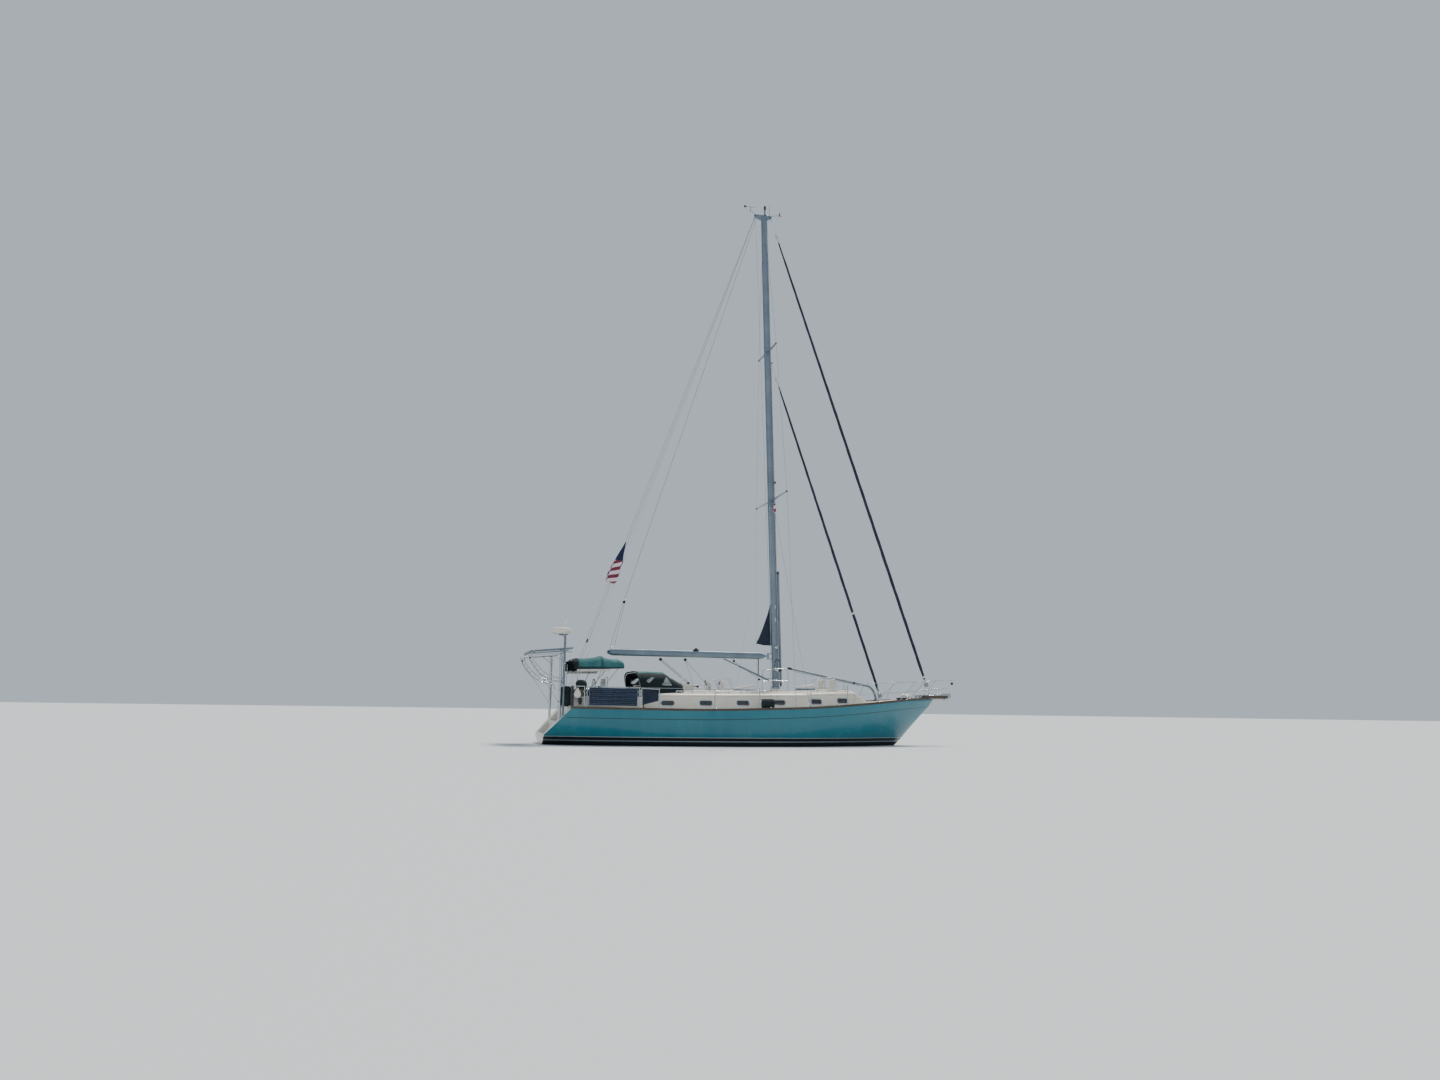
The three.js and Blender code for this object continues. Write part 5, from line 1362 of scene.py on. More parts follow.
# Cockpit. Moulded coamings round the seats, teak slats on the seats and a teak grating in the well,
# and a pair of sheet winches bolted down along each coaming.
coaming_inner, coaming_outer, coaming_top = 1.10, 1.31, 1.40
coaming_aft, coaming_fore, coaming_foot = -4.85, -2.80, 1.02
coaming_middle = (coaming_inner + coaming_outer) / 2
sole_height = 0.60
cockpit_winches, slats = Shape(), Shape()
for name, side in both_sides.items():
    wall = Shape()
    rings = []
    for x, top in zip(
        (*np.linspace(coaming_aft, coaming_aft + 0.5, 9), -3.4, coaming_fore),
        (
            *(coaming_top - 0.06 * (1 - math.sin(t * math.pi / 2)) for t in np.linspace(0, 1, 9)),
            coaming_top, coaming_top,
        ),
    ):
        rings.append([
            (x, side * (coaming_inner - 0.03), coaming_foot),
            (x, side * (coaming_outer + 0.03), coaming_foot),
            (x, side * coaming_outer, top), (x, side * coaming_inner, top),
        ])
    skin(wall, rings)
    inner, outer = sorted((side * 0.33, side * (coaming_inner + 0.02)))
    box(wall, (coaming_aft + 0.003, inner, coaming_foot), (coaming_aft + 0.11, outer, 1.21))
    fit(
        softened(build(wall), 0.028, 40, 4), f"coaming_{name}", [moulding],
        stands_for=[f"cockpit_coaming_{name}"],
    )
    winch(cockpit_winches, (-3.56, side * coaming_middle, coaming_top - 0.004), 0.09, 0.174)
    winch(cockpit_winches, (-4.53, side * coaming_middle, coaming_top - 0.030), 0.07, 0.158)
    for y in np.arange(0.47, 1.03, 0.052):
        box(slats, (-4.40, side * y - 0.022, 1.055), (-2.94, side * y + 0.022, deck_top(-3.7, y) + 0.010))
for x in np.arange(-4.38, -2.94, 0.075):
    box(slats, (x, -0.38, sole_height - 0.002), (x + 0.040, 0.38, sole_height + 0.018))
for y in np.arange(-0.36, 0.37, 0.09):
    box(slats, (-4.38, y - 0.012, sole_height - 0.002), (-2.95, y + 0.012, sole_height + 0.020))
fit(build(cockpit_winches), "cockpit_winches", [stainless, rubber])
fit(softened(build(slats), 0.003), "cockpit_teak", [teak])

# Steering pedestal. A turned moulded column with a compass on a shelf, an instrument pod above it with
# blank dark screens, and a bent guard rail in front to hold on to.


def peg(shape, foot, direction, radius, length, finish=0, sides=28):
    """A plain round peg, plate or band from a foot point."""
    turned(shape, foot, direction, [(radius, 0), (radius, length), (0, length)], finish, sides)


pedestal_x = -3.84
pedestal = Shape()
turned(pedestal, (pedestal_x, 0, sole_height + 0.0003), (0, 0, 1), [
    (0.120, 0), (0.120, 0.012), (0.105, 0.040), (0.094, 0.10), (0.080, 0.30), (0.075, 0.42),
    (0.075, 0.85), (0, 0.85),
])
layered(pedestal, (pedestal_x + 0.005, 0, 1.43), (0.23, 0.34), 0.05, [
    (0.03, 0), (0.004, 0.03), (0, 0.05), (0, 0.18), (0.006, 0.20), (0.03, 0.21),
])
layered(pedestal, (pedestal_x + 0.05, 0, 1.64), (0.080, 0.40), 0.030, [
    (0.006, -0.01), (0, 0.02), (0, 0.25), (0.006, 0.275), (0.018, 0.290),
])
peg(pedestal, (-4.01, 0, 1.48), (1, 0, 0), 0.022, 0.12)
for y in (-0.12, 0.0, 0.12):
    face = [
        (pedestal_x + 0.008, y + u, 1.795 + v)
        for u, v in rounded_outline(0.10, 0.20 if y == 0 else 0.10, 0.012)
    ]
    skin(pedestal, [face, [(p[0] - 0.004, p[1], p[2]) for p in face]], 1)
turned(pedestal, (pedestal_x - 0.03, 0, 1.635), (0, 0, 1), [
    (0.075, 0), (0.075, 0.018), (0.064, 0.024), (0.058, 0.05), (0.040, 0.075), (0.015, 0.086), (0, 0.087),
], 1)
fit(
    build(pedestal), "pedestal_and_pod", [moulding, smoked],
    stands_for=["steering_pedestal"],
)
guard = Shape()
tube(guard, eased([
    (-3.66, -0.21, sole_height), (-3.66, -0.21, 1.30), (-3.68, -0.21, 1.88), (-3.68, -0.16, 1.975),
    (-3.68, 0.16, 1.975), (-3.68, 0.21, 1.88), (-3.66, 0.21, 1.30), (-3.66, 0.21, sole_height),
], 6), 0.0125)
for y in (-0.21, 0.21):
    flange(guard, (-3.66, y, sole_height), (0, 0, 1), 0.035, 0.006, 0.015, 0.012, 0, 16)
fit(build(guard), "pedestal_guard", [stainless])


def hoop(shape, centre, first, second, radius, thickness, finish=0, count=24, sides=8):
    """A closed ring of round section about a centre, in the plane of two directions."""
    tube(shape, [
        Vector(centre) + (Vector(first) * math.cos(a) + Vector(second) * math.sin(a)) * radius
        for a in turns(count)
    ], thickness, finish, sides, loop=True)


wheel_centre, wheel_radius = Vector((-4.06, 0, 1.48)), 0.43
wheel = Shape()
hoop(wheel, wheel_centre, (0, 0, 1), (0, 1, 0), wheel_radius, 0.0145, 0, 72, 12)
for a in turns(6):
    away = Vector((0, math.sin(a), math.cos(a)))
    tube(wheel, [
        wheel_centre + away * 0.03, wheel_centre + away * (wheel_radius - 0.008),
    ], [0.010, 0.0075], 0, 10)
turned(wheel, wheel_centre - Vector((0.03, 0, 0)), (1, 0, 0), [
    (0, -0.004), (0.026, 0), (0.034, 0.006), (0.054, 0.012), (0.055, 0.03), (0.045, 0.074), (0, 0.075),
], 0, 24)
tube(wheel, [
    wheel_centre + Vector((0, math.sin(a), math.cos(a))) * wheel_radius for a in np.linspace(-0.22, 0.22, 12)
], 0.0165, 1, 12)
fit(build(wheel), "steering_wheel_rim", [stainless, rubber], "wheel", ["steering_wheel"])

# Mast. A tapered alloy extrusion on a step on the roof, with a slot up its aft face for the rolled
# mainsail, two pairs of foil spreaders, tangs, brackets and a masthead crane.
mast_foot, mast_head = Vector((1.70, 0, 1.735)), Vector((1.196, 0, 17.43))
mast_fore, mast_side = 0.110, 0.075


def mast_at(z):
    share = (z - mast_foot.z) / (mast_head.z - mast_foot.z)
    return mast_foot.x + (mast_head.x - mast_foot.x) * share


mast_top, cap_tang, lower_tang = 17.47, 17.29, 7.56
# Columns: height of a pair of spreaders, and how far they reach.
spreaders = [(7.72, 1.59), (12.69, 0.93)]
mast = Shape()
rings = []
for z, scale in [*((z, 1.0) for z in np.linspace(mast_foot.z, 15.0, 14)), (16.2, 0.955), (mast_head.z, 0.90)]:
    ring = []
    for turn in np.linspace(-math.pi, math.pi, 49)[:-1]:
        depth = 0.020 if abs(turn) > math.pi - 0.20 else 0
        ring.append((
            mast_at(z) + (mast_fore * scale - depth) * math.cos(turn), mast_side * scale * math.sin(turn), z,
        ))
    rings.append(ring)
skin(mast, rings)
for z, tip in spreaders:
    for side in (1, -1):
        rings = []
        for share in np.linspace(0, 1, 9):
            y = 0.02 + (tip - 0.02) * share
            half, thick = 0.062 - 0.028 * share, 0.017 - 0.005 * share
            rings.append([(
                mast_at(z) + half * math.cos(a), side * y, z + y * 0.02 + thick * math.sin(a),
            ) for a in turns(20)])
        skin(mast, rings)
        turned(mast, (mast_at(z), side * (tip - 0.03), z + tip * 0.02), (0, side, 0.02), [
            (0.030, 0), (0.036, 0.015), (0.034, 0.030), (0, 0.032),
        ], 1, 16)
        box(mast, (mast_at(z) - 0.075, min(side * 0.05, side * 0.13), z - 0.028), (
            mast_at(z) + 0.075, max(side * 0.05, side * 0.13), z + 0.030,
        ))
crane = [
    (0.86, 17.37), (0.86, mast_top), (1.46, mast_top), (1.46, 17.38), (1.29, cap_tang), (1.06, cap_tang),
]
skin(mast, [[(x, y, z) for x, z in crane] for y in (-0.032, 0.032)])
for x in (0.90, 1.42):
    peg(mast, (x, -0.040, 17.42), (0, 1, 0), 0.026, 0.08, 1, 20)
box(mast, (mast_at(cap_tang) - 0.025, -0.095, 17.27), (mast_at(cap_tang) + 0.025, 0.095, 17.30))
box(mast, (mast_at(lower_tang) - 0.09, -0.11, 7.54), (mast_at(lower_tang) + 0.09, 0.11, 7.575))
box(mast, (mast_at(12.34), -0.012, 12.325), (mast_at(12.34) + 0.175, 0.012, 12.385))
for drop in (0.070, -0.100):
    box(mast, (1.402, -0.034, 2.745 + drop), (mast_at(2.745), 0.034, 2.771 + drop))
vang_pivot = Vector((1.4639, 0, 2.0))
for drop in (0.045, -0.060):
    box(mast, (vang_pivot.x - 0.03, -0.026, 2.0 + drop), (mast_at(2.0), 0.026, 2.016 + drop))
fit(
    softened(build(mast), 0.003, 50), "mast_and_spreaders", [spar_alloy, rubber],
    stands_for=["mast"],
)
step = Shape()
layered(step, (1.70, 0, 1.56), (0.40, 0.32), 0.05, [
    (-0.01, 0), (-0.006, 0.06), (0, 0.08), (0.004, 0.150), (0.02, 0.166),
])
layered(step, (1.70, 0, 1.726), (0.30, 0.22), 0.06, [(0, 0), (0, 0.006), (0.004, 0.0085)], 1)
layered(step, (1.70, 0, 1.735), (0.27, 0.19), 0.085, [(0, 0), (0, 0.05), (0.008, 0.062)], 1)
fit(build(step), "mast_step", [moulding, spar_alloy])
# A near-black strip at the back of the mast's slot: painted shade for the hollow inside the mast.
slot = Shape()
skin(slot, [[
    (mast_at(z) - mast_fore * s + 0.010, -0.011, z), (mast_at(z) - mast_fore * s + 0.010, 0.011, z),
    (mast_at(z) - mast_fore * s + 0.022, 0.011, z), (mast_at(z) - mast_fore * s + 0.022, -0.011, z),
] for z, s in ((2.95, 1.0), (15.0, 1.0), (17.2, 0.91))])
fit(build(slot), "mainsail_slot", [painted_shade_inside])

# Gear on the mast. Winches on pads, cleats and halyard exits low down, a steaming light, and at the
# head an all-round light, a wind vane and cup wheel, and an aerial.


def sideways(distance):
    return Vector((0, distance, 0))


gear = Shape()
for side in (1, -1):
    for z, radius, length in ((2.32, 0.052, 0.115), (3.02, 0.045, 0.10)):
        at = Vector((mast_at(z), side * (mast_side - 0.006), z))
        turned(gear, at, (0, side, 0), [(0.058, -0.012), (0.058, 0.014), (0.050, 0.020), (0, 0.020)], 0, 24)
        turned(gear, at + sideways(side * 0.018), (0, side, 0), [
            (radius, 0), (radius, 0.1 * length), (radius * 0.74, 0.35 * length),
            (radius * 0.76, 0.7 * length),
            (radius, 0.85 * length), (radius, 0.92 * length), (radius * 0.3, length), (0, length),
        ], 1, 28)
    for z in (2.62, 2.80, 3.28):
        at = Vector((mast_at(z) + 0.03, side * (mast_side - 0.004), z))
        tube(gear, [
            at + Vector((0, side * 0.028, -0.07)), at + Vector((0, side * 0.028, 0.07)),
        ], [0.006, 0.006], 1, 8)
        tube(gear, [at, at + sideways(side * 0.028)], 0.010, 1, 8)
    for z in (3.9, 4.3):
        at = Vector((mast_at(z) + 0.02, side * (mast_side - 0.008), z))
        exit_plate = [(at.x + u, at.y, at.z + v) for u, v in rounded_outline(0.036, 0.13, 0.017)]
        skin(gear, [exit_plate, [(p[0], p[1] + side * 0.016, p[2]) for p in exit_plate]], 1)
lamp_z = 8.35
turned(gear, (mast_at(lamp_z) + 0.095, 0, lamp_z), (1, 0, -0.1), [
    (0.035, 0), (0.045, 0.03), (0.045, 0.07), (0.03, 0.085), (0, 0.088),
], 2, 20)
turned(gear, (1.23, 0, mast_top), (0, 0, 1), [
    (0.05, 0), (0.05, 0.012), (0.020, 0.02), (0.020, 0.20), (0.038, 0.22), (0.038, 0.31), (0.018, 0.345),
    (0, 0.35),
], 2, 20)
turned(gear, (1.40, 0.014, mast_top), (0, 0, 1), [(0.008, 0), (0.006, 0.25), (0.003, 0.42), (0, 0.422)], 0, 8)
tube(gear, [(1.42, 0, mast_top), (1.75, 0, mast_top + 0.09)], [0.011, 0.008], 0, 10)
flange(gear, (1.75, 0, mast_top + 0.05), (0, 0, 1), 0.016, 0.10, 0.008, 0.13, 2, 14)
for a in turns(3):
    cup = Vector((1.75 + 0.055 * math.cos(a), 0.055 * math.sin(a), mast_top + 0.055))
    tube(gear, [Vector((1.75, 0, mast_top + 0.055)), cup], 0.003, 2, 6)
    turned(gear, cup, (-math.sin(a), math.cos(a), 0), [
        (0.018, 0), (0.017, 0.008), (0.010, 0.018), (0, 0.021),
    ], 2, 12)
tube(gear, [(0.88, 0, mast_top), (0.72, 0, mast_top + 0.12)], 0.007, 0, 8)
turned(gear, (0.72, 0, mast_top + 0.08), (0, 0, 1), [(0.010, 0), (0.010, 0.18), (0, 0.19)], 0, 10)
tube(gear, [(0.52, 0, mast_top + 0.24), (0.94, 0, mast_top + 0.24)], 0.005, 0, 8)
skin(gear, [
    [
        (0.50, y, mast_top + 0.19), (0.50, y, mast_top + 0.29), (0.60, y, mast_top + 0.25),
        (0.60, y, mast_top + 0.23),
    ]
    for y in (-0.002, 0.002)
], 2)
fit(build(gear), "mast_gear", [spar_alloy, stainless, rubber])
bars = Shape()
for side in (1, -1):
    y = side * 0.45
    tube(bars, eased([
        (1.40, y, 1.60), (1.40, y, 2.20), (1.47, y, 2.33), (1.88, y, 2.33), (1.95, y, 2.20), (1.95, y, 1.60),
    ], 6), 0.0125)
    tube(bars, [(1.40, y, 1.97), (1.95, y, 1.97)], 0.0125)
    for x in (1.40, 1.95):
        flange(bars, (x, y, roof_top(x, y) - 0.008), (0, 0, 1), 0.038, 0.014, 0.016, 0.022, 0, 16)
fit(build(bars), "mast_hand_bars", [stainless])

# Wires and ropes are drawn along paths by one tree: a round section swept along each line, with its
# corners eased.
rod_tree, given = new_tree("round_rods", [
    ("Radius", "Float", 0.005), ("Bend", "Float", 0.02), ("Sides", "Int", 8), ("Finish", "Material", None),
])
line = put(rod_tree, "GeometryNodeMeshToCurve", links=[("Mesh", given["Geometry"])])
rounded = put(rod_tree, "GeometryNodeFilletCurve", links=[
    ("Curve", line.outputs[0]), ("Radius", given["Bend"]), ("Count", 6), ("Limit Radius", True),
], mode="POLY")
circle = put(rod_tree, "GeometryNodeCurvePrimitiveCircle", links=[
    ("Resolution", given["Sides"]), ("Radius", given["Radius"]),
], mode="RADIUS")
swept = put(rod_tree, "GeometryNodeCurveToMesh", links=[
    ("Curve", rounded.outputs[0]), ("Profile Curve", circle.outputs[0]), ("Fill Caps", True),
])
last_nodes(rod_tree, swept.outputs[0], given["Finish"])


def rods(name, runs, radius, finish, bend=0.03, sides=8):
    return grown(rod_tree, path_mesh(name, runs), {
        "Radius": radius, "Bend": bend, "Sides": sides, "Finish": finish,
    })


def joined(meshes):
    """One mesh from several, each keeping its own finishes in order."""
    holder = bmesh.new()
    finishes = []
    for mesh in meshes:
        first = len(finishes)
        before = len(holder.faces)
        holder.from_mesh(mesh)
        holder.faces.ensure_lookup_table()
        for face in holder.faces[before:]:
            face.material_index += first
        finishes += list(mesh.materials) or [None]
    result = bpy.data.meshes.new("joined")
    holder.to_mesh(result)
    holder.free()
    for one in finishes:
        result.materials.append(one)
    return smoothed(result, 40), finishes


def in_steel(meshes):
    """One mesh from several that are all of stainless steel."""
    mesh, _ = joined(meshes)
    mesh.polygons.foreach_set("material_index", [0] * len(mesh.polygons))
    return mesh


def turnbuckle(shape, foot, head, length):
    """A rigging screw: a fork with its pin, an open body and a swaged end on the wire."""
    along_wire = (Vector(head) - Vector(foot)).normalized()
    turned(shape, foot, along_wire, [
        (0.010, 0), (0.012, 0.01), (0.012, 0.05), (0.007, 0.06), (0.007, 0.26 * length),
        (0.012, 0.30 * length), (0.013, 0.34 * length), (0.013, 0.62 * length), (0.011, 0.66 * length),
        (0.007, 0.69 * length), (0.007, 0.80 * length), (0.010, 0.82 * length), (0.009, length),
        (0.005, length + 0.01), (0, length + 0.01),
    ], 0, 16)


wire_radius = 0.0055


def stay_piece(points, node, screw=0.38):
    wires = rods("wire", [points], wire_radius, stainless, 0.0, 8)
    fittings = Shape()
    turnbuckle(fittings, points[0], points[1], screw)
    away = (Vector(points[-2]) - Vector(points[-1])).normalized()
    turned(fittings, points[-1], away, [
        (0.008, -0.01), (0.011, 0.0), (0.011, 0.05), (0.007, 0.12), (0, 0.12),
    ], 0, 12)
    for at in points[1:-1]:
        peg(fittings, Vector(at) - up(0.02), (0, 0, 1), 0.011, 0.04, 0, 12)
    fit(in_steel([wires, build(fittings)]), f"{node}_wire", [stainless], stands_for=[node])


def plate_top(x, side):
    """Where a shroud meets its plate on the deck."""
    return x, side * (sheer_half(x) - 0.12), sheer_height(x) + 0.0943


for name, side in both_sides.items():
    tips = [(mast_at(z), side * (tip + 0.01), z + tip * 0.02) for z, tip in spreaders]
    stay_piece([plate_top(1.68, side), *tips, (mast_at(cap_tang), side * 0.084, 17.26)], f"cap_shroud_{name}")
    for lower, plate_x, off in (("forward", 2.13, 0.072), ("aft", 0.89, -0.072)):
        head = (mast_at(lower_tang) + off, side * 0.098, 7.53)
        stay_piece([plate_top(plate_x, side), head], f"{lower}_lower_{name}")
stay_piece([(-4.78, 0, 1.18), (0.885, 0, 17.35)], "backstay", 0.50)

# Running rigging led up the mast. Halyards of braided rope run down both of its faces, and their tails
# hang in coils beside the winches.
rope, tree, shader = surface("braided_rope", (168, 170, 166), 0.9)
marks = weathered(tree, 10.0, 10.0)
strands = put(tree, "ShaderNodeTexWave", links=[
    ("Scale", 60.0), ("Distortion", 1.5),
], bands_direction="DIAGONAL")
fibre = blend_colours(tree, marks["Patches"], paint(150, 152, 150), paint(188, 189, 184))
tree.links.new(
    blend_colours(tree, sums(tree, "MULTIPLY", strands.outputs["Fac"], 0.4), fibre, paint(96, 100, 108)),
    shader.inputs["Base Color"],
)
dark_rope = drifting((34, 42, 56), (66, 74, 88), (10.0, 10.0), "dark_rope", (44, 52, 66), 0.9)[0]
halyards = []
for y, top, x_off, low in (
    (0.045, 17.30, 0.104, 2.40), (-0.045, 17.30, 0.104, 2.40), (-0.030, 12.2, 0.122, 2.70),
    (0.030, 12.2, 0.122, 2.70),
):
    halyards.append([(mast_at(top) + x_off, y, top), (mast_at(low) + x_off, y * 1.3, low)])
halyards.append([(0.90, -0.02, 17.38), (mast_at(3.2) - mast_fore - 0.03, -0.05, 3.2)])
fit(rods("halyards", halyards, 0.005, rope, 0, 8), "mast_halyards", [rope])
coils = Shape()
for side in (1, -1):
    for index, drop in enumerate((0, 0.012, 0.024, 0.036, 0.048)):
        centre = Vector((mast_at(2.5) + 0.035, side * (mast_side + 0.030 + 0.012 * (index % 2)), 2.50 - drop))
        tube(coils, [
            centre + Vector((
                0.075 * math.sin(a) * (1 + 0.05 * index), side * 0.010 * math.sin(3 * a + index),
                0.17 * math.cos(a),
            )) for a in turns(28)
        ], 0.0065, index % 2, 8, loop=True)
fit(build(coils), "halyard_coils", [rope, dark_rope])

# Furling headsails. Each sail is rolled on a turning foil over its stay, inside its navy sun strip,
# with a drum for the furling line at its foot and a swivel at its head.
navy_cloth, tree, shader = surface("navy_cloth", (18, 27, 46), 0.92)
shader.inputs["Sheen Weight"].default_value = 0.25
marks = weathered(tree, 2.2, 8.0)
weave = bpy.data.node_groups.new("weave", "ShaderNodeTree")
weave.interface.new_socket("Count", in_out="INPUT", socket_type="NodeSocketFloat").default_value = 400.0
weave.interface.new_socket("Threads", in_out="OUTPUT", socket_type="NodeSocketFloat")
entry = put(weave, "NodeGroupInput")
place = put(weave, "ShaderNodeTexCoord").outputs["Object"]
threads = [
    put(weave, "ShaderNodeTexWave", links=[
        ("Vector", place), ("Scale", entry.outputs["Count"]),
    ], bands_direction=way)
    for way in ("X", "Z")
]
put(weave, "NodeGroupOutput", links=[
    ("Threads", sums(weave, "ADD", *(sums(weave, "MULTIPLY", t.outputs["Fac"], 0.5) for t in threads))),
])


def cloth_bump(tree, shader, count, depth, folds=6.0):
    """Threads and soft creases for a woven finish."""
    node = put(tree, "ShaderNodeGroup", node_tree=weave)
    node.inputs["Count"].default_value = count
    creases = put(tree, "ShaderNodeTexNoise", links=[("Scale", folds), ("Detail", 3.0), ("Distortion", 0.8)])
    relief = sums(tree, "ADD", sums(tree, "MULTIPLY", node.outputs[0], 0.25), creases.outputs["Fac"])
    bump(tree, shader, relief, depth, 0.6)


cloth = blend_colours(tree, marks["Patches"], paint(15, 23, 41), paint(30, 41, 62))
tree.links.new(
    stained(tree, cloth, marks["Runs"], 0.25, 60, 70, 86),
    shader.inputs["Base Color"],
)
cloth_bump(tree, shader, 260.0, 0.004, 5.0)
sailcloth, tree, shader, marks = drifting(
    (204, 202, 194), (224, 223, 217), (2.0, 6.0), "sailcloth", (214, 212, 204), 0.85,
)
cloth_bump(tree, shader, 260.0, 0.003, 5.0)


def furler(foot, head, drum_z, roll, swivel_z, body, node, band_z):
    foot, head = Vector(foot), Vector(head)
    direction = (head - foot).normalized()

    def reach(z):
        return (z - foot.z) / direction.z

    drum = reach(drum_z)
    parts = Shape()
    turned(parts, foot, direction, [
        (0, drum - 0.075), (0.068, drum - 0.075), (0.074, drum - 0.068), (0.090, drum - 0.062),
        (0.092, drum - 0.056), (0.090, drum - 0.050), (0.060, drum - 0.044), (0.060, drum + 0.040),
        (0.090, drum + 0.046), (0.092, drum + 0.052), (0.090, drum + 0.058), (0.040, drum + 0.072),
        (0.030, drum + 0.10), (0, drum + 0.10),
    ], 3, 32)
    side = direction.orthogonal().normalized()
    other = direction.cross(side)
    for turn in range(9):
        hoop(parts, foot + direction * (drum - 0.036 + 0.009 * turn), side, other, 0.063, 0.0048, 2)
    pitch, lip = 0.85, 0.14
    rings = []
    for z in np.linspace(roll[0][0], roll[-1][0], 150):
        radius = np.interp(z, [r[0] for r in roll], [r[1] for r in roll])
        ring = []
        for a in turns(24):
            wrap = ((a - 2 * math.pi * z / pitch) / (2 * math.pi)) % 1
            swell = radius * (1 - lip * wrap) + 0.0015 * math.sin(9 * z + 2 * a)
            ring.append(foot + direction * reach(z) + (side * math.cos(a) + other * math.sin(a)) * swell)
        rings.append(ring)
    skin(parts, rings, 0)
    radius = np.interp(band_z, [r[0] for r in roll], [r[1] for r in roll])
    turned(parts, foot + direction * reach(band_z), direction, [
        (radius * 0.9, -0.03), (radius + 0.004, -0.028), (radius + 0.004, 0.028), (radius * 0.9, 0.03),
        (0, 0.03),
    ], 1, 24)
    turned(parts, foot + direction * reach(roll[0][0]), direction, [
        (0.020, -0.10), (0.026, -0.04), (roll[0][1] * 0.8, 0.01), (0, 0.012),
    ], 1, 20)
    swivel = reach(swivel_z)
    turned(parts, foot, direction, [
        (0.018, reach(roll[-1][0]) - 0.1), (0.018, swivel - 0.07), (0.040, swivel - 0.066),
        (0.044, swivel - 0.05), (0.044, swivel - 0.01), (0.036, swivel), (0.044, swivel + 0.01),
        (0.044, swivel + 0.055), (0.022, swivel + 0.072), (0, swivel + 0.075),
    ], 3, 24)
    fit(build(parts), f"{node}_roll", [navy_cloth, sailcloth, rope, stainless], body, [node])


forestay, inner_stay = ((6.99, 0, 1.63), (1.44, 0, 17.362)), ((5.27, 0, 1.47), (1.492, 0, 12.315))
furler(*forestay, 1.96, [
    (2.12, 0.034), (2.50, 0.052), (6.0, 0.056), (11.0, 0.050), (15.5, 0.038), (16.56, 0.024),
], 16.76, "genoa", "genoa_furler", 2.20)
furler(*inner_stay, 1.58, [
    (1.72, 0.034), (2.05, 0.048), (6.0, 0.050), (10.5, 0.038), (11.56, 0.024),
], 11.80, "staysail", "staysail_furler", 4.20)
for (foot, head), z_from, node in (
    (forestay, 16.84, "forestay_head"), (inner_stay, 11.88, "inner_stay_head"),
):
    direction = (Vector(head) - Vector(foot)).normalized()
    low = Vector(foot) + direction * ((z_from - foot[2]) / direction.z)
    length = (Vector(head) - low).length
    piece = Shape()
    turned(piece, low, direction, [
        (wire_radius, 0), (wire_radius, length - 0.1), (0.011, length - 0.09), (0.011, length), (0, length),
    ], 0, 12)
    fit(build(piece), f"{node}_rod", [stainless], stands_for=[node])
foot, head = [Vector(end) for end in inner_stay]
direction = (head - foot).normalized()
length = (1.505 - foot.z) / direction.z
piece = Shape()
turned(piece, foot, direction, [(0.012, -0.012), (0.013, 0), (0.013, length), (0, length)], 0, 16)
peg(piece, foot - sideways(0.018), (0, 1, 0), 0.008, 0.036, 0, 12)
fit(build(piece), "inner_stay_foot_rod", [stainless], stands_for=["inner_stay_foot"])

# Main boom. A deep alloy extrusion on a gooseneck, with an outhaul car on its track, a rigid vang and
# its tackle below, sheaves in a cast end, and bails for the sheet.
gooseneck = Vector((1.44, 0, 2.745))
boom_side, boom_depth, boom_end = 0.065, 0.105, -3.68


def boom_ring(x, scale, width=1.0):
    ring = []
    for a in turns(36):
        c, s = math.cos(a), math.sin(a)
        ring.append((
            x, width * boom_side * math.copysign(abs(c) ** 0.72, c),
            gooseneck.z + scale * boom_depth * math.copysign(abs(s) ** 0.82, s),
        ))
    return ring


boom = Shape()
skin(boom, [boom_ring(x, s, w) for x, s, w in (
    (boom_end + 0.16, 0.98, 1.0), (boom_end + 0.20, 1.0, 1.0), (-1.5, 1.0, 1.0), (0.0, 1.0, 1.0),
    (1.18, 1.0, 1.0), (1.27, 0.66, 0.9), (1.33, 0.45, 0.8),
)])
skin(boom, [boom_ring(x, s, w) for x, s, w in (
    (boom_end, 0.46, 0.8), (boom_end + 0.05, 0.62, 0.92), (boom_end + 0.12, 0.88, 0.98),
    (boom_end + 0.19, 1.02, 1.04), (boom_end + 0.205, 0.97, 0.99),
)], 1)
peg(boom, (1.44, 0, gooseneck.z - 0.072), (0, 0, 1), 0.026, 0.14, 1, 24)
peg(boom, (1.44, 0, gooseneck.z - 0.082), (0, 0, 1), 0.012, 0.165, 2, 16)
box(boom, (1.29, -0.020, gooseneck.z - 0.024), (1.44, 0.020, gooseneck.z + 0.024), 1)
box(
    boom, (-3.30, -0.014, gooseneck.z + boom_depth - 0.006),
    (1.10, 0.014, gooseneck.z + boom_depth + 0.008), 0,
)
vang_head = Vector((-0.08, 0, gooseneck.z - boom_depth + 0.015))
vang_foot = Vector((vang_pivot.x, 0, vang_pivot.z - 0.008))
vang_line = (vang_head - vang_foot).normalized()
vang_length = (vang_head - vang_foot).length
turned(boom, vang_foot, vang_line, [
    (0.020, 0.02), (0.030, 0.05), (0.030, 0.60 * vang_length), (0.034, 0.605 * vang_length),
    (0.034, 0.63 * vang_length), (0.020, 0.635 * vang_length), (0.020, vang_length - 0.03), (0, vang_length),
], 0, 24)
peg(boom, (vang_pivot.x, 0, vang_pivot.z - 0.042), (0, 0, 1), 0.020, 0.085, 2, 20)
box(
    boom, (-0.16, -0.022, gooseneck.z - boom_depth - 0.022),
    (0.0, 0.022, gooseneck.z - boom_depth + 0.012), 2,
)
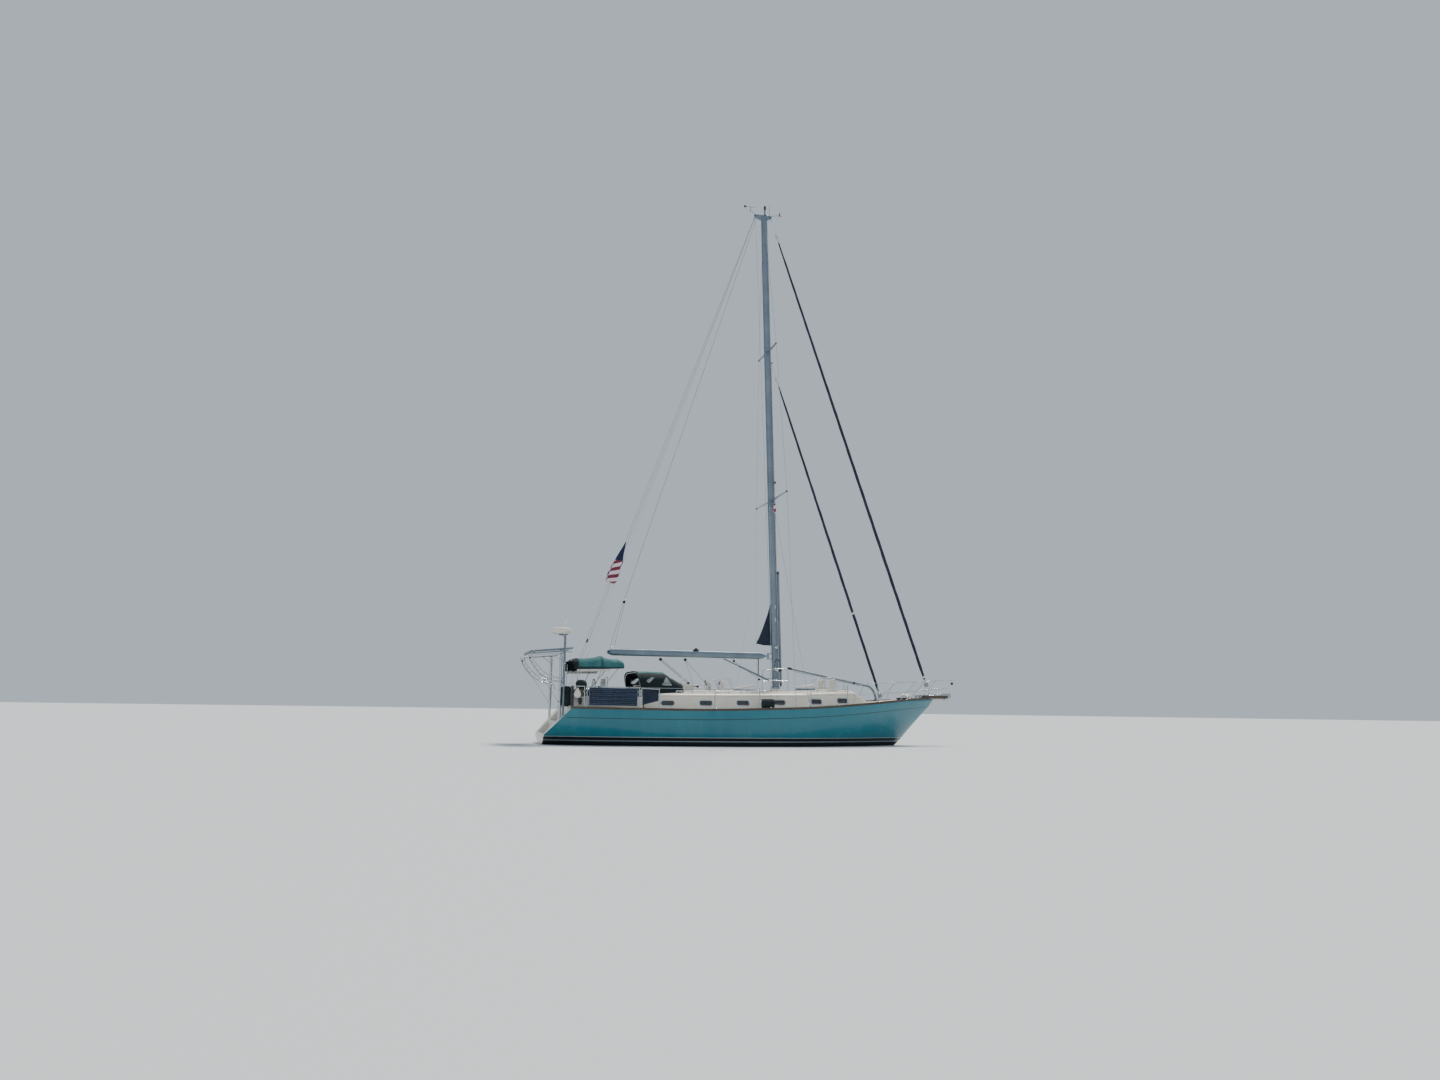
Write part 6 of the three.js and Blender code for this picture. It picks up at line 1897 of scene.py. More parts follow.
layered(boom, (-0.905, 0, gooseneck.z + boom_depth), (0.17, 0.096), 0.02, [
    (0.004, -0.012), (0, 0.004), (0, 0.030), (0.010, 0.046), (0.02, 0.050),
], 3)
peg(boom, (-0.905, -0.03, gooseneck.z + boom_depth + 0.055), (0, 1, 0), 0.034, 0.06, 3, 20)
for x in (boom_end + 0.05, boom_end + 0.12):
    peg(boom, (x, -0.062, gooseneck.z + 0.012), (0, 1, 0), 0.030, 0.124, 3, 20)
fit(
    softened(build(boom), 0.002, 55), "main_boom_spar", [spar_alloy, spar_alloy, stainless, rubber], "boom",
    ["main_boom"],
)


def block(shape, centre, toward, size, shell=0, sheave=1):
    """A rope block: two cheeks and a sheave, hung by a shackle that points toward a direction."""
    reach = Vector(toward).normalized()
    across_it = sideways(1) if abs(reach.y) < 0.8 else Vector((1, 0, 0))
    across_it = (across_it - reach * across_it.dot(reach)).normalized()
    for offset in (-0.32 * size, 0.32 * size):
        turned(shape, Vector(centre) + across_it * (offset - 0.05 * size), across_it, [
            (0.46 * size, 0), (0.50 * size, 0.03 * size), (0.50 * size, 0.07 * size),
            (0.40 * size, 0.12 * size), (0, 0.12 * size),
        ], shell, 20)
    turned(shape, Vector(centre) - across_it * 0.28 * size, across_it, [
        (0.42 * size, 0), (0.34 * size, 0.28 * size), (0.42 * size, 0.56 * size), (0, 0.56 * size),
    ], sheave, 20)
    foot = Vector(centre) + reach * 0.42 * size
    tube(shape, [
        foot + across_it * 0.2 * size, foot + reach * 0.45 * size + across_it * 0.18 * size,
        foot + reach * 0.62 * size, foot + reach * 0.45 * size - across_it * 0.18 * size,
        foot - across_it * 0.2 * size,
    ], 0.055 * size, sheave, 8)


# Sheet and tackles. Bails and blocks hang under the boom. The sheet runs down in four parts to the
# traveller's car, and two thin lines run from a boom brake to the roof's edges.
sheet_head = Vector((-2.02, 0, gooseneck.z - boom_depth - 0.07))
sheet_foot = Vector((traveller_x, sheet_foot_y, track_height + 0.105))
brake = Vector((-1.24, 0, gooseneck.z - boom_depth - 0.075))
hung = Shape()
for x in (-2.02, -1.24, 0.32):
    tube(hung, [
        (x, -0.045, gooseneck.z - boom_depth + 0.05), (x, -0.040, gooseneck.z - boom_depth - 0.014),
        (x, 0, gooseneck.z - boom_depth - 0.026), (x, 0.040, gooseneck.z - boom_depth - 0.014),
        (x, 0.045, gooseneck.z - boom_depth + 0.05),
    ], 0.006, 1, 8)
for y in (-0.03, 0.03):
    block(hung, sheet_head + Vector((0, y, -0.01)), (0, 0, 1), 0.085)
turned(hung, brake - sideways(0.03), (0, 1, 0), [
    (0.035, 0), (0.045, 0.01), (0.045, 0.05), (0.035, 0.06), (0, 0.06),
], 0, 24)
tube(hung, [brake, brake + up(0.06)], 0.008, 1, 8)
block(hung, (0.32, 0, gooseneck.z - boom_depth - 0.075), (0, 0, 1), 0.07)
lower_tackle = vang_foot + vang_line * 0.30 + Vector((-0.04, 0, -0.10))
block(hung, lower_tackle, -vang_line, 0.065)
fit(build(hung), "boom_blocks", [rubber, stainless], "boom")
tackle_runs = [
    [(0.32, shift, gooseneck.z - boom_depth - 0.09), lower_tackle + Vector((0, shift, 0.01))]
    for shift in (-0.014, 0.0, 0.014)
]
tackle_runs.append([lower_tackle, (vang_foot.x - 0.06, 0, vang_foot.z - 0.02)])
fit(rods("vang_tackle", tackle_runs, 0.004, rope, 0), "vang_tackle", [rope], "boom")
hanging = rods("hanging", [[(1.12, 0, 2.66), (1.12, 0, 2.14)]], 0.017, dark_rope, 0)
thin = rods("thin", [[(1.12, 0, 2.16), (1.12, 0, 1.74)]], 0.004, dark_rope, 0)
mesh, finishes = joined([hanging, thin])
fit(mesh, "reefing_line_tail", finishes, "boom")
low_gear = Shape()
for y in (-0.03, 0.03):
    block(low_gear, sheet_foot + sideways(y), (0, 0, -1), 0.085)
fit(build(low_gear), "traveller_blocks", [rubber, stainless])


def spanning(mesh, name, finishes):
    """Makes ropes that run from a place on the yacht to a place on the boom: a piece placed with its finish,
    its transform baked in.
    """
    piece = placed(name, mesh)
    dressed(mesh, finishes)
    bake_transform(piece)


sheet = rods("sheet", [
    [sheet_foot + Vector((a, y, 0.02)), sheet_head + Vector((a, y * 0.9, -0.02))]
    for y in (-0.032, 0.032) for a in (-0.036, 0.036)
], 0.006, rope, 0)
spanning(sheet, "mainsheet", [rope])
for name, side in both_sides.items():
    eye = Vector((-0.62, side * 1.10, roof_top(-0.62, 1.10) + 0.02))
    spanning(
        rods("brake_line", [[eye, brake]], 0.0045, dark_rope, 0), f"brake_line_{name}",
        [dark_rope],
    )

# Staysail boom. A bent alloy tube that pivots on the foredeck and carries the clew of the inner sail,
# with a cheek block and a line led aft along it.
club = Shape()
bent = eased([
    (5.08, 0, 1.415), (5.08, 0, 1.52), (5.00, 0, 1.72), (4.86, 0, 1.85), (4.65, 0, 1.905),
    (4.30, 0, 1.97),
], 6)
tube(club, bent, 0.038, 0, 24)
tube(club, [(4.33, 0, 1.9645), (2.16, 0, 2.3735)], [0.038, 0.034], 0, 24)
tube(club, [(2.22, 0, 2.3635), (2.13, 0, 2.379), (2.092, 0, 2.386)], [0.0385, 0.0385, 0.026], 1, 24)
turned(club, (5.08, 0, 1.405), (0, 0, 1), [(0.050, 0.002), (0.050, 0.028), (0.040, 0.040), (0, 0.040)], 1, 24)
peg(club, (4.36, 0, 1.958), (-0.983, 0, 0.185), 0.042, 0.05, 1, 24)
for x, z in ((2.30, 2.350), (3.60, 2.108)):
    tube(club, [
        (x, -0.03, z - 0.02), (x, -0.022, z - 0.055), (x, 0.022, z - 0.055), (x, 0.03, z - 0.02),
    ], 0.005, 2, 8)
fit(
    build(club), "staysail_boom_tube", [spar_alloy, rubber, stainless], "club", ["staysail_boom"],
)
club_line = rods("club_line", [[(2.30, 0, 2.285), (3.60, 0, 2.045), (4.55, 0, 1.87)]], 0.005, dark_rope, 0.02)
fit(club_line, "staysail_sheet", [dark_rope], "club")

# The corner of the rolled mainsail that stays out of the mast: a three-sided patch of navy cloth with
# a pressed ring at its clew, hanging almost flat.
def two_sided(shape, point_at, downs, acrosses, sides=(1, -1)):
    """A thin closed cloth. point_at gives a point from a place down it, a place across it, and a side."""
    rows, wide = len(downs), len(acrosses)
    count = rows * wide
    faces = []
    for row in range(rows - 1):
        for column in range(wide - 1):
            a = row * wide + column
            faces += [
                (a, a + 1, a + wide + 1, a + wide),
                (count + a, count + a + wide, count + a + wide + 1, count + a + 1),
            ]
    rim = list(range(wide)) + [r * wide + wide - 1 for r in range(1, rows)]
    rim += [(rows - 1) * wide + c for c in range(wide - 2, -1, -1)]
    rim += [r * wide for r in range(rows - 2, 0, -1)]
    faces += [(a, b, count + b, count + a) for a, b in zip(rim, rim[1:] + rim[:1])]
    shape.add([point_at(v, u, side) for side in sides for v in downs for u in acrosses], faces)


# Columns: height on the mast, and how far the cloth reaches aft of it.
leech = [(3.075, 0.20), (3.10, 0.52), (3.16, 0.50), (3.30, 0.41), (3.6, 0.275), (4.0, 0.115), (4.35, 0.006)]


def corner_point(down, out, face):
    top = 4.345 - 1.265 * down
    reach = np.interp(top, *zip(*leech)) * out
    wave = 0.016 * math.sin(2.6 * math.pi * down + 0.6) * math.sin(math.pi * out) * (0.3 + 0.7 * down)
    return mast_at(top) - mast_fore + 0.004 - reach, wave + face * 0.0025, top + 0.06 * out * (1 - down)


clew = Shape()
two_sided(clew, corner_point, np.linspace(0, 1, 27), np.linspace(0, 1, 13))
corner_piece = fit(
    build(clew), "mainsail_corner", [navy_cloth], stands_for=["mainsail_clew"],
)
ring = Shape()
hoop(ring, (1.052, 0, 3.135), (1, 0, 0), (0, 0, 1), 0.022, 0.0055)
fit(build(ring), "clew_ring", [stainless])

# Whisker pole, stowed upright ahead of the mast in two brackets, with a latching end at each tip.
pole_off = mast_fore + 0.062
pole = Shape()
pole_low, pole_high = Vector((mast_at(1.90) + pole_off, 0, 1.90)), Vector((mast_at(5.45) + pole_off, 0, 5.45))
tube(pole, [pole_low, pole_high], 0.038, 0, 24)
tube(pole, [
    (mast_at(1.80) + pole_off, 0, 1.80), (mast_at(1.86) + pole_off, 0, 1.86), pole_low,
], [0.018, 0.030, 0.039], 1, 20)
tube(pole, [pole_high - up(0.03), pole_high - up(0.002)], 0.0385, 1, 24)
for z in (2.27, 5.35):
    box(
        pole, (mast_at(z + 0.03) + mast_fore + 0.001, -0.018, z),
        (mast_at(z + 0.03) + pole_off, 0.018, z + 0.06), 1,
    )
    peg(pole, (mast_at(z) + pole_off, 0, z + 0.01), (0, 0, 1), 0.043, 0.04, 1, 24)
fit(build(pole), "whisker_pole_tube", [spar_alloy, rubber], stands_for=["whisker_pole"])

# Bow platform. A teak plank over the stem with a steel bracket below it, three cheek plates at its
# tip and two rollers between them, and a fitting for the forestay.
platform = Shape()
nose = [
    (7.35, -0.190), (7.50, -0.170), (7.585, -0.125), (7.632, -0.075), (7.64, 0), (7.632, 0.075),
    (7.585, 0.125), (7.50, 0.170), (7.35, 0.190),
]
plank = [(6.60, -0.200), *nose, (6.60, 0.200)]
skin(platform, [[(x * s + 7.1 * (1 - s), y * s, z) for x, y in plank] for z, s in (
    (platform_z + 0.004, 0.97), (platform_z + 0.016, 1), (platform_z + 0.094, 1), (platform_z + 0.106, 0.985),
    (platform_z + 0.110, 0.95),
)], 1)
for y in np.arange(-0.16, 0.17, 0.0535):
    box(platform, (6.66, y - 0.022, platform_z + 0.104), (7.42, y + 0.022, platform_z + 0.114), 1)
cheek = [
    (7.18, 1.56), (7.18, 1.65), (7.35, 1.668), (7.60, 1.69), (7.665, 1.677), (7.70, 1.65), (7.70, 1.48),
    (7.665, 1.437), (7.56, 1.41), (7.515, 1.46), (7.48, 1.52),
]
for y in (-0.110, -0.010, 0.090):
    skin(platform, [[(x, y + shift, z) for x, z in cheek] for shift in (0, 0.018)])
peg(platform, (7.60, -0.118, 1.495), (0, 1, 0), 0.014, 0.236, 0, 16)
for y in (-0.091, 0.009):
    turned(platform, (7.60, y, 1.495), (0, 1, 0), [
        (0.052, 0), (0.050, 0.012), (0.036, 0.034), (0.036, 0.046), (0.050, 0.068), (0.052, 0.080),
        (0, 0.080),
    ], 2, 28)
box(platform, (6.95, -0.014, 1.60), (7.03, 0.014, 1.665))
box(platform, (6.90, -0.045, 1.606), (7.08, 0.045, 1.618))
bracket = [
    (6.93, 1.255), (7.05, 1.350), (7.16, 1.420), (7.28, 1.465), (7.44, 1.503), (6.96, 1.503),
    (6.93, 1.40),
]
skin(platform, [[(x, y, z) for x, z in bracket] for y in (-0.055, 0.055)], 3)
stay_foot, stay_head = [Vector(end) for end in forestay]
stay_direction = (stay_head - stay_foot).normalized()
drum_start = (1.96 - stay_foot.z) / stay_direction.z - 0.077
turned(platform, stay_foot, stay_direction, [
    (0.012, -0.012), (0.016, 0), (0.016, 0.07), (0.012, 0.085), (0.012, drum_start), (0, drum_start),
], 0, 20)
peg(platform, stay_foot - sideways(0.022), (0, 1, 0), 0.008, 0.044, 0, 12)
fit(
    softened(build(platform), 0.003, 35), "bow_plank_and_rollers", [stainless, teak, rubber, moulding],
    stands_for=["bow_platform"],
)

# Foredeck gear. A windlass under a white cover with its chain wheel and rope drum at the sides, a
# steel bitt, deck cleats, and spare line in a flat coil.
windlass = Shape()
layered(windlass, (6.12, 0, 1.41), (0.34, 0.26), 0.09, [
    (0, 0), (0, 0.075), (0.004, 0.10), (0.010, 0.15), (0.030, 0.195), (0.065, 0.222), (0.11, 0.233),
])
layered(windlass, (6.12, 0, 1.41), (0.40, 0.30), 0.10, [(0, -0.03), (0, 0.045), (0.008, 0.055)])
for side in (1, -1):
    turned(windlass, (6.13, side * 0.125, 1.52), (0, side, 0), [
        (0.030, 0), (0.030, 0.01), (0.062, 0.014), (0.064, 0.020), (0.046, 0.032), (0.064, 0.044),
        (0.060, 0.050), (0.02, 0.054), (0, 0.054),
    ], 1, 24)
fit(
    build(windlass), "windlass_under_cover", [moulding, stainless],
    stands_for=["windlass"],
)
bitt = Shape()
layered(bitt, (6.52, 0, 1.44), (0.14, 0.28), 0.02, [(0, 0), (0, 0.078), (0.005, 0.085)])
for y in (-0.09, 0.09):
    turned(bitt, (6.52, y, 1.50), (0, 0, 1), [
        (0.032, 0), (0.026, 0.03), (0.023, 0.10), (0.030, 0.108), (0.030, 0.116), (0.02, 0.120),
        (0, 0.120),
    ], 0, 24)
turned(bitt, (6.52, -0.19, 1.575), (0, 1, 0), [(0, 0), (0.016, 0), (0.016, 0.38), (0, 0.38)], 0, 20)
fit(build(bitt), "mooring_bitt_casting", [stainless], stands_for=["mooring_bitt"])
chocks = Shape()
for side in (1, -1):
    for x in (6.05, 4.75, -0.30, -4.45):
        out = side * (sheer_half(x) - 0.11)
        base = Vector((x, out, deck_top(x, out) - 0.003))
        for shift in (-0.06, 0.06):
            turned(chocks, base + Vector((shift, 0, 0)), (0, 0, 1), [
                (0.020, 0), (0.014, 0.012), (0.010, 0.045), (0, 0.048),
            ], 0, 14)
        tube(chocks, [
            base + Vector((-0.14, 0, 0.050)), base + Vector((-0.08, 0, 0.046)),
            base + Vector((0.08, 0, 0.046)),
            base + Vector((0.14, 0, 0.050)),
        ], [0.007, 0.011, 0.011, 0.007], 0, 12)
fit(build(chocks), "deck_cleats", [stainless])
coil = Shape()
for ring in range(7):
    spread = 0.16 - 0.014 * ring
    for level in range(3):
        tube(coil, [(
            5.86 + spread * math.cos(a), -0.28 + spread * 0.8 * math.sin(a),
            deck_top(5.86, 0.28) + 0.010 + 0.018 * level + 0.003 * math.sin(5 * a + ring),
        ) for a in turns(32)], 0.0085, 0, 8, loop=True)
fit(build(coil), "foredeck_line_coil", [dark_rope])

# Bow rail, lifelines and stern rails, all of polished tube on bases bolted to the deck, with wire of
# two heights between the stanchions and a stiff rail aft that carries a solar panel.
pulpit_top = [
    (4.85, 1.190, 1.312), (5.06, 1.165, 1.690), (5.24, 1.140, 1.960), (5.60, 1.010, 1.985),
    (6.30, 0.700, 2.020), (7.00, 0.400, 2.070), (7.60, 0.240, 2.105), (7.88, 0.120, 2.110),
]
pulpit_mid = [(4.975, 1.168, 1.600), (5.60, 0.960, 1.660), (6.50, 0.560, 1.740), (7.56, 0.200, 1.850)]
pulpit = Shape()
tube(pulpit, eased([*pulpit_top, *[(x, -y, z) for x, y, z in reversed(pulpit_top)]], 6), 0.013, 0, 14)
for side in (1, -1):
    tube(pulpit, eased([(x, side * y, z) for x, y, z in pulpit_mid], 6), 0.010, 0, 12)
    for low, high in (
        ((5.45, 0.900, 1.348), (6.16, 0.765, 2.015)), ((6.38, 0.345, 1.428), (7.05, 0.385, 2.075)),
    ):
        tube(pulpit, [(low[0], side * low[1], low[2]), (high[0], side * high[1], high[2])], 0.012, 0, 14)
        flange(pulpit, (low[0], side * low[1], low[2] - 0.01), (0, 0, 1), 0.036, 0.012, 0.016, 0.030, 0, 20)
    flange(pulpit, (4.85, side * 1.19, 1.302), (0, 0, 1), 0.036, 0.012, 0.016, 0.030, 0, 20)
tube(pulpit, [(7.56, -0.20, 1.85), (7.56, 0.20, 1.85)], 0.010, 0, 12)
turned(pulpit, (7.80, 0, 1.965), (0, 0, 1), [
    (0.030, 0), (0.042, 0.006), (0.042, 0.066), (0.030, 0.076), (0, 0.080),
], 1, 24)
tube(pulpit, [(7.80, 0, 2.03), (7.86, 0, 2.11)], 0.008, 0, 10)
fit(build(pulpit), "bow_rail", [stainless, rubber], stands_for=["bow_pulpit"])

rail_inset, rail_height, mid_height = 0.075, 0.640, 0.330
stanchions = [-4.49, -3.03, -2.46, -0.83, 0.52, 2.15, 3.40, 4.56]


def rail_point(x, side, height):
    return Vector((x, side * (sheer_half(x) - rail_inset), sheer_height(x) + height))


def stern_rail(side, height):
    corner = sheer_height(-4.87) + height
    return [
        rail_point(-4.56, side, height), rail_point(-4.76, side, height),
        Vector((-4.86, side * 1.48, corner)),
        Vector((-4.88, side * 1.30, corner)), Vector((-4.88, side * 1.00, corner)),
    ]


for name, side in both_sides.items():
    posts = Shape()
    for x in stanchions:
        tube(posts, [
            rail_point(x, side, -0.005), rail_point(x, side, rail_height - 0.006),
            rail_point(x, side, rail_height),
        ], [0.0155, 0.013, 0.008], 0, 14)
        foot = rail_point(x, side, 0)
        foot.z = deck_top(x, foot.y) - 0.006
        turned(posts, foot, (0, 0, 1), [
            (0.040, 0), (0.040, 0.014), (0.021, 0.026), (0.019, 0.085), (0, 0.085),
        ], 0, 20)
    tube(posts, [
        rail_point(-4.49, side, rail_height - 0.004), rail_point(-3.03, side, rail_height - 0.004),
    ], 0.0125, 0, 16)
    ladder_x = -2.96
    tube(posts, [rail_point(ladder_x, side, 0), rail_point(ladder_x, side, rail_height - 0.01)], 0.011, 0, 12)
    for step in range(5):
        height = 0.10 + 0.115 * step
        tube(posts, [rail_point(-3.03, side, height), rail_point(ladder_x, side, height)], 0.009, 0, 10)
    tube(posts, [
        rail_point(ladder_x, side, rail_height - 0.02), rail_point(-2.46, side, rail_height - 0.04),
    ], 0.010, 0, 12)
    wires = rods("wires", [
        [rail_point(a, side, height), rail_point(b, side, height)]
        for height in (rail_height - 0.004, mid_height) for a, b in zip(stanchions, stanchions[1:])
    ] + [
        [rail_point(4.56, side, rail_height - 0.004), (5.02, side * 1.158, 1.62)]
    ], 0.0042, stainless, 0)
    fit(
        in_steel([build(posts), wires]), f"lifeline_run_{name}", [stainless],
        stands_for=[f"lifelines_{name}"],
    )

    quarter = Shape()
    tube(quarter, eased(stern_rail(side, rail_height), 7), 0.013, 0, 14)
    tube(quarter, eased(stern_rail(side, mid_height), 7), 0.010, 0, 12)
    for point in stern_rail(side, 0)[::2]:
        tube(quarter, [(point.x, point.y, 1.03), (point.x, point.y, point.z + rail_height)], 0.013, 0, 14)
        flange(
            quarter, (point.x, point.y, deck_top(point.x, point.y) - 0.006), (0, 0, 1), 0.038, 0.012,
            0.018, 0.026, 0, 18,
        )
    fit(build(quarter), f"stern_rail_{name}", [stainless], stands_for=[f"pushpit_{name}"])

# Solar panels. Blue-black cells in rows under glass in an alloy frame. One hangs from the stiff rail on
# each quarter by two clamps and tilts up; a pair of modules lies on the stern arch.
cell_glass, tree, shader, marks = drifting(
    (5, 22, 46), (9, 33, 62), (3.0, 9.0), "solar_cells", (6, 24, 50), 0.35,
    Coat_Weight=0.06, Coat_Roughness=0.15, Specular_IOR_Level=0.22,
)
roughened(tree, shader, marks["Runs"], 0.28, 0.42)
back_sheet = drifting((12, 26, 46), (20, 38, 60), (3.0, 9.0), "panel_back_sheet", (10, 16, 28), 0.5)[0]


def solar_panel(size, thickness, columns, rows, place):
    """A framed panel made flat about the origin and then set in its place: frame, laminate and cells."""
    length, width = size
    tray = Shape()
    layered(tray, (0, 0, 0), size, 0.008, [
        (0, 0), (0, thickness - 0.001), (0.001, thickness), (0.011, thickness), (0.012, thickness - 0.005),
    ])
    box(
        tray, (-length / 2 + 0.014, -width / 2 + 0.014, -0.0012),
        (length / 2 - 0.014, width / 2 - 0.014, 0.0006), 1,
    )
    sheet_top = thickness - 0.004
    box(
        tray, (-length / 2 + 0.0115, -width / 2 + 0.0115, thickness - 0.012),
        (length / 2 - 0.0115, width / 2 - 0.0115, sheet_top), 1,
    )
    pitch_x, pitch_y = (length - 0.04) / columns, (width - 0.04) / rows
    for row in range(rows):
        for share in (0.3, 0.7):
            y = -width / 2 + 0.02 + (row + share) * pitch_y
            box(
                tray, (-length / 2 + 0.02, y - 0.0008, sheet_top - 0.001),
                (length / 2 - 0.02, y + 0.0008, sheet_top + 0.0014), 2,
            )
    box(tray, (-0.06, width / 2 - 0.11, -0.022), (0.06, width / 2 - 0.04, 0.002), 3)
    cell = Shape()
    half_x, half_y, cut = pitch_x / 2 - 0.002, pitch_y / 2 - 0.002, 0.010
    corners = [
        (half_x, -half_y + cut), (half_x, half_y - cut), (half_x - cut, half_y), (-half_x + cut, half_y),
        (-half_x, half_y - cut), (-half_x, -half_y + cut), (-half_x + cut, -half_y), (half_x - cut, -half_y),
    ]
    skin(cell, [[(x, y, z) for x, y in corners] for z in (-0.0006, 0.0008)])
    lines = []
    for row in range(rows):
        y = -width / 2 + 0.02 + (row + 0.5) * pitch_y
        x = length / 2 - 0.02 - pitch_x / 2
        lines.append([(-x, y, sheet_top), (x, y, sheet_top)])
    cells = row_of("cells", lines, cell, pitch_x * 0.9999, cell_glass)
    frame_mesh = build(tray)
    for finish in (spar_alloy, back_sheet, stainless, rubber):
        frame_mesh.materials.append(finish)
    mesh, _ = joined([frame_mesh, cells])
    mesh.transform(place)
    return mesh


def lying(middle, across_way, normal):
    """A frame of axes with its third along the normal."""
    third = Vector(normal).normalized()
    first = Vector(across_way)
    first = (first - third * first.dot(third)).normalized()
    turn = Matrix((first, third.cross(first), third)).transposed().to_4x4()
    return Matrix.Translation(Vector(middle)) @ turn


for name, side in both_sides.items():
    rail_aft, rail_fore = rail_point(-4.49, side, 0.636), rail_point(-3.03, side, 0.636)
    along_rail = (rail_fore - rail_aft).normalized()
    away = Vector((-along_rail.y, along_rail.x, 0)).normalized() * side
    middle = rail_aft + along_rail * 0.75 + away * 0.026 - up(0.275)
    panel = solar_panel((1.38, 0.51), 0.032, 11, 4, lying(middle, along_rail, away))
    clamps = Shape()
    for reach in (0.32, 1.20):
        at = rail_aft + along_rail * reach
        turned(clamps, at - along_rail * 0.020, along_rail, [
            (0.023, 0), (0.025, 0.003), (0.025, 0.037), (0.023, 0.040), (0, 0.040),
        ], 0, 20)
        tab = [
            at + away * out + up(rise)
            for out, rise in ((0.016, 0.008), (0.030, -0.004), (0.030, -0.060), (0.018, -0.060))
        ]
        skin(clamps, [[p - along_rail * 0.016 for p in tab], [p + along_rail * 0.016 for p in tab]], 0)
    clamps = build(clamps)
    clamps.materials.append(rubber)
    mesh, finishes = joined([clamps, panel])
    fit(mesh, f"tilting_panel_{name}", finishes, f"panel_{name}", [f"side_panel_{name}"])

panel_foot, panel_head = Vector((-6.09, 0, 2.640)), Vector((-4.84, 0, 2.764))
slope = (panel_head - panel_foot).normalized()
normal = Vector((-slope.z, 0, slope.x))
halves = []
for y in (-0.526, 0.526):
    middle = (panel_foot + panel_head) / 2 + sideways(y)
    halves.append(solar_panel((1.256, 1.046), 0.040, 10, 8, lying(middle, slope, normal)))
mesh, finishes = joined(halves)
fit(mesh, "arch_panel_modules", finishes, stands_for=["arch_solar_panel"])

# Stern arch. Two davits of welded tube stand on the quarters: a post, a top arm, and a curved truss with
# rungs from the arm's tip back to the post. Three tubes tie them across and carry the panels.
davit_y, post_x = 1.23, -5.21
outer_chord = [(-6.16, 2.54), (-6.08, 2.33), (-5.93, 2.12), (-5.70, 1.93), (-5.44, 1.82), (-5.15, 1.79)]
inner_chord = [(-6.04, 2.56), *[(x + 0.07, z + 0.095) for x, z in outer_chord[1:]]]
arch = Shape()
for side in (1, -1):
    y = side * davit_y
    tube(arch, [(post_x, y, 0.70), (post_x, y, 2.60)], 0.042, 0, 24)
    turned(arch, (post_x, y, 2.585), (0, 0, 1), [
        (0.044, 0), (0.044, 0.012), (0.030, 0.025), (0, 0.027),
    ], 0, 24)
    tube(arch, [(-6.17, y, 2.54), (-4.90, y, 2.67)], 0.026, 0, 20)
    chords = [eased([(x, y, z) for x, z in chord], 8) for chord in (outer_chord, inner_chord)]
    for chord, radius in zip(chords, (0.020, 0.014)):
        tube(arch, chord, radius, 0, 14)
    for share in np.linspace(0.12, 0.93, 8):
        ends = [chord[int(share * (len(chord) - 1))] for chord in chords]
        tube(arch, ends, 0.009, 0, 10)
    tube(arch, [(-5.15, y, 1.79), (-5.08, y, 1.66), (-5.06, y, 1.60)], 0.016, 0, 12)
    for z in (1.62, 1.79, 2.40):
        turned(arch, (post_x, y, z - 0.022), (0, 0, 1), [
            (0.043, 0), (0.047, 0.004), (0.047, 0.040), (0.043, 0.044), (0, 0.044),
        ], 0, 24)
    tube(arch, [(post_x, y, 2.40), (-5.50, y, 2.605)], 0.012, 0, 12)
    block(arch, (-6.10, y, 2.455), (0, 0, 1), 0.055, 1, 0)
    tube(arch, [(-5.235, y, 1.25), (-5.27, y, 1.26), (-5.27, y, 1.20), (-5.235, y, 1.21)], 0.007, 0, 8)
for x, z in ((-6.13, 2.542), (-5.21, 2.57), (-4.96, 2.665)):
    tube(arch, [(x, -davit_y, z), (x, davit_y, z)], 0.020, 0, 18)
for y in (-0.90, -0.15, 0.15, 0.90):
    rail_line = [panel_foot + slope * reach - normal * 0.014 + sideways(y) for reach in (0.04, 1.22)]
    skin(arch, [
        [p + sideways(s * 0.012) + normal * n * 0.014 for s, n in ((-1, -1), (1, -1), (1, 1), (-1, 1))]
        for p in rail_line
    ], 0)
    for x, z in ((-6.13, 2.542), (-5.21, 2.57), (-4.96, 2.665)):
        reach = min(max((Vector((x, 0, z)) - panel_foot).dot(slope), 0.05), 1.2)
        head = panel_foot + slope * reach - normal * 0.02
        tube(arch, [(x, y, z), (head.x, y, head.z)], 0.008, 0, 10)
fit(build(arch), "stern_arch_tubes", [stainless, rubber], stands_for=["stern_arch"])
falls = rods("falls", [
    line for side in (1, -1) for line in (
        [(-6.108, side * davit_y - 0.03, 2.43), (-5.262, side * davit_y - 0.055, 1.235)],
        [(-6.092, side * davit_y + 0.006, 2.43), (-6.03, side * davit_y + 0.006, 2.545)],
    )
], 0.004, dark_rope, 0)
fit(falls, "davit_falls", [dark_rope])
whip_aerial = Shape()
tube(whip_aerial, [(-5.955, -1.24, 2.566), (-5.955, -1.11, 2.566)], 0.018, 1, 16)
tube(whip_aerial, [(-5.95, -1.14, 2.56), (-5.972, -1.14, 2.64)], 0.013, 1, 16)
tube(whip_aerial, [
    (-5.965, -1.14, 2.61), (-6.12, -1.14, 3.15), (-6.33, -1.14, 3.88),
], [0.009, 0.006, 0.0035], 0, 10)
fit(build(whip_aerial), "whip_aerial", [moulding, rubber])

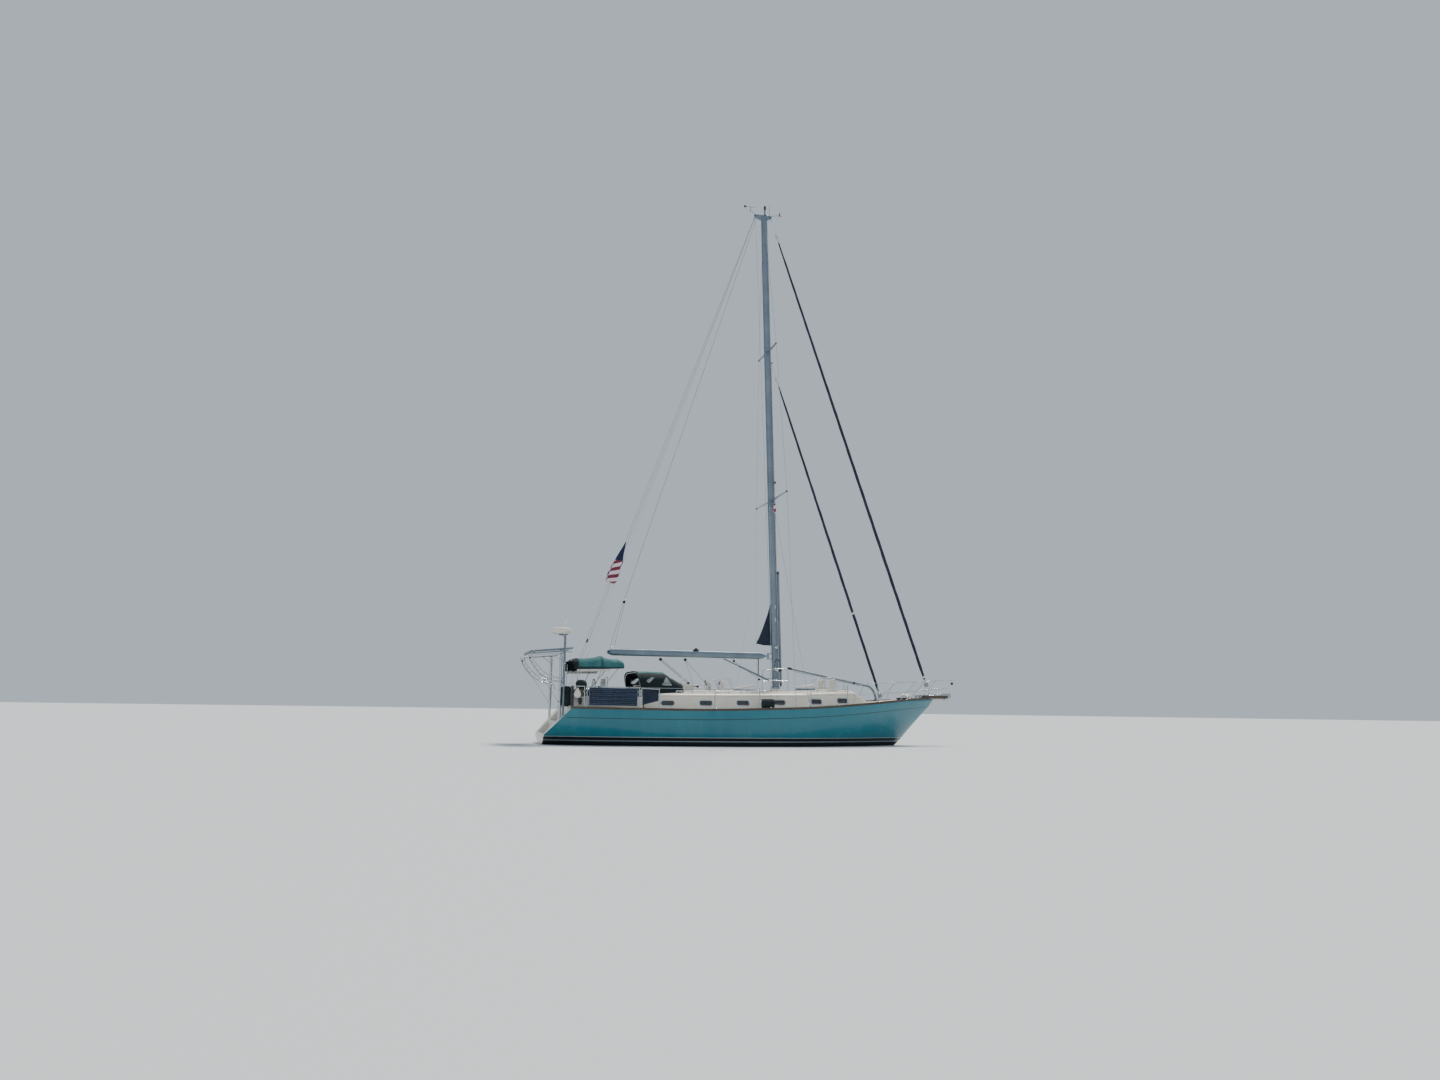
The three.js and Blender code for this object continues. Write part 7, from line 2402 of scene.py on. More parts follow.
# Radar. A stout alloy pole beside the starboard davit with a plate on top, a white scanner dome, and an
# aerial with a short mast of its own behind it. Its cable is clipped flat under the plate and down the pole.
pole = Shape()
pole_x, pole_y = -5.12, -1.345
tube(pole, [(pole_x, pole_y, 0.70), (pole_x, pole_y, 3.14)], [0.030, 0.026], 0, 24)
layered(pole, (-5.185, -1.295, 3.137), (0.25, 0.22), 0.03, [(0, 0), (0, 0.011), (0.002, 0.013)])
for angle in (0.6, 2.2, 3.7, 5.2):
    foot = Vector((pole_x, pole_y, 3.05))
    tip = Vector((-5.185 + 0.085 * math.cos(angle), -1.295 + 0.075 * math.sin(angle), 3.14))
    tube(pole, [foot, tip], 0.007, 0, 8)
for z in (1.66, 2.30):
    box(pole, (pole_x - 0.075, pole_y + 0.01, z), (pole_x + 0.012, -davit_y, z + 0.030), 1)
    turned(pole, (pole_x, pole_y, z - 0.004), (0, 0, 1), [
        (0.031, 0), (0.035, 0.004), (0.035, 0.036), (0.031, 0.040), (0, 0.040),
    ], 1, 24)
for z in (1.05, 1.50, 1.95, 2.45, 2.90):
    turned(pole, (pole_x, pole_y, z), (0, 0, 1), [
        (0.0305, 0), (0.0312, 0.001), (0.0312, 0.008), (0.0305, 0.009), (0, 0.009),
    ], 2, 20)
tube(pole, [
    (-5.30, -1.26, 3.131), (pole_x - 0.10, -1.31, 3.128), (pole_x - 0.050, pole_y + 0.004, 3.118),
    (pole_x - 0.034, pole_y, 3.07), (pole_x - 0.034, pole_y, 1.05),
], 0.0055, 2, 10)
fit(build(pole), "radar_pole", [spar_alloy, stainless, rubber], stands_for=["radar_mast"])
dome = Shape()
turned(dome, (-5.23, -1.26, 3.15), (0, 0, 1), [
    (0.150, 0), (0.190, 0.004), (0.245, 0.026), (0.285, 0.058), (0.298, 0.084), (0.2985, 0.092),
    (0.2955, 0.094), (0.2955, 0.097), (0.2985, 0.099), (0.300, 0.115), (0.296, 0.138), (0.284, 0.160),
    (0.235, 0.180), (0.150, 0.195), (0.07, 0.203), (0, 0.205),
], 0, 64)
turned(dome, (-5.12, -1.26, 3.30), (0, 0, 1), [
    (0.011, 0), (0.011, 0.18), (0.024, 0.19), (0.040, 0.215), (0.040, 0.235), (0.030, 0.25),
    (0.012, 0.256), (0.009, 0.32), (0, 0.32),
], 0, 24)
tube(dome, [(-5.12, -1.26, 3.60), (-5.122, -1.26, 3.98)], [0.003, 0.0015], 1, 8)
for angle in np.linspace(0.4, 2 * math.pi + 0.4, 7)[:-1]:
    turned(dome, (-5.23 + 0.252 * math.cos(angle), -1.26 + 0.252 * math.sin(angle), 3.175), (0, 0, -1), [
        (0.009, -0.02), (0.009, 0.004), (0.005, 0.008), (0, 0.008),
    ], 1, 8)
fit(build(dome), "radar_dome", [moulding, stainless], stands_for=["radome"])

# Outboard. A small engine stowed upright on a teak pad on the starboard quarter rail: bracket with two
# clamp screws, leg and gear case. Its head is under a tied cloth cover, lofted with soft pleats.
motor = Shape()
box(motor, (-4.735, -1.62, 1.40), (-4.56, -1.585, 1.60), 1)
jaw = [
    (-1.64, 1.60), (-1.64, 1.48), (-1.622, 1.48), (-1.622, 1.585), (-1.585, 1.585), (-1.585, 1.42),
    (-1.50, 1.42), (-1.50, 1.60),
]
for x in (-4.70, -4.60):
    skin(motor, [[(at, y, z) for y, z in jaw] for at in (x - 0.012, x + 0.012)], 0)
    turned(motor, (x, -1.66, 1.52), (0, 1, 0), [
        (0.016, -0.004), (0.018, 0.002), (0.006, 0.008), (0.006, 0.05), (0, 0.05),
    ], 2, 16)
skin(motor, [
    [(-4.65 + a * cx, -1.43 + b * sy, z) for cx, sy in rounded_outline(2, 2, 0.8, 5)]
    for z, a, b in (
        (1.60, 0.082, 0.072), (1.50, 0.076, 0.062), (1.40, 0.060, 0.038), (1.28, 0.050, 0.028),
        (1.245, 0.048, 0.025), (1.24, 0.070, 0.052), (1.23, 0.070, 0.052), (1.225, 0.042, 0.022),
        (1.19, 0.040, 0.024), (1.165, 0.034, 0.022), (1.15, 0.022, 0.012),
    )
], 0)
fit(
    softened(build(motor), 0.002, 40), "outboard_leg", [engine_paint, teak, stainless],
    stands_for=["outboard"],
)
cover_cloth, tree, shader, marks = drifting(
    (16, 27, 29), (30, 46, 46), (3.0, 7.0), "cover_cloth", (20, 33, 34), 0.92,
)
cloth_bump(tree, shader, 240.0, 0.004, 7.0)
cover_foot, cover_way = Vector((-4.65, -1.43, 1.56)), Vector((0.12, 0, 1)).normalized()
cover_side = cover_way.orthogonal().normalized()
cover_other = cover_way.cross(cover_side)
cover_profile = [
    (0.092, -0.005), (0.098, 0.004), (0.094, 0.016), (0.100, 0.024), (0.128, 0.046), (0.150, 0.080),
    (0.160, 0.125), (0.163, 0.18),
    (0.155, 0.222), (0.133, 0.258), (0.100, 0.281), (0.055, 0.294), (0.016, 0.298),
]
shells = []
for inner in (0, 1):
    rings = []
    for radius, reach in cover_profile:
        ring = []
        for angle in turns(48):
            pleat = 0.5 + 0.5 * math.cos(14 * angle + 2.0 * math.sin(angle))
            low_share = max(0.0, 1 - reach / 0.16)
            gathers = 0.006 * math.sin(3 * angle + 22 * reach) * min(1.0, radius / 0.1)
            wide = max(radius - (0.010 * pleat * low_share + gathers) - 0.003 * inner, 0.004)
            height = reach - 0.003 * inner * (radius < 0.12 and reach > 0.2)
            around = cover_side * math.cos(angle) + cover_other * math.sin(angle)
            ring.append(cover_foot + cover_way * height + around * wide)
        rings.append(ring)
    shells.append(rings)
cover = Shape()
skin(cover, [*shells[0][::-1], *shells[1]])
cover_piece = fit(build(cover, crease=70), "outboard_cover", [cover_cloth])
tie = Shape()
hoop(tie, cover_foot + cover_way * 0.016, cover_side, cover_other, 0.094, 0.0032, 0, 32)
fit(build(tie), "cover_tie", [dark_rope])

# Things tied to the rails: a white teardrop fender, a dark cloth bag laced between the radar pole and the
# stern rail, a dark drum lashed inside the starboard lifelines, and navy cloths laced to the rails.
fender = Shape()
turned(fender, (-4.755, -1.60, 1.335), (0, 0, 1), [
    (0.010, 0), (0.030, 0.002), (0.066, 0.020), (0.092, 0.055), (0.102, 0.10), (0.098, 0.145), (0.078, 0.195),
    (0.048, 0.235), (0.028, 0.258), (0.024, 0.275), (0.028, 0.285), (0.010, 0.290), (0, 0.290),
], 0, 40)
fit(build(fender), "stern_fender", [moulding])
lanyard = rods("lanyard", [
    [(-4.755, -1.60, 1.62), (-4.76, -1.595, rail_point(-4.76, -1, rail_height).z)]
], 0.004, dark_rope, 0)
fit(lanyard, "fender_lanyard", [dark_rope])
bag = Shape()
bag_middle = Vector((-5.047, -1.275, 1.385))
bag_outline = rounded_outline(0.262, 0.560, 0.070, 8)
rings = []
for angle in np.linspace(-1.5, 1.5, 19):
    spread, out = math.cos(angle) ** 0.45, 0.062 * math.sin(angle)
    ring = []
    for u, w in bag_outline:
        sag = 0.012 * math.cos(angle) * (0.5 - w / 0.56) * math.cos(math.pi * u / 0.27)
        fold = 0.003 * math.sin(26 * w + 9 * u) * math.cos(angle) ** 0.5
        bulge = out * (1 + 0.3 * (0.5 - w / 0.56))
        ring.append(bag_middle + Vector((u * spread + fold, -bulge - fold, w * spread - sag)))
    rings.append(ring)
skin(bag, rings)
bag_piece = fit(build(bag, crease=60), "quarter_bag", [cover_cloth])
bag_ties = Shape()
tube(bag_ties, [
    bag_middle + Vector((u * 1.01, 0, w * 1.006)) for u, w in bag_outline
], 0.0045, 0, 8, loop=True)
for height in (0.17, -0.16):
    hoop(bag_ties, (-5.23, -1.26, bag_middle.z + height), (1, 0, 0), (0, 1, 0), 0.053, 0.005)
for start, end in (
    ((-0.115, 0.005, 0.17), (-0.135, 0.012, 0.17)), ((0.12, 0.0, 0.20), (0.157, -0.005, 0.272)),
    ((-0.115, 0.005, -0.16), (-0.135, 0.012, -0.16)), ((0.12, 0.0, -0.06), (0.157, -0.005, -0.030)),
):
    tube(bag_ties, [bag_middle + Vector(start), bag_middle + Vector(end)], 0.004, 0, 8)
fit(build(bag_ties), "quarter_bag_ties", [dark_rope])
drum = Shape()
drum_middle = Vector((0.835, -(sheer_half(0.835) - 0.245), deck_top(0.835, 1.75) + 0.156))
turned(drum, drum_middle - Vector((0.175, 0, 0)), (1, 0, 0), [
    (0.05, 0), (0.120, 0.002), (0.146, 0.012), (0.151, 0.035), (0.147, 0.050), (0.151, 0.065),
    (0.152, 0.285), (0.147, 0.300),
    (0.151, 0.315), (0.146, 0.338), (0.120, 0.348), (0.05, 0.350), (0, 0.350),
], 0, 40)
fit(build(drum), "lashed_drum", [cover_cloth])
lashing = Shape()
for shift in (-0.10, 0.10):
    hoop(lashing, drum_middle + Vector((shift, 0, 0)), (0, 1, 0), (0, 0, 1), 0.1565, 0.005, 0, 28)
    tube(lashing, [
        drum_middle + Vector((shift, -0.14, 0.075)), rail_point(0.52, -1, mid_height) + sideways(0.012),
    ], 0.0045, 0, 8)
fit(build(lashing), "drum_lashing", [dark_rope])


def loose_panel(corners, columns, rows, ripple, thickness=0.004):
    """A thin closed cloth between four corners (top aft, top fore, foot fore, foot aft), rippled."""
    top_aft, top_fore, foot_fore, foot_aft = [Vector(c) for c in corners]
    normal = (top_fore - top_aft).cross(foot_aft - top_aft).normalized()

    def point_at(v, u, face):
        point = top_aft.lerp(top_fore, u).lerp(foot_aft.lerp(foot_fore, u), v)
        wave = ripple * math.sin(math.pi * u) * math.sin(math.pi * v) * math.sin(7 * u + 3 * v)
        scallop = 0.006 * math.sin(math.pi * 6 * u) ** 2 * (1 - v)
        return point + normal * (wave + face * thickness / 2) - up(scallop)

    shape = Shape()
    two_sided(shape, point_at, np.linspace(0, 1, rows + 1), np.linspace(0, 1, columns + 1))
    return build(shape, crease=70)


for name, side in both_sides.items():
    outside = sideways(side * 0.012)
    cloth_piece = fit(loose_panel([
        rail_point(-2.94, side, rail_height - 0.045) + outside,
        rail_point(-2.485, side, rail_height - 0.06) + outside,
        rail_point(-2.485, side, 0.27) + outside, rail_point(-2.94, side, 0.15) + outside,
    ], 16, 14, 0.006), f"gate_cloth_{name}", [navy_cloth])

rail_line = eased(stern_rail(-1, 0)[1:], 12)[9:]
last = len(rail_line) - 1


def weather_cloth_point(height, place, inset):
    before, after = rail_line[max(place - 1, 0)], rail_line[min(place + 1, last)]
    inward = Vector((before.y - after.y, after.x - before.x, 0)).normalized()
    slack = 0.012 * math.sin(math.pi * place / last) * math.sin(math.pi * height / rail_height)
    return rail_line[place] + inward * (inset + slack) + up(height)


weather_cloth = Shape()
cloth_heights = np.linspace(rail_height - 0.020, 0.075, 24)
two_sided(weather_cloth, weather_cloth_point, cloth_heights, range(last + 1), (0.017, 0.020))
cloth_piece = fit(build(weather_cloth, crease=70), "stern_rail_cloth", [navy_cloth])
lacing = Shape()
for height in (rail_height, mid_height):
    for place in range(3, len(rail_line) - 2, 4):
        at = rail_line[place] + up(height)
        way = (rail_line[place + 1] - rail_line[place - 1]).normalized()
        hoop(lacing, at, way.cross(up(1)), (0, 0, 1), 0.018, 0.0025, 0, 16, 6)
fit(build(lacing), "stern_rail_lacing", [dark_rope])

# Lines over the boom. The topping lift comes down from the masthead to a block, and from there in two
# parts to the boom's end; the backstay has a ribbed insulator above the awning.
boom_tip = Vector((-3.53, 0, gooseneck.z + boom_depth + 0.012))
lift_block = Vector((-3.20, 0, 4.28))
lift_head = Vector((0.93, 0, 17.30))
lift = rods("lift", [[
    lift_head.lerp(lift_block + up(0.06), share) for share in np.linspace(0, 1, 30)
]], 0.0045, dark_rope, 0)
spanning(lift, "topping_lift", [dark_rope])
tackle = Shape()
block(tackle, lift_block, lift_head - lift_block, 0.085, 1, 0)
for shift in (-0.018, 0.018):
    tube(tackle, [
        lift_block + Vector((shift, 0, -0.02)), boom_tip + Vector((shift * 3.2, 0, 0.02)),
    ], 0.004, 2, 8)
tube(tackle, [
    boom_tip + Vector((-0.06, 0, -0.01)), boom_tip + Vector((-0.045, 0, 0.03)),
    boom_tip + Vector((0.045, 0, 0.03)), boom_tip + Vector((0.06, 0, -0.01)),
], 0.006, 0, 8)
fit(build(tackle), "topping_lift_tackle", [stainless, rubber, dark_rope], "boom")
backstay_foot, backstay_head = Vector((-4.79, 0, 1.69)), Vector((0.868, 0, 17.345))
backstay_way = (backstay_head - backstay_foot).normalized()
insulator = Shape()
turned(insulator, backstay_foot + backstay_way * ((3.0 - 1.69) / backstay_way.z), backstay_way, [
    (0.008, 0), (0.013, 0.006), (0.015, 0.02), (0.024, 0.032), (0.026, 0.04), (0.018, 0.05),
    (0.026, 0.06), (0.018, 0.07),
    (0.026, 0.08), (0.018, 0.09), (0.024, 0.10), (0.015, 0.112), (0.013, 0.13), (0.008, 0.14), (0, 0.14),
], 0, 20)
fit(build(insulator), "backstay_insulator", [rubber])

# Cloth over the cockpit. Acrylic canvas, green, turned near black by painted shade on its inner side
# and at the ends and edges, sewn in panels with pockets for the bows and bound at its rim.
green_cloth, tree, shader = surface("green_canvas", (52, 104, 108), 0.9)
marks = weathered(tree, 1.6, 5.0)
dark_and_shade_node = put(tree, "ShaderNodeAttribute", attribute_name="dark_and_shade_share")
sunny = blend_colours(tree, marks["Patches"], paint(44, 98, 102), paint(66, 122, 122))
worn = stained(tree, sunny, marks["Runs"], 0.35, 84, 132, 132)
# The attribute's share mixes in near black: painted shade on the inner side, at the awning's aft end and
# lower edges, and on the spray hood's sides, which are taken as dark cloth as well.
tree.links.new(
    blend_colours(tree, dark_and_shade_node.outputs["Fac"], worn, paint(16, 30, 36)), shader.inputs["Base Color"],
)
cloth_bump(tree, shader, 230.0, 0.005, 4.0)
thread_white, tree, shader = surface("sail_thread", (150, 160, 160), 0.8)
marks = weathered(tree, 8.0, 12.0)
tree.links.new(
    blend_colours(tree, marks["Specks"], paint(128, 140, 142), paint(170, 178, 176)),
    shader.inputs["Base Color"],
)
clear_vinyl, tree, shader = surface(
    "clear_vinyl", (226, 236, 238), 0.08, Transmission_Weight=0.85, Coat_Weight=0.4,
)
marks = weathered(tree, 3.0, 6.0)
roughened(tree, shader, marks["Patches"], 0.05, 0.16)


def arch_point(row, theta, lift=0.0):
    """A point of an arch of cloth: row is half width, foot height, crown height and squareness."""
    half, foot, crown, square = row
    c, s = math.cos(theta), math.sin(theta)
    y = math.copysign(abs(c) ** square, c)
    z = max(s, 0.0) ** square
    slope = Vector((y ** 3 * (crown - foot), z ** 3 * half + 0.0001)).normalized()
    return Vector(((half * y) + slope.x * lift, foot + (crown - foot) * z + slope.y * lift))


def even_angles(row, count):
    """Angles round an arch that leave its points an even distance apart."""
    fine = np.linspace(0, math.pi, 1500)
    points = [arch_point(row, theta) for theta in fine]
    steps = [0.0] + [(b - a).length for a, b in zip(points, points[1:])]
    reached = np.cumsum(steps)
    return np.interp(np.linspace(0, reached[-1], count), reached, fine)


def on_cloth(row_at, relief, x, theta, lift=0.0):
    """A point on a canopy with its relief, or stood off from it."""
    return x, *arch_point(row_at(x), theta, relief(x, theta) + lift)


def canopy(stations, row_at, relief, steps=112, thickness=0.005):
    """A canvas arch along stations in x, relief standing off its plain surface."""
    angles = even_angles(row_at(stations[len(stations) // 2]), steps)

    def point_at(x, theta, side):
        return on_cloth(row_at, relief, x, theta, side * thickness / 2)

    shape = Shape()
    two_sided(shape, point_at, stations, angles)
    return shape


def shaded_cloth(mesh, rule):
    """Writes the share of near black at each point, for its colour: painted shade, and on some parts dark
    cloth. Its inner side is painted in shade all over.
    """
    share = mesh.attributes.new("dark_and_shade_share", "FLOAT", "POINT")
    share.data.foreach_set("value", [
        1.0 if v.normal.y * v.co.y + v.normal.z * (v.co.z - 1.3) < 0 else rule(*v.co) for v in mesh.vertices
    ])


def ramp(value, low, high):
    share = min(max((value - low) / (high - low), 0.0), 1.0)
    return share * share * (3 - 2 * share)


# Awning over the cockpit. One sheet stretched over three bows, sagging a little between them, with a
# rolled fore end, a slot for the backstay and a pale strip along each side.
awning_table = [
    (-4.82, 1.190, 2.170, 2.445, 0.42), (-4.72, 1.220, 2.170, 2.500, 0.40),
    (-4.01, 1.260, 2.190, 2.580, 0.42), (-3.52, 1.250, 2.205, 2.500, 0.42),
    (-3.40, 1.225, 2.215, 2.440, 0.44), (-3.36, 1.200, 2.220, 2.400, 0.45),
]
awning_bows = (-4.72, -4.01, -3.52)


def awning_row(x):
    xs = [row[0] for row in awning_table]
    return [float(np.interp(x, xs, [row[c] for row in awning_table])) for c in range(1, 5)]


def awning_relief(x, theta):
    gaps = list(zip(awning_bows, awning_bows[1:]))
    sag = 0.0
    for aft, fore in gaps:
        if aft < x < fore:
            sag = 0.030 * math.sin(math.pi * (x - aft) / (fore - aft)) * math.sin(theta) ** 0.5
    pocket = sum(0.005 * math.exp(-((x - at) / 0.022) ** 2) for at in awning_bows)
    seams = sum(0.0025 * math.exp(-((theta - at) / 0.012) ** 2) for at in (1.05, 2.09))
    pull = 0.006 * math.sin(9 * theta + 3 * x) * math.sin(5.3 * x) * math.cos(theta) ** 2
    flutter = 0.010 * math.sin(17 * x) * max(0.0, abs(math.cos(theta)) - 0.93) / 0.07
    roll = 0.018 * math.exp(-((x + 3.41) / 0.045) ** 2)
    return pocket + seams + pull + flutter + roll - sag


stations = sorted({*np.linspace(-4.82, -3.36, 80), *awning_bows})
shell = build(canopy(stations, awning_row, awning_relief), crease=60)
shell = carved(shell, [upright([
    (-4.56, -0.100), (-4.56, 0.050), (-4.24, 0.050), (-4.22, 0.030), (-4.22, -0.080), (-4.24, -0.100),
], 2.2, 2.9)], 60)
# Painted shade: near black at the aft end and along the lower edges, and partly dark along the middle bow.
shaded_cloth(shell, lambda x, y, z: max(
    1 - ramp(x, -4.74, -4.62), 1 - ramp(z, 2.20, 2.28),
    0.25 + 0.35 * (1 - ramp(abs(x + 4.01), 0.0, 0.05)) if abs(x + 4.01) < 0.05 else 0,
))
awning = fit(shell, "awning_cloth", [green_cloth], stands_for=["bimini_canopy"])
binding = Shape()
for side_theta in (0.0, math.pi):
    tube(binding, [
        on_cloth(awning_row, awning_relief, x, side_theta) for x in stations[::3] + [stations[-1]]
    ], 0.006, 0, 8)
for x in (stations[0], stations[-1]):
    tube(binding, [
        on_cloth(awning_row, awning_relief, x, t) for t in np.linspace(0, math.pi, 72)
    ], 0.006, 0, 8)
binding = build(binding, crease=60)
# The binding gets the full near black.
shaded_cloth(binding, lambda x, y, z: 1.0)
fit(binding, "awning_binding", [green_cloth])
stitch = Shape()
box(stitch, (-0.0032, -0.0006, -0.0004), (0.0032, 0.0006, 0.0009))
seam_lines, seam_out = [], []
for at in awning_bows:
    for shift in (-0.026, 0.026):
        line = [
            on_cloth(awning_row, awning_relief, at + shift, t, 0.0026)
            for t in np.linspace(0.12, math.pi - 0.12, 60)
        ]
        for first in range(0, 59, 6):
            piece_of = line[first:first + 7]
            middle = piece_of[len(piece_of) // 2]
            seam_lines.append(piece_of)
            seam_out.append((0, middle[1] ** 3 * 0.2, max(middle[2] - 2.1, 0.05)))
fit(
    row_of("seams", seam_lines, stitch, 0.011, thread_white, seam_out), "awning_stitching",
    [thread_white],
)
for name, side in both_sides.items():
    def strip_point(v, x, shift):
        half, foot = awning_row(x)[:2]
        return x, side * (half - 0.012 + 0.004 * math.sin(11 * x) * v + shift), foot + 0.012 - 0.085 * v

    strip = Shape()
    two_sided(strip, strip_point, np.linspace(0, 1, 6), np.linspace(-4.74, -3.76, 60), (0.0015, -0.0015))
    strip_piece = fit(build(strip, crease=70), f"awning_strip_{name}", [sailcloth])

awning_frame = Shape()
for at, foot_x in zip(awning_bows, (-4.74, -4.32, -4.20)):
    half, foot, crown, square = awning_row(at)
    for side in (1, -1):
        knee = Vector(((foot_x + at) / 2, side * 1.222, 1.80))
        shoulder = Vector((at, side * (half - 0.036), foot + 0.01))
        tube(awning_frame, [(foot_x, side * 1.225, 1.414), knee, shoulder], 0.012, 0, 14)
        turned(awning_frame, (foot_x, side * 1.225, 1.396), (0, 0, 1), [
            (0.034, 0), (0.034, 0.010), (0.018, 0.020), (0.018, 0.034), (0, 0.034),
        ], 1, 18)
    tube(awning_frame, [
        (at, *arch_point((half - 0.036, foot, crown - 0.036, square), t)) for t in np.linspace(0, math.pi, 60)
    ], 0.012, 0, 14)
for side in (1, -1):
    tube(awning_frame, [
        (-4.72, side * 1.184, 2.185), (-4.01, side * 1.222, 2.20), (-3.52, side * 1.214, 2.225),
    ], 0.010, 0, 12)
    for x, z in ((-4.52, 1.80), (-4.47, 1.80)):
        peg(awning_frame, (x, side * 1.240, z), (0, -side, 0), 0.010, 0.034, 1, 10)
fit(build(awning_frame), "awning_frame", [stainless, rubber], stands_for=["bimini_frame"])

# Spray hood. Canvas over two bows at the fore end of the cockpit, its skirt fastened to the coamings
# and the cabin roof, with two clear windows in each side and three in the sloping front.
hood_table = [
    (-2.95, 1.205, 2.165, 0.44), (-2.56, 1.215, 2.190, 0.46), (-2.10, 1.150, 2.160, 0.48),
    (-1.54, 1.030, 1.840, 0.55),
]
# Aft edge of each side, which leans back from its foot to the head: x and height.
hood_foot = 1.404
lean_foot, lean_head = (-2.793, hood_foot), (-2.95, 2.10)


def hood_row(x):
    xs = [row[0] for row in hood_table]
    half, crown, square = [float(np.interp(x, xs, [row[c] for row in hood_table])) for c in (1, 2, 3)]
    on_roof = ramp(x, roof_aft - 0.05, roof_aft + 0.02)
    foot = hood_foot + on_roof * (roof_top(x, half) + 0.006 - hood_foot)
    return [half, foot, crown, square]


def hood_relief(x, theta):
    theta = min(theta, math.pi - theta)
    sag = 0.0
    for aft, fore, depth in ((-2.92, -2.10, 0.022), (-2.10, -1.54, 0.012)):
        if aft < x < fore:
            sag = depth * math.sin(math.pi * (x - aft) / (fore - aft)) * math.sin(theta) ** 0.5
    pocket = 0.005 * math.exp(-((x + 2.10) / 0.022) ** 2)
    pull = 0.005 * math.sin(7 * theta + 5 * x) * math.cos(theta) ** 2 * math.sin(6 * x)
    crease = 0.004 * math.sin(15 * theta) * math.exp(-((x + 1.56) / 0.08) ** 2)
    return pocket + pull + crease - sag


def side_on(x, z):
    """Half width of the spray hood's side at a height."""
    half, foot, crown, square = hood_row(x)
    share = min(max((z - foot) / (crown - foot), 0.0), 1.0)
    theta = math.asin(share ** (1 / square))
    return arch_point((half, foot, crown, square), theta, hood_relief(x, theta)).x


def top_on(x, y):
    """Height of the spray hood's top at a place across it."""
    half, foot, crown, square = hood_row(x)
    theta = math.acos(min(abs(y) / half, 1.0) ** (1 / square))
    theta = theta if y >= 0 else math.pi - theta
    return arch_point((half, foot, crown, square), theta, hood_relief(x, theta)).y


def soft_corners(corners, reach=0.22):
    """A closed outline with its corners cut round."""
    outline = []
    for before, at, after in zip(corners[-1:] + corners[:-1], corners, corners[1:] + corners[:1]):
        b, p, a = Vector(before), Vector(at), Vector(after)
        for share in (0, 0.25, 0.5, 0.75, 1):
            first, second = p.lerp(b, reach), p.lerp(a, reach)
            outline.append(tuple(first.lerp(p, share).lerp(p.lerp(second, share), share)))
    return outline


side_windows = [
    soft_corners([(-2.72, 1.86), (-2.60, 1.80), (-2.40, 1.99), (-2.53, 2.00)]),
    soft_corners([(-2.22, 1.74), (-1.86, 1.74), (-2.06, 2.02)], 0.12),
]
front_windows = [
    soft_corners([(-1.98, a), (-1.64, a + 0.01), (-1.64, b - 0.01), (-1.98, b)], 0.12)
    for a, b in ((-0.76, -0.30), (-0.24, 0.24), (0.30, 0.76))
]
cutters = [across(outline, 1.5) for outline in side_windows]
cutters += [upright(outline, 1.6, 2.5) for outline in front_windows]
cutters.append(across([(-3.2, 1.2), (-2.747, 1.2), lean_foot, lean_head, (-3.2, lean_head[1])], 1.5))
stations = np.linspace(-2.95, -1.54, 80)
shell = carved(build(canopy(stations, hood_row, hood_relief), crease=60), cutters, 60)
# Near black below a band at the top and at the aft end, half dark at the front: painted shade over sides that
# are taken as dark cloth too.
shaded_cloth(shell, lambda x, y, z: max(
    1 - ramp(z, hood_row(x)[2] - 0.10, hood_row(x)[2] - 0.04), ramp(x, -1.68, -1.58) * 0.5,
    1 - ramp(x, -2.91, -2.85),
))
spray_hood = fit(shell, "spray_hood_cloth", [green_cloth], stands_for=["dodger_canopy"])
edges = Shape()
for outline in side_windows:
    for side in (1, -1):
        tube(edges, [(x, side * side_on(x, z), z) for x, z in outline], 0.0045, 0, 8, loop=True)
for outline in front_windows:
    tube(edges, [(x, y, top_on(x, y)) for x, y in outline], 0.0045, 0, 8, loop=True)
front_x = stations[-1]
tube(edges, [
    on_cloth(hood_row, hood_relief, front_x, t) for t in np.linspace(0, math.pi, 72)
], 0.006, 0, 8)
aft_edge = []
for theta in even_angles(hood_row(lean_head[0]), 90):
    _, out, z = on_cloth(hood_row, hood_relief, lean_head[0], theta)
    x = float(np.interp(z, (lean_foot[1], lean_head[1]), (lean_foot[0], lean_head[0])))
    aft_edge.append((x, math.copysign(side_on(x, z), out) if z < lean_head[1] else out, z))
tube(edges, aft_edge, 0.006, 0, 8)
for theta in (0.0, math.pi):
    tube(edges, [
        on_cloth(hood_row, hood_relief, x, theta) for x in stations if x >= lean_foot[0]
    ], 0.006, 0, 8)
edges = build(edges, crease=60)
# The binding gets the full near black.
shaded_cloth(edges, lambda x, y, z: 1.0)
fit(edges, "spray_hood_binding", [green_cloth])
panes = Shape()


def pane_over(outline, steps, shifts, point_at):
    """A pane that is 12 mm larger all round than the outline of its window."""
    firsts, seconds = [
        np.linspace(min(values) - 0.012, max(values) + 0.012, steps) for values in zip(*outline)
    ]
    two_sided(panes, point_at, seconds, firsts, shifts)


for outline in side_windows:
    for side in (1, -1):
        pane_over(outline, 17, (0.0058, 0.0072), lambda z, x, shift: (x, side * (side_on(x, z) - shift), z))
for outline in front_windows:
    pane_over(outline, 25, (0.0050, 0.0064), lambda y, x, shift: (x, y, top_on(x, y) - shift))
fit(build(panes, crease=60), "spray_hood_panes", [clear_vinyl])


def flap_point(share, y, shift):
    x = -1.545 + 0.055 * share
    landing = (hood_top if abs(y) < hood_half + 0.035 else roof_top(x, y)) + 0.004
    return x, y, max(top_on(-1.545, y) - 0.003, landing) * (1 - share) + landing * share + shift


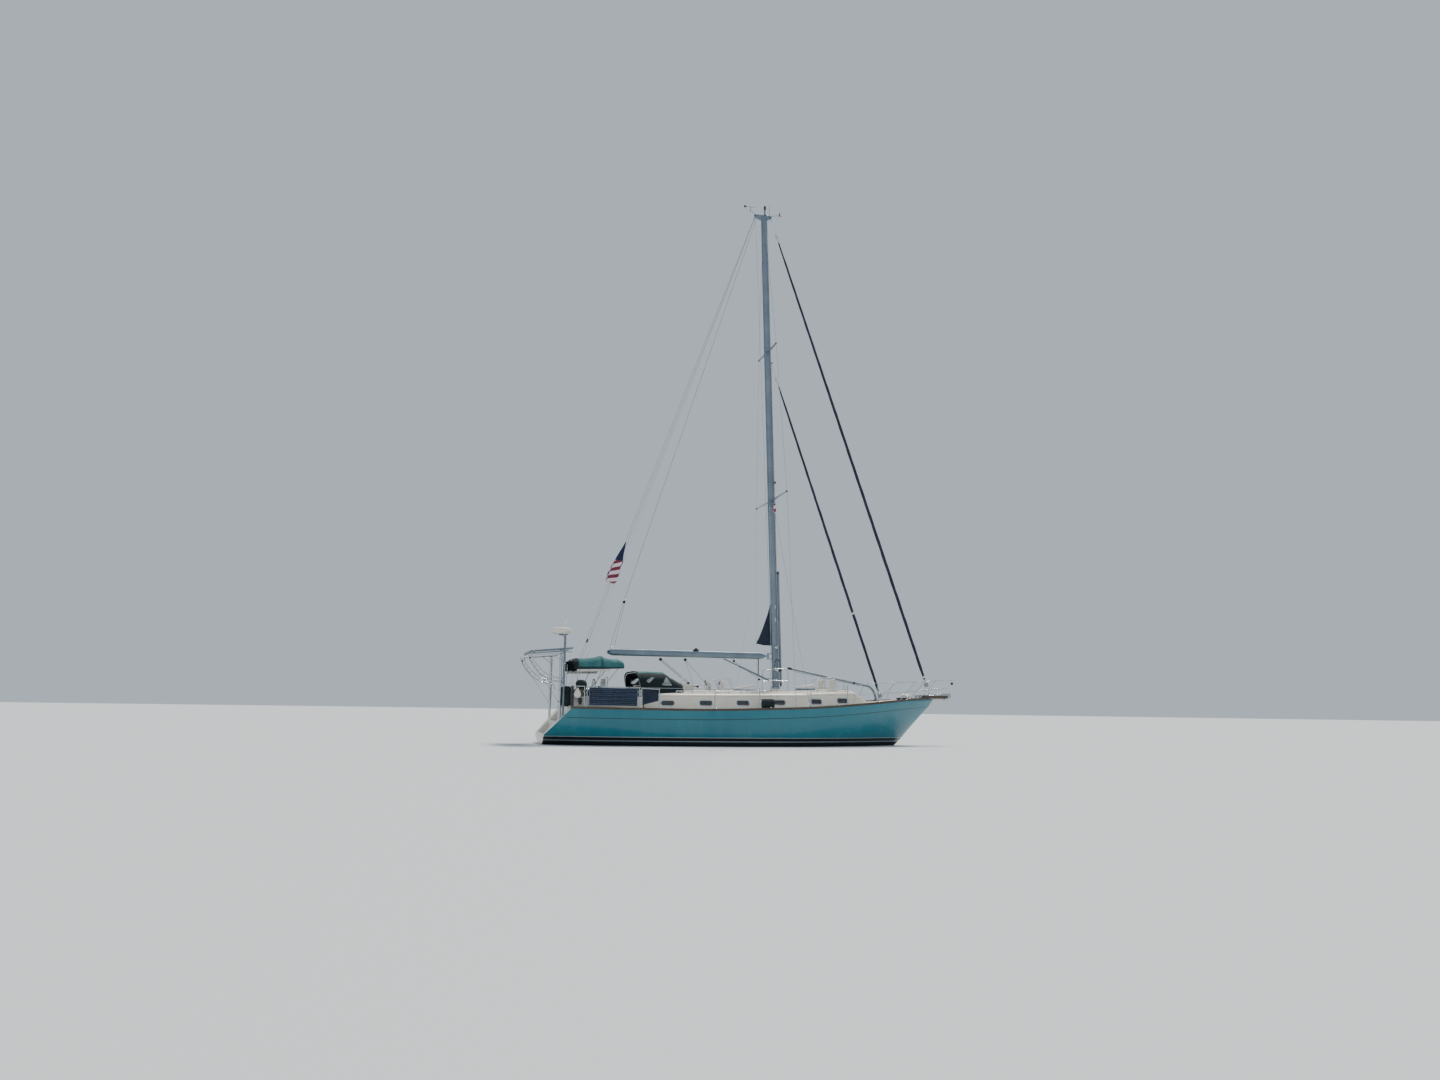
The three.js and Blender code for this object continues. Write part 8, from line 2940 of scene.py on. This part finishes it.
flap = Shape()
two_sided(flap, flap_point, np.linspace(0, 1, 7), np.linspace(-1.0, 1.0, 81), (0.004, 0.0))
flap = build(flap, crease=60)
# The flap gets nearly the full near black.
shaded_cloth(flap, lambda x, y, z: 0.9)
flap_piece = fit(flap, "spray_hood_flap", [green_cloth])
hood_frame = Shape()
knee_height, frame_inset = 1.64, 0.036
knees = []
for at, head_x, knee_x in ((-2.95, -2.915, -2.85), (-2.10, -2.11, -2.24)):
    half, foot, crown, square = hood_row(at)
    bow_row = (half - frame_inset, hood_foot, crown - frame_inset, square)
    bow = [arch_point(bow_row, t) for t in even_angles(bow_row, 80)]
    bow = [
        (knee_x + (head_x - knee_x) * min((z - knee_height) / 0.4, 1.0), y, z)
        for y, z in bow if z > knee_height + 0.03
    ]
    knee = half - frame_inset - 0.004
    knees.append((knee_x, knee))
    tube(hood_frame, [(knee_x, knee, knee_height), *bow, (knee_x, -knee, knee_height)], 0.011, 0, 14)
for side in (1, -1):
    aft_knee, fore_knee = [Vector((x, side * y, knee_height)) for x, y in knees]
    tube(hood_frame, [aft_knee, fore_knee], 0.010, 0, 12)
    tube(hood_frame, [(aft_knee.x, aft_knee.y, 1.402), aft_knee], 0.011, 0, 14)
    flange(hood_frame, (aft_knee.x, aft_knee.y, 1.396), (0, 0, 1), 0.032, 0.010, 0.016, 0.018, 1, 18)
    for at in (aft_knee, fore_knee):
        turned(hood_frame, at - sideways(side * 0.014), (0, side, 0), [
            (0.018, 0), (0.018, 0.028), (0, 0.030),
        ], 1, 16)
fit(build(hood_frame), "spray_hood_frame", [stainless, rubber], stands_for=["dodger_frame"])

# Ensign. Printed cloth, blue at the hoist and striped red and white at the fly, hung limp in folds from a
# doubled halyard beside the backstay. A small pennant hangs under the starboard spreader.
halyard_foot, halyard_head = Vector((-4.79, -0.070, 1.690)), Vector((0.868, -0.026, 17.345))
halyard = rods("halyard", [
    [
        halyard_foot.lerp(halyard_head, share) + Vector((shift * share_of, 0, 0))
        for share, share_of in ((0, 1), (0.5, 1), (1, 0.3))
    ]
    for shift in (-0.035, 0.035)
], 0.0032, dark_rope, 0)
fit(halyard, "ensign_halyard", [dark_rope], stands_for=["flag_halyard"])


def striped_cloth(name, top_colour, bar_colour, ground, stripes, top_share):
    """Flag cloth: a plain part at the head, bars below it, along the cloth's own coordinates."""
    material, tree, shader = surface(name, ground, 0.9)
    down = put(tree, "ShaderNodeAttribute", attribute_name="down_share").outputs["Fac"]
    over = put(tree, "ShaderNodeAttribute", attribute_name="across_share").outputs["Fac"]
    slanted = sums(
        tree, "ADD", sums(tree, "MULTIPLY", down, stripes), sums(tree, "MULTIPLY", over, stripes * 0.42),
    )
    back_and_forth = put(tree, "ShaderNodeMath", operation="PINGPONG", links=[(0, slanted), (1, 1.0)])
    bars = between(tree, back_and_forth.outputs[0], 0.46, 0.54)
    striped = blend_colours(tree, bars, paint(*bar_colour), paint(*ground))
    head = between(tree, down, top_share - 0.01, top_share + 0.01)
    tree.links.new(blend_colours(tree, head, paint(*top_colour), striped), shader.inputs["Base Color"])
    cloth_bump(tree, shader, 300.0, 0.002, 9.0)
    return material


flag_cloth = striped_cloth("flag_cloth", (20, 30, 66), (118, 42, 62), (222, 206, 218), 11.0, 0.46)
ensign_rows = [
    (4.84, 0.110, 0.030), (4.95, 0.175, 0.062), (5.15, 0.178, 0.066), (5.50, 0.145, 0.060),
    (5.90, 0.055, 0.040), (6.12, 0.014, 0.012),
]
halyard_way = (halyard_head - halyard_foot) / (halyard_head.z - halyard_foot.z)


def hanging_flag(name, z_low, z_high, centre_at, half_at, depth_at, folds, finish, columns=73, rows=50):
    """Cloth hung in soft folds: a ribbon that turns back and forth at each height."""
    def point_at(v, s, shift):
        z = z_high + (z_low - z_high) * v
        centre, half, depth = centre_at(z), half_at(z), depth_at(z)
        swing = math.sin(math.pi * folds * (s - 0.5))
        away = math.cos(math.pi * folds * (s - 0.5))
        x = centre.x - half * swing * (0.90 + 0.1 * math.sin(5 * s + 6 * v))
        y = centre.y + depth * (1.5 * (s - 0.5) + 0.30 * away) + 0.006 * math.sin(9 * v + 7 * s)
        droop = 0.05 * half / 0.18 * (1 - swing) * v
        tip_way = Vector((away * half * 0.2, 1.0, 0)).normalized()
        return Vector((x, y, z + 0.02 * math.sin(4 * s) * v - droop)) + tip_way * shift

    shape = Shape()
    two_sided(shape, point_at, np.linspace(0, 1, rows), np.linspace(0, 1, columns), (0.0009, -0.0009))
    mesh = build(shape, crease=75)
    for label, values in (
        ("down_share", [v for v in np.linspace(0, 1, rows) for s in range(columns)]),
        ("across_share", [s / (columns - 1) for v in range(rows) for s in range(columns)]),
    ):
        share = mesh.attributes.new(label, "FLOAT", "POINT")
        share.data.foreach_set("value", values * 2)
    return fit(mesh, name, [finish])


ensign_z = [row[0] for row in ensign_rows]
ensign = hanging_flag(
    "ensign_cloth", 4.87, 6.115,
    lambda z: halyard_foot + halyard_way * (z - halyard_foot.z) + Vector((-0.03, -0.075, 0)),
    lambda z: float(np.interp(z, ensign_z, [row[1] for row in ensign_rows])),
    lambda z: float(np.interp(z, ensign_z, [row[2] for row in ensign_rows])),
    3, flag_cloth,
)
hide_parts("ensign")
pennant_cloth = striped_cloth("pennant_cloth", (150, 44, 54), (150, 44, 54), (216, 210, 212), 2.4, 0.2)
pennant_line = [(1.335, -1.0, 7.62), (1.335, -1.0, 7.20), (1.20, -1.62, 1.42)]
fit(rods("pennant_line", [pennant_line], 0.0025, dark_rope, 0), "pennant_halyard", [dark_rope])
pennant = hanging_flag(
    "pennant_cloth", 7.16, 7.44, lambda z: Vector((1.30, -1.03, z)),
    lambda z: float(np.interp(z, (7.16, 7.30, 7.44), (0.035, 0.050, 0.018))), lambda z: 0.016, 3,
    pennant_cloth, 37, 24,
)
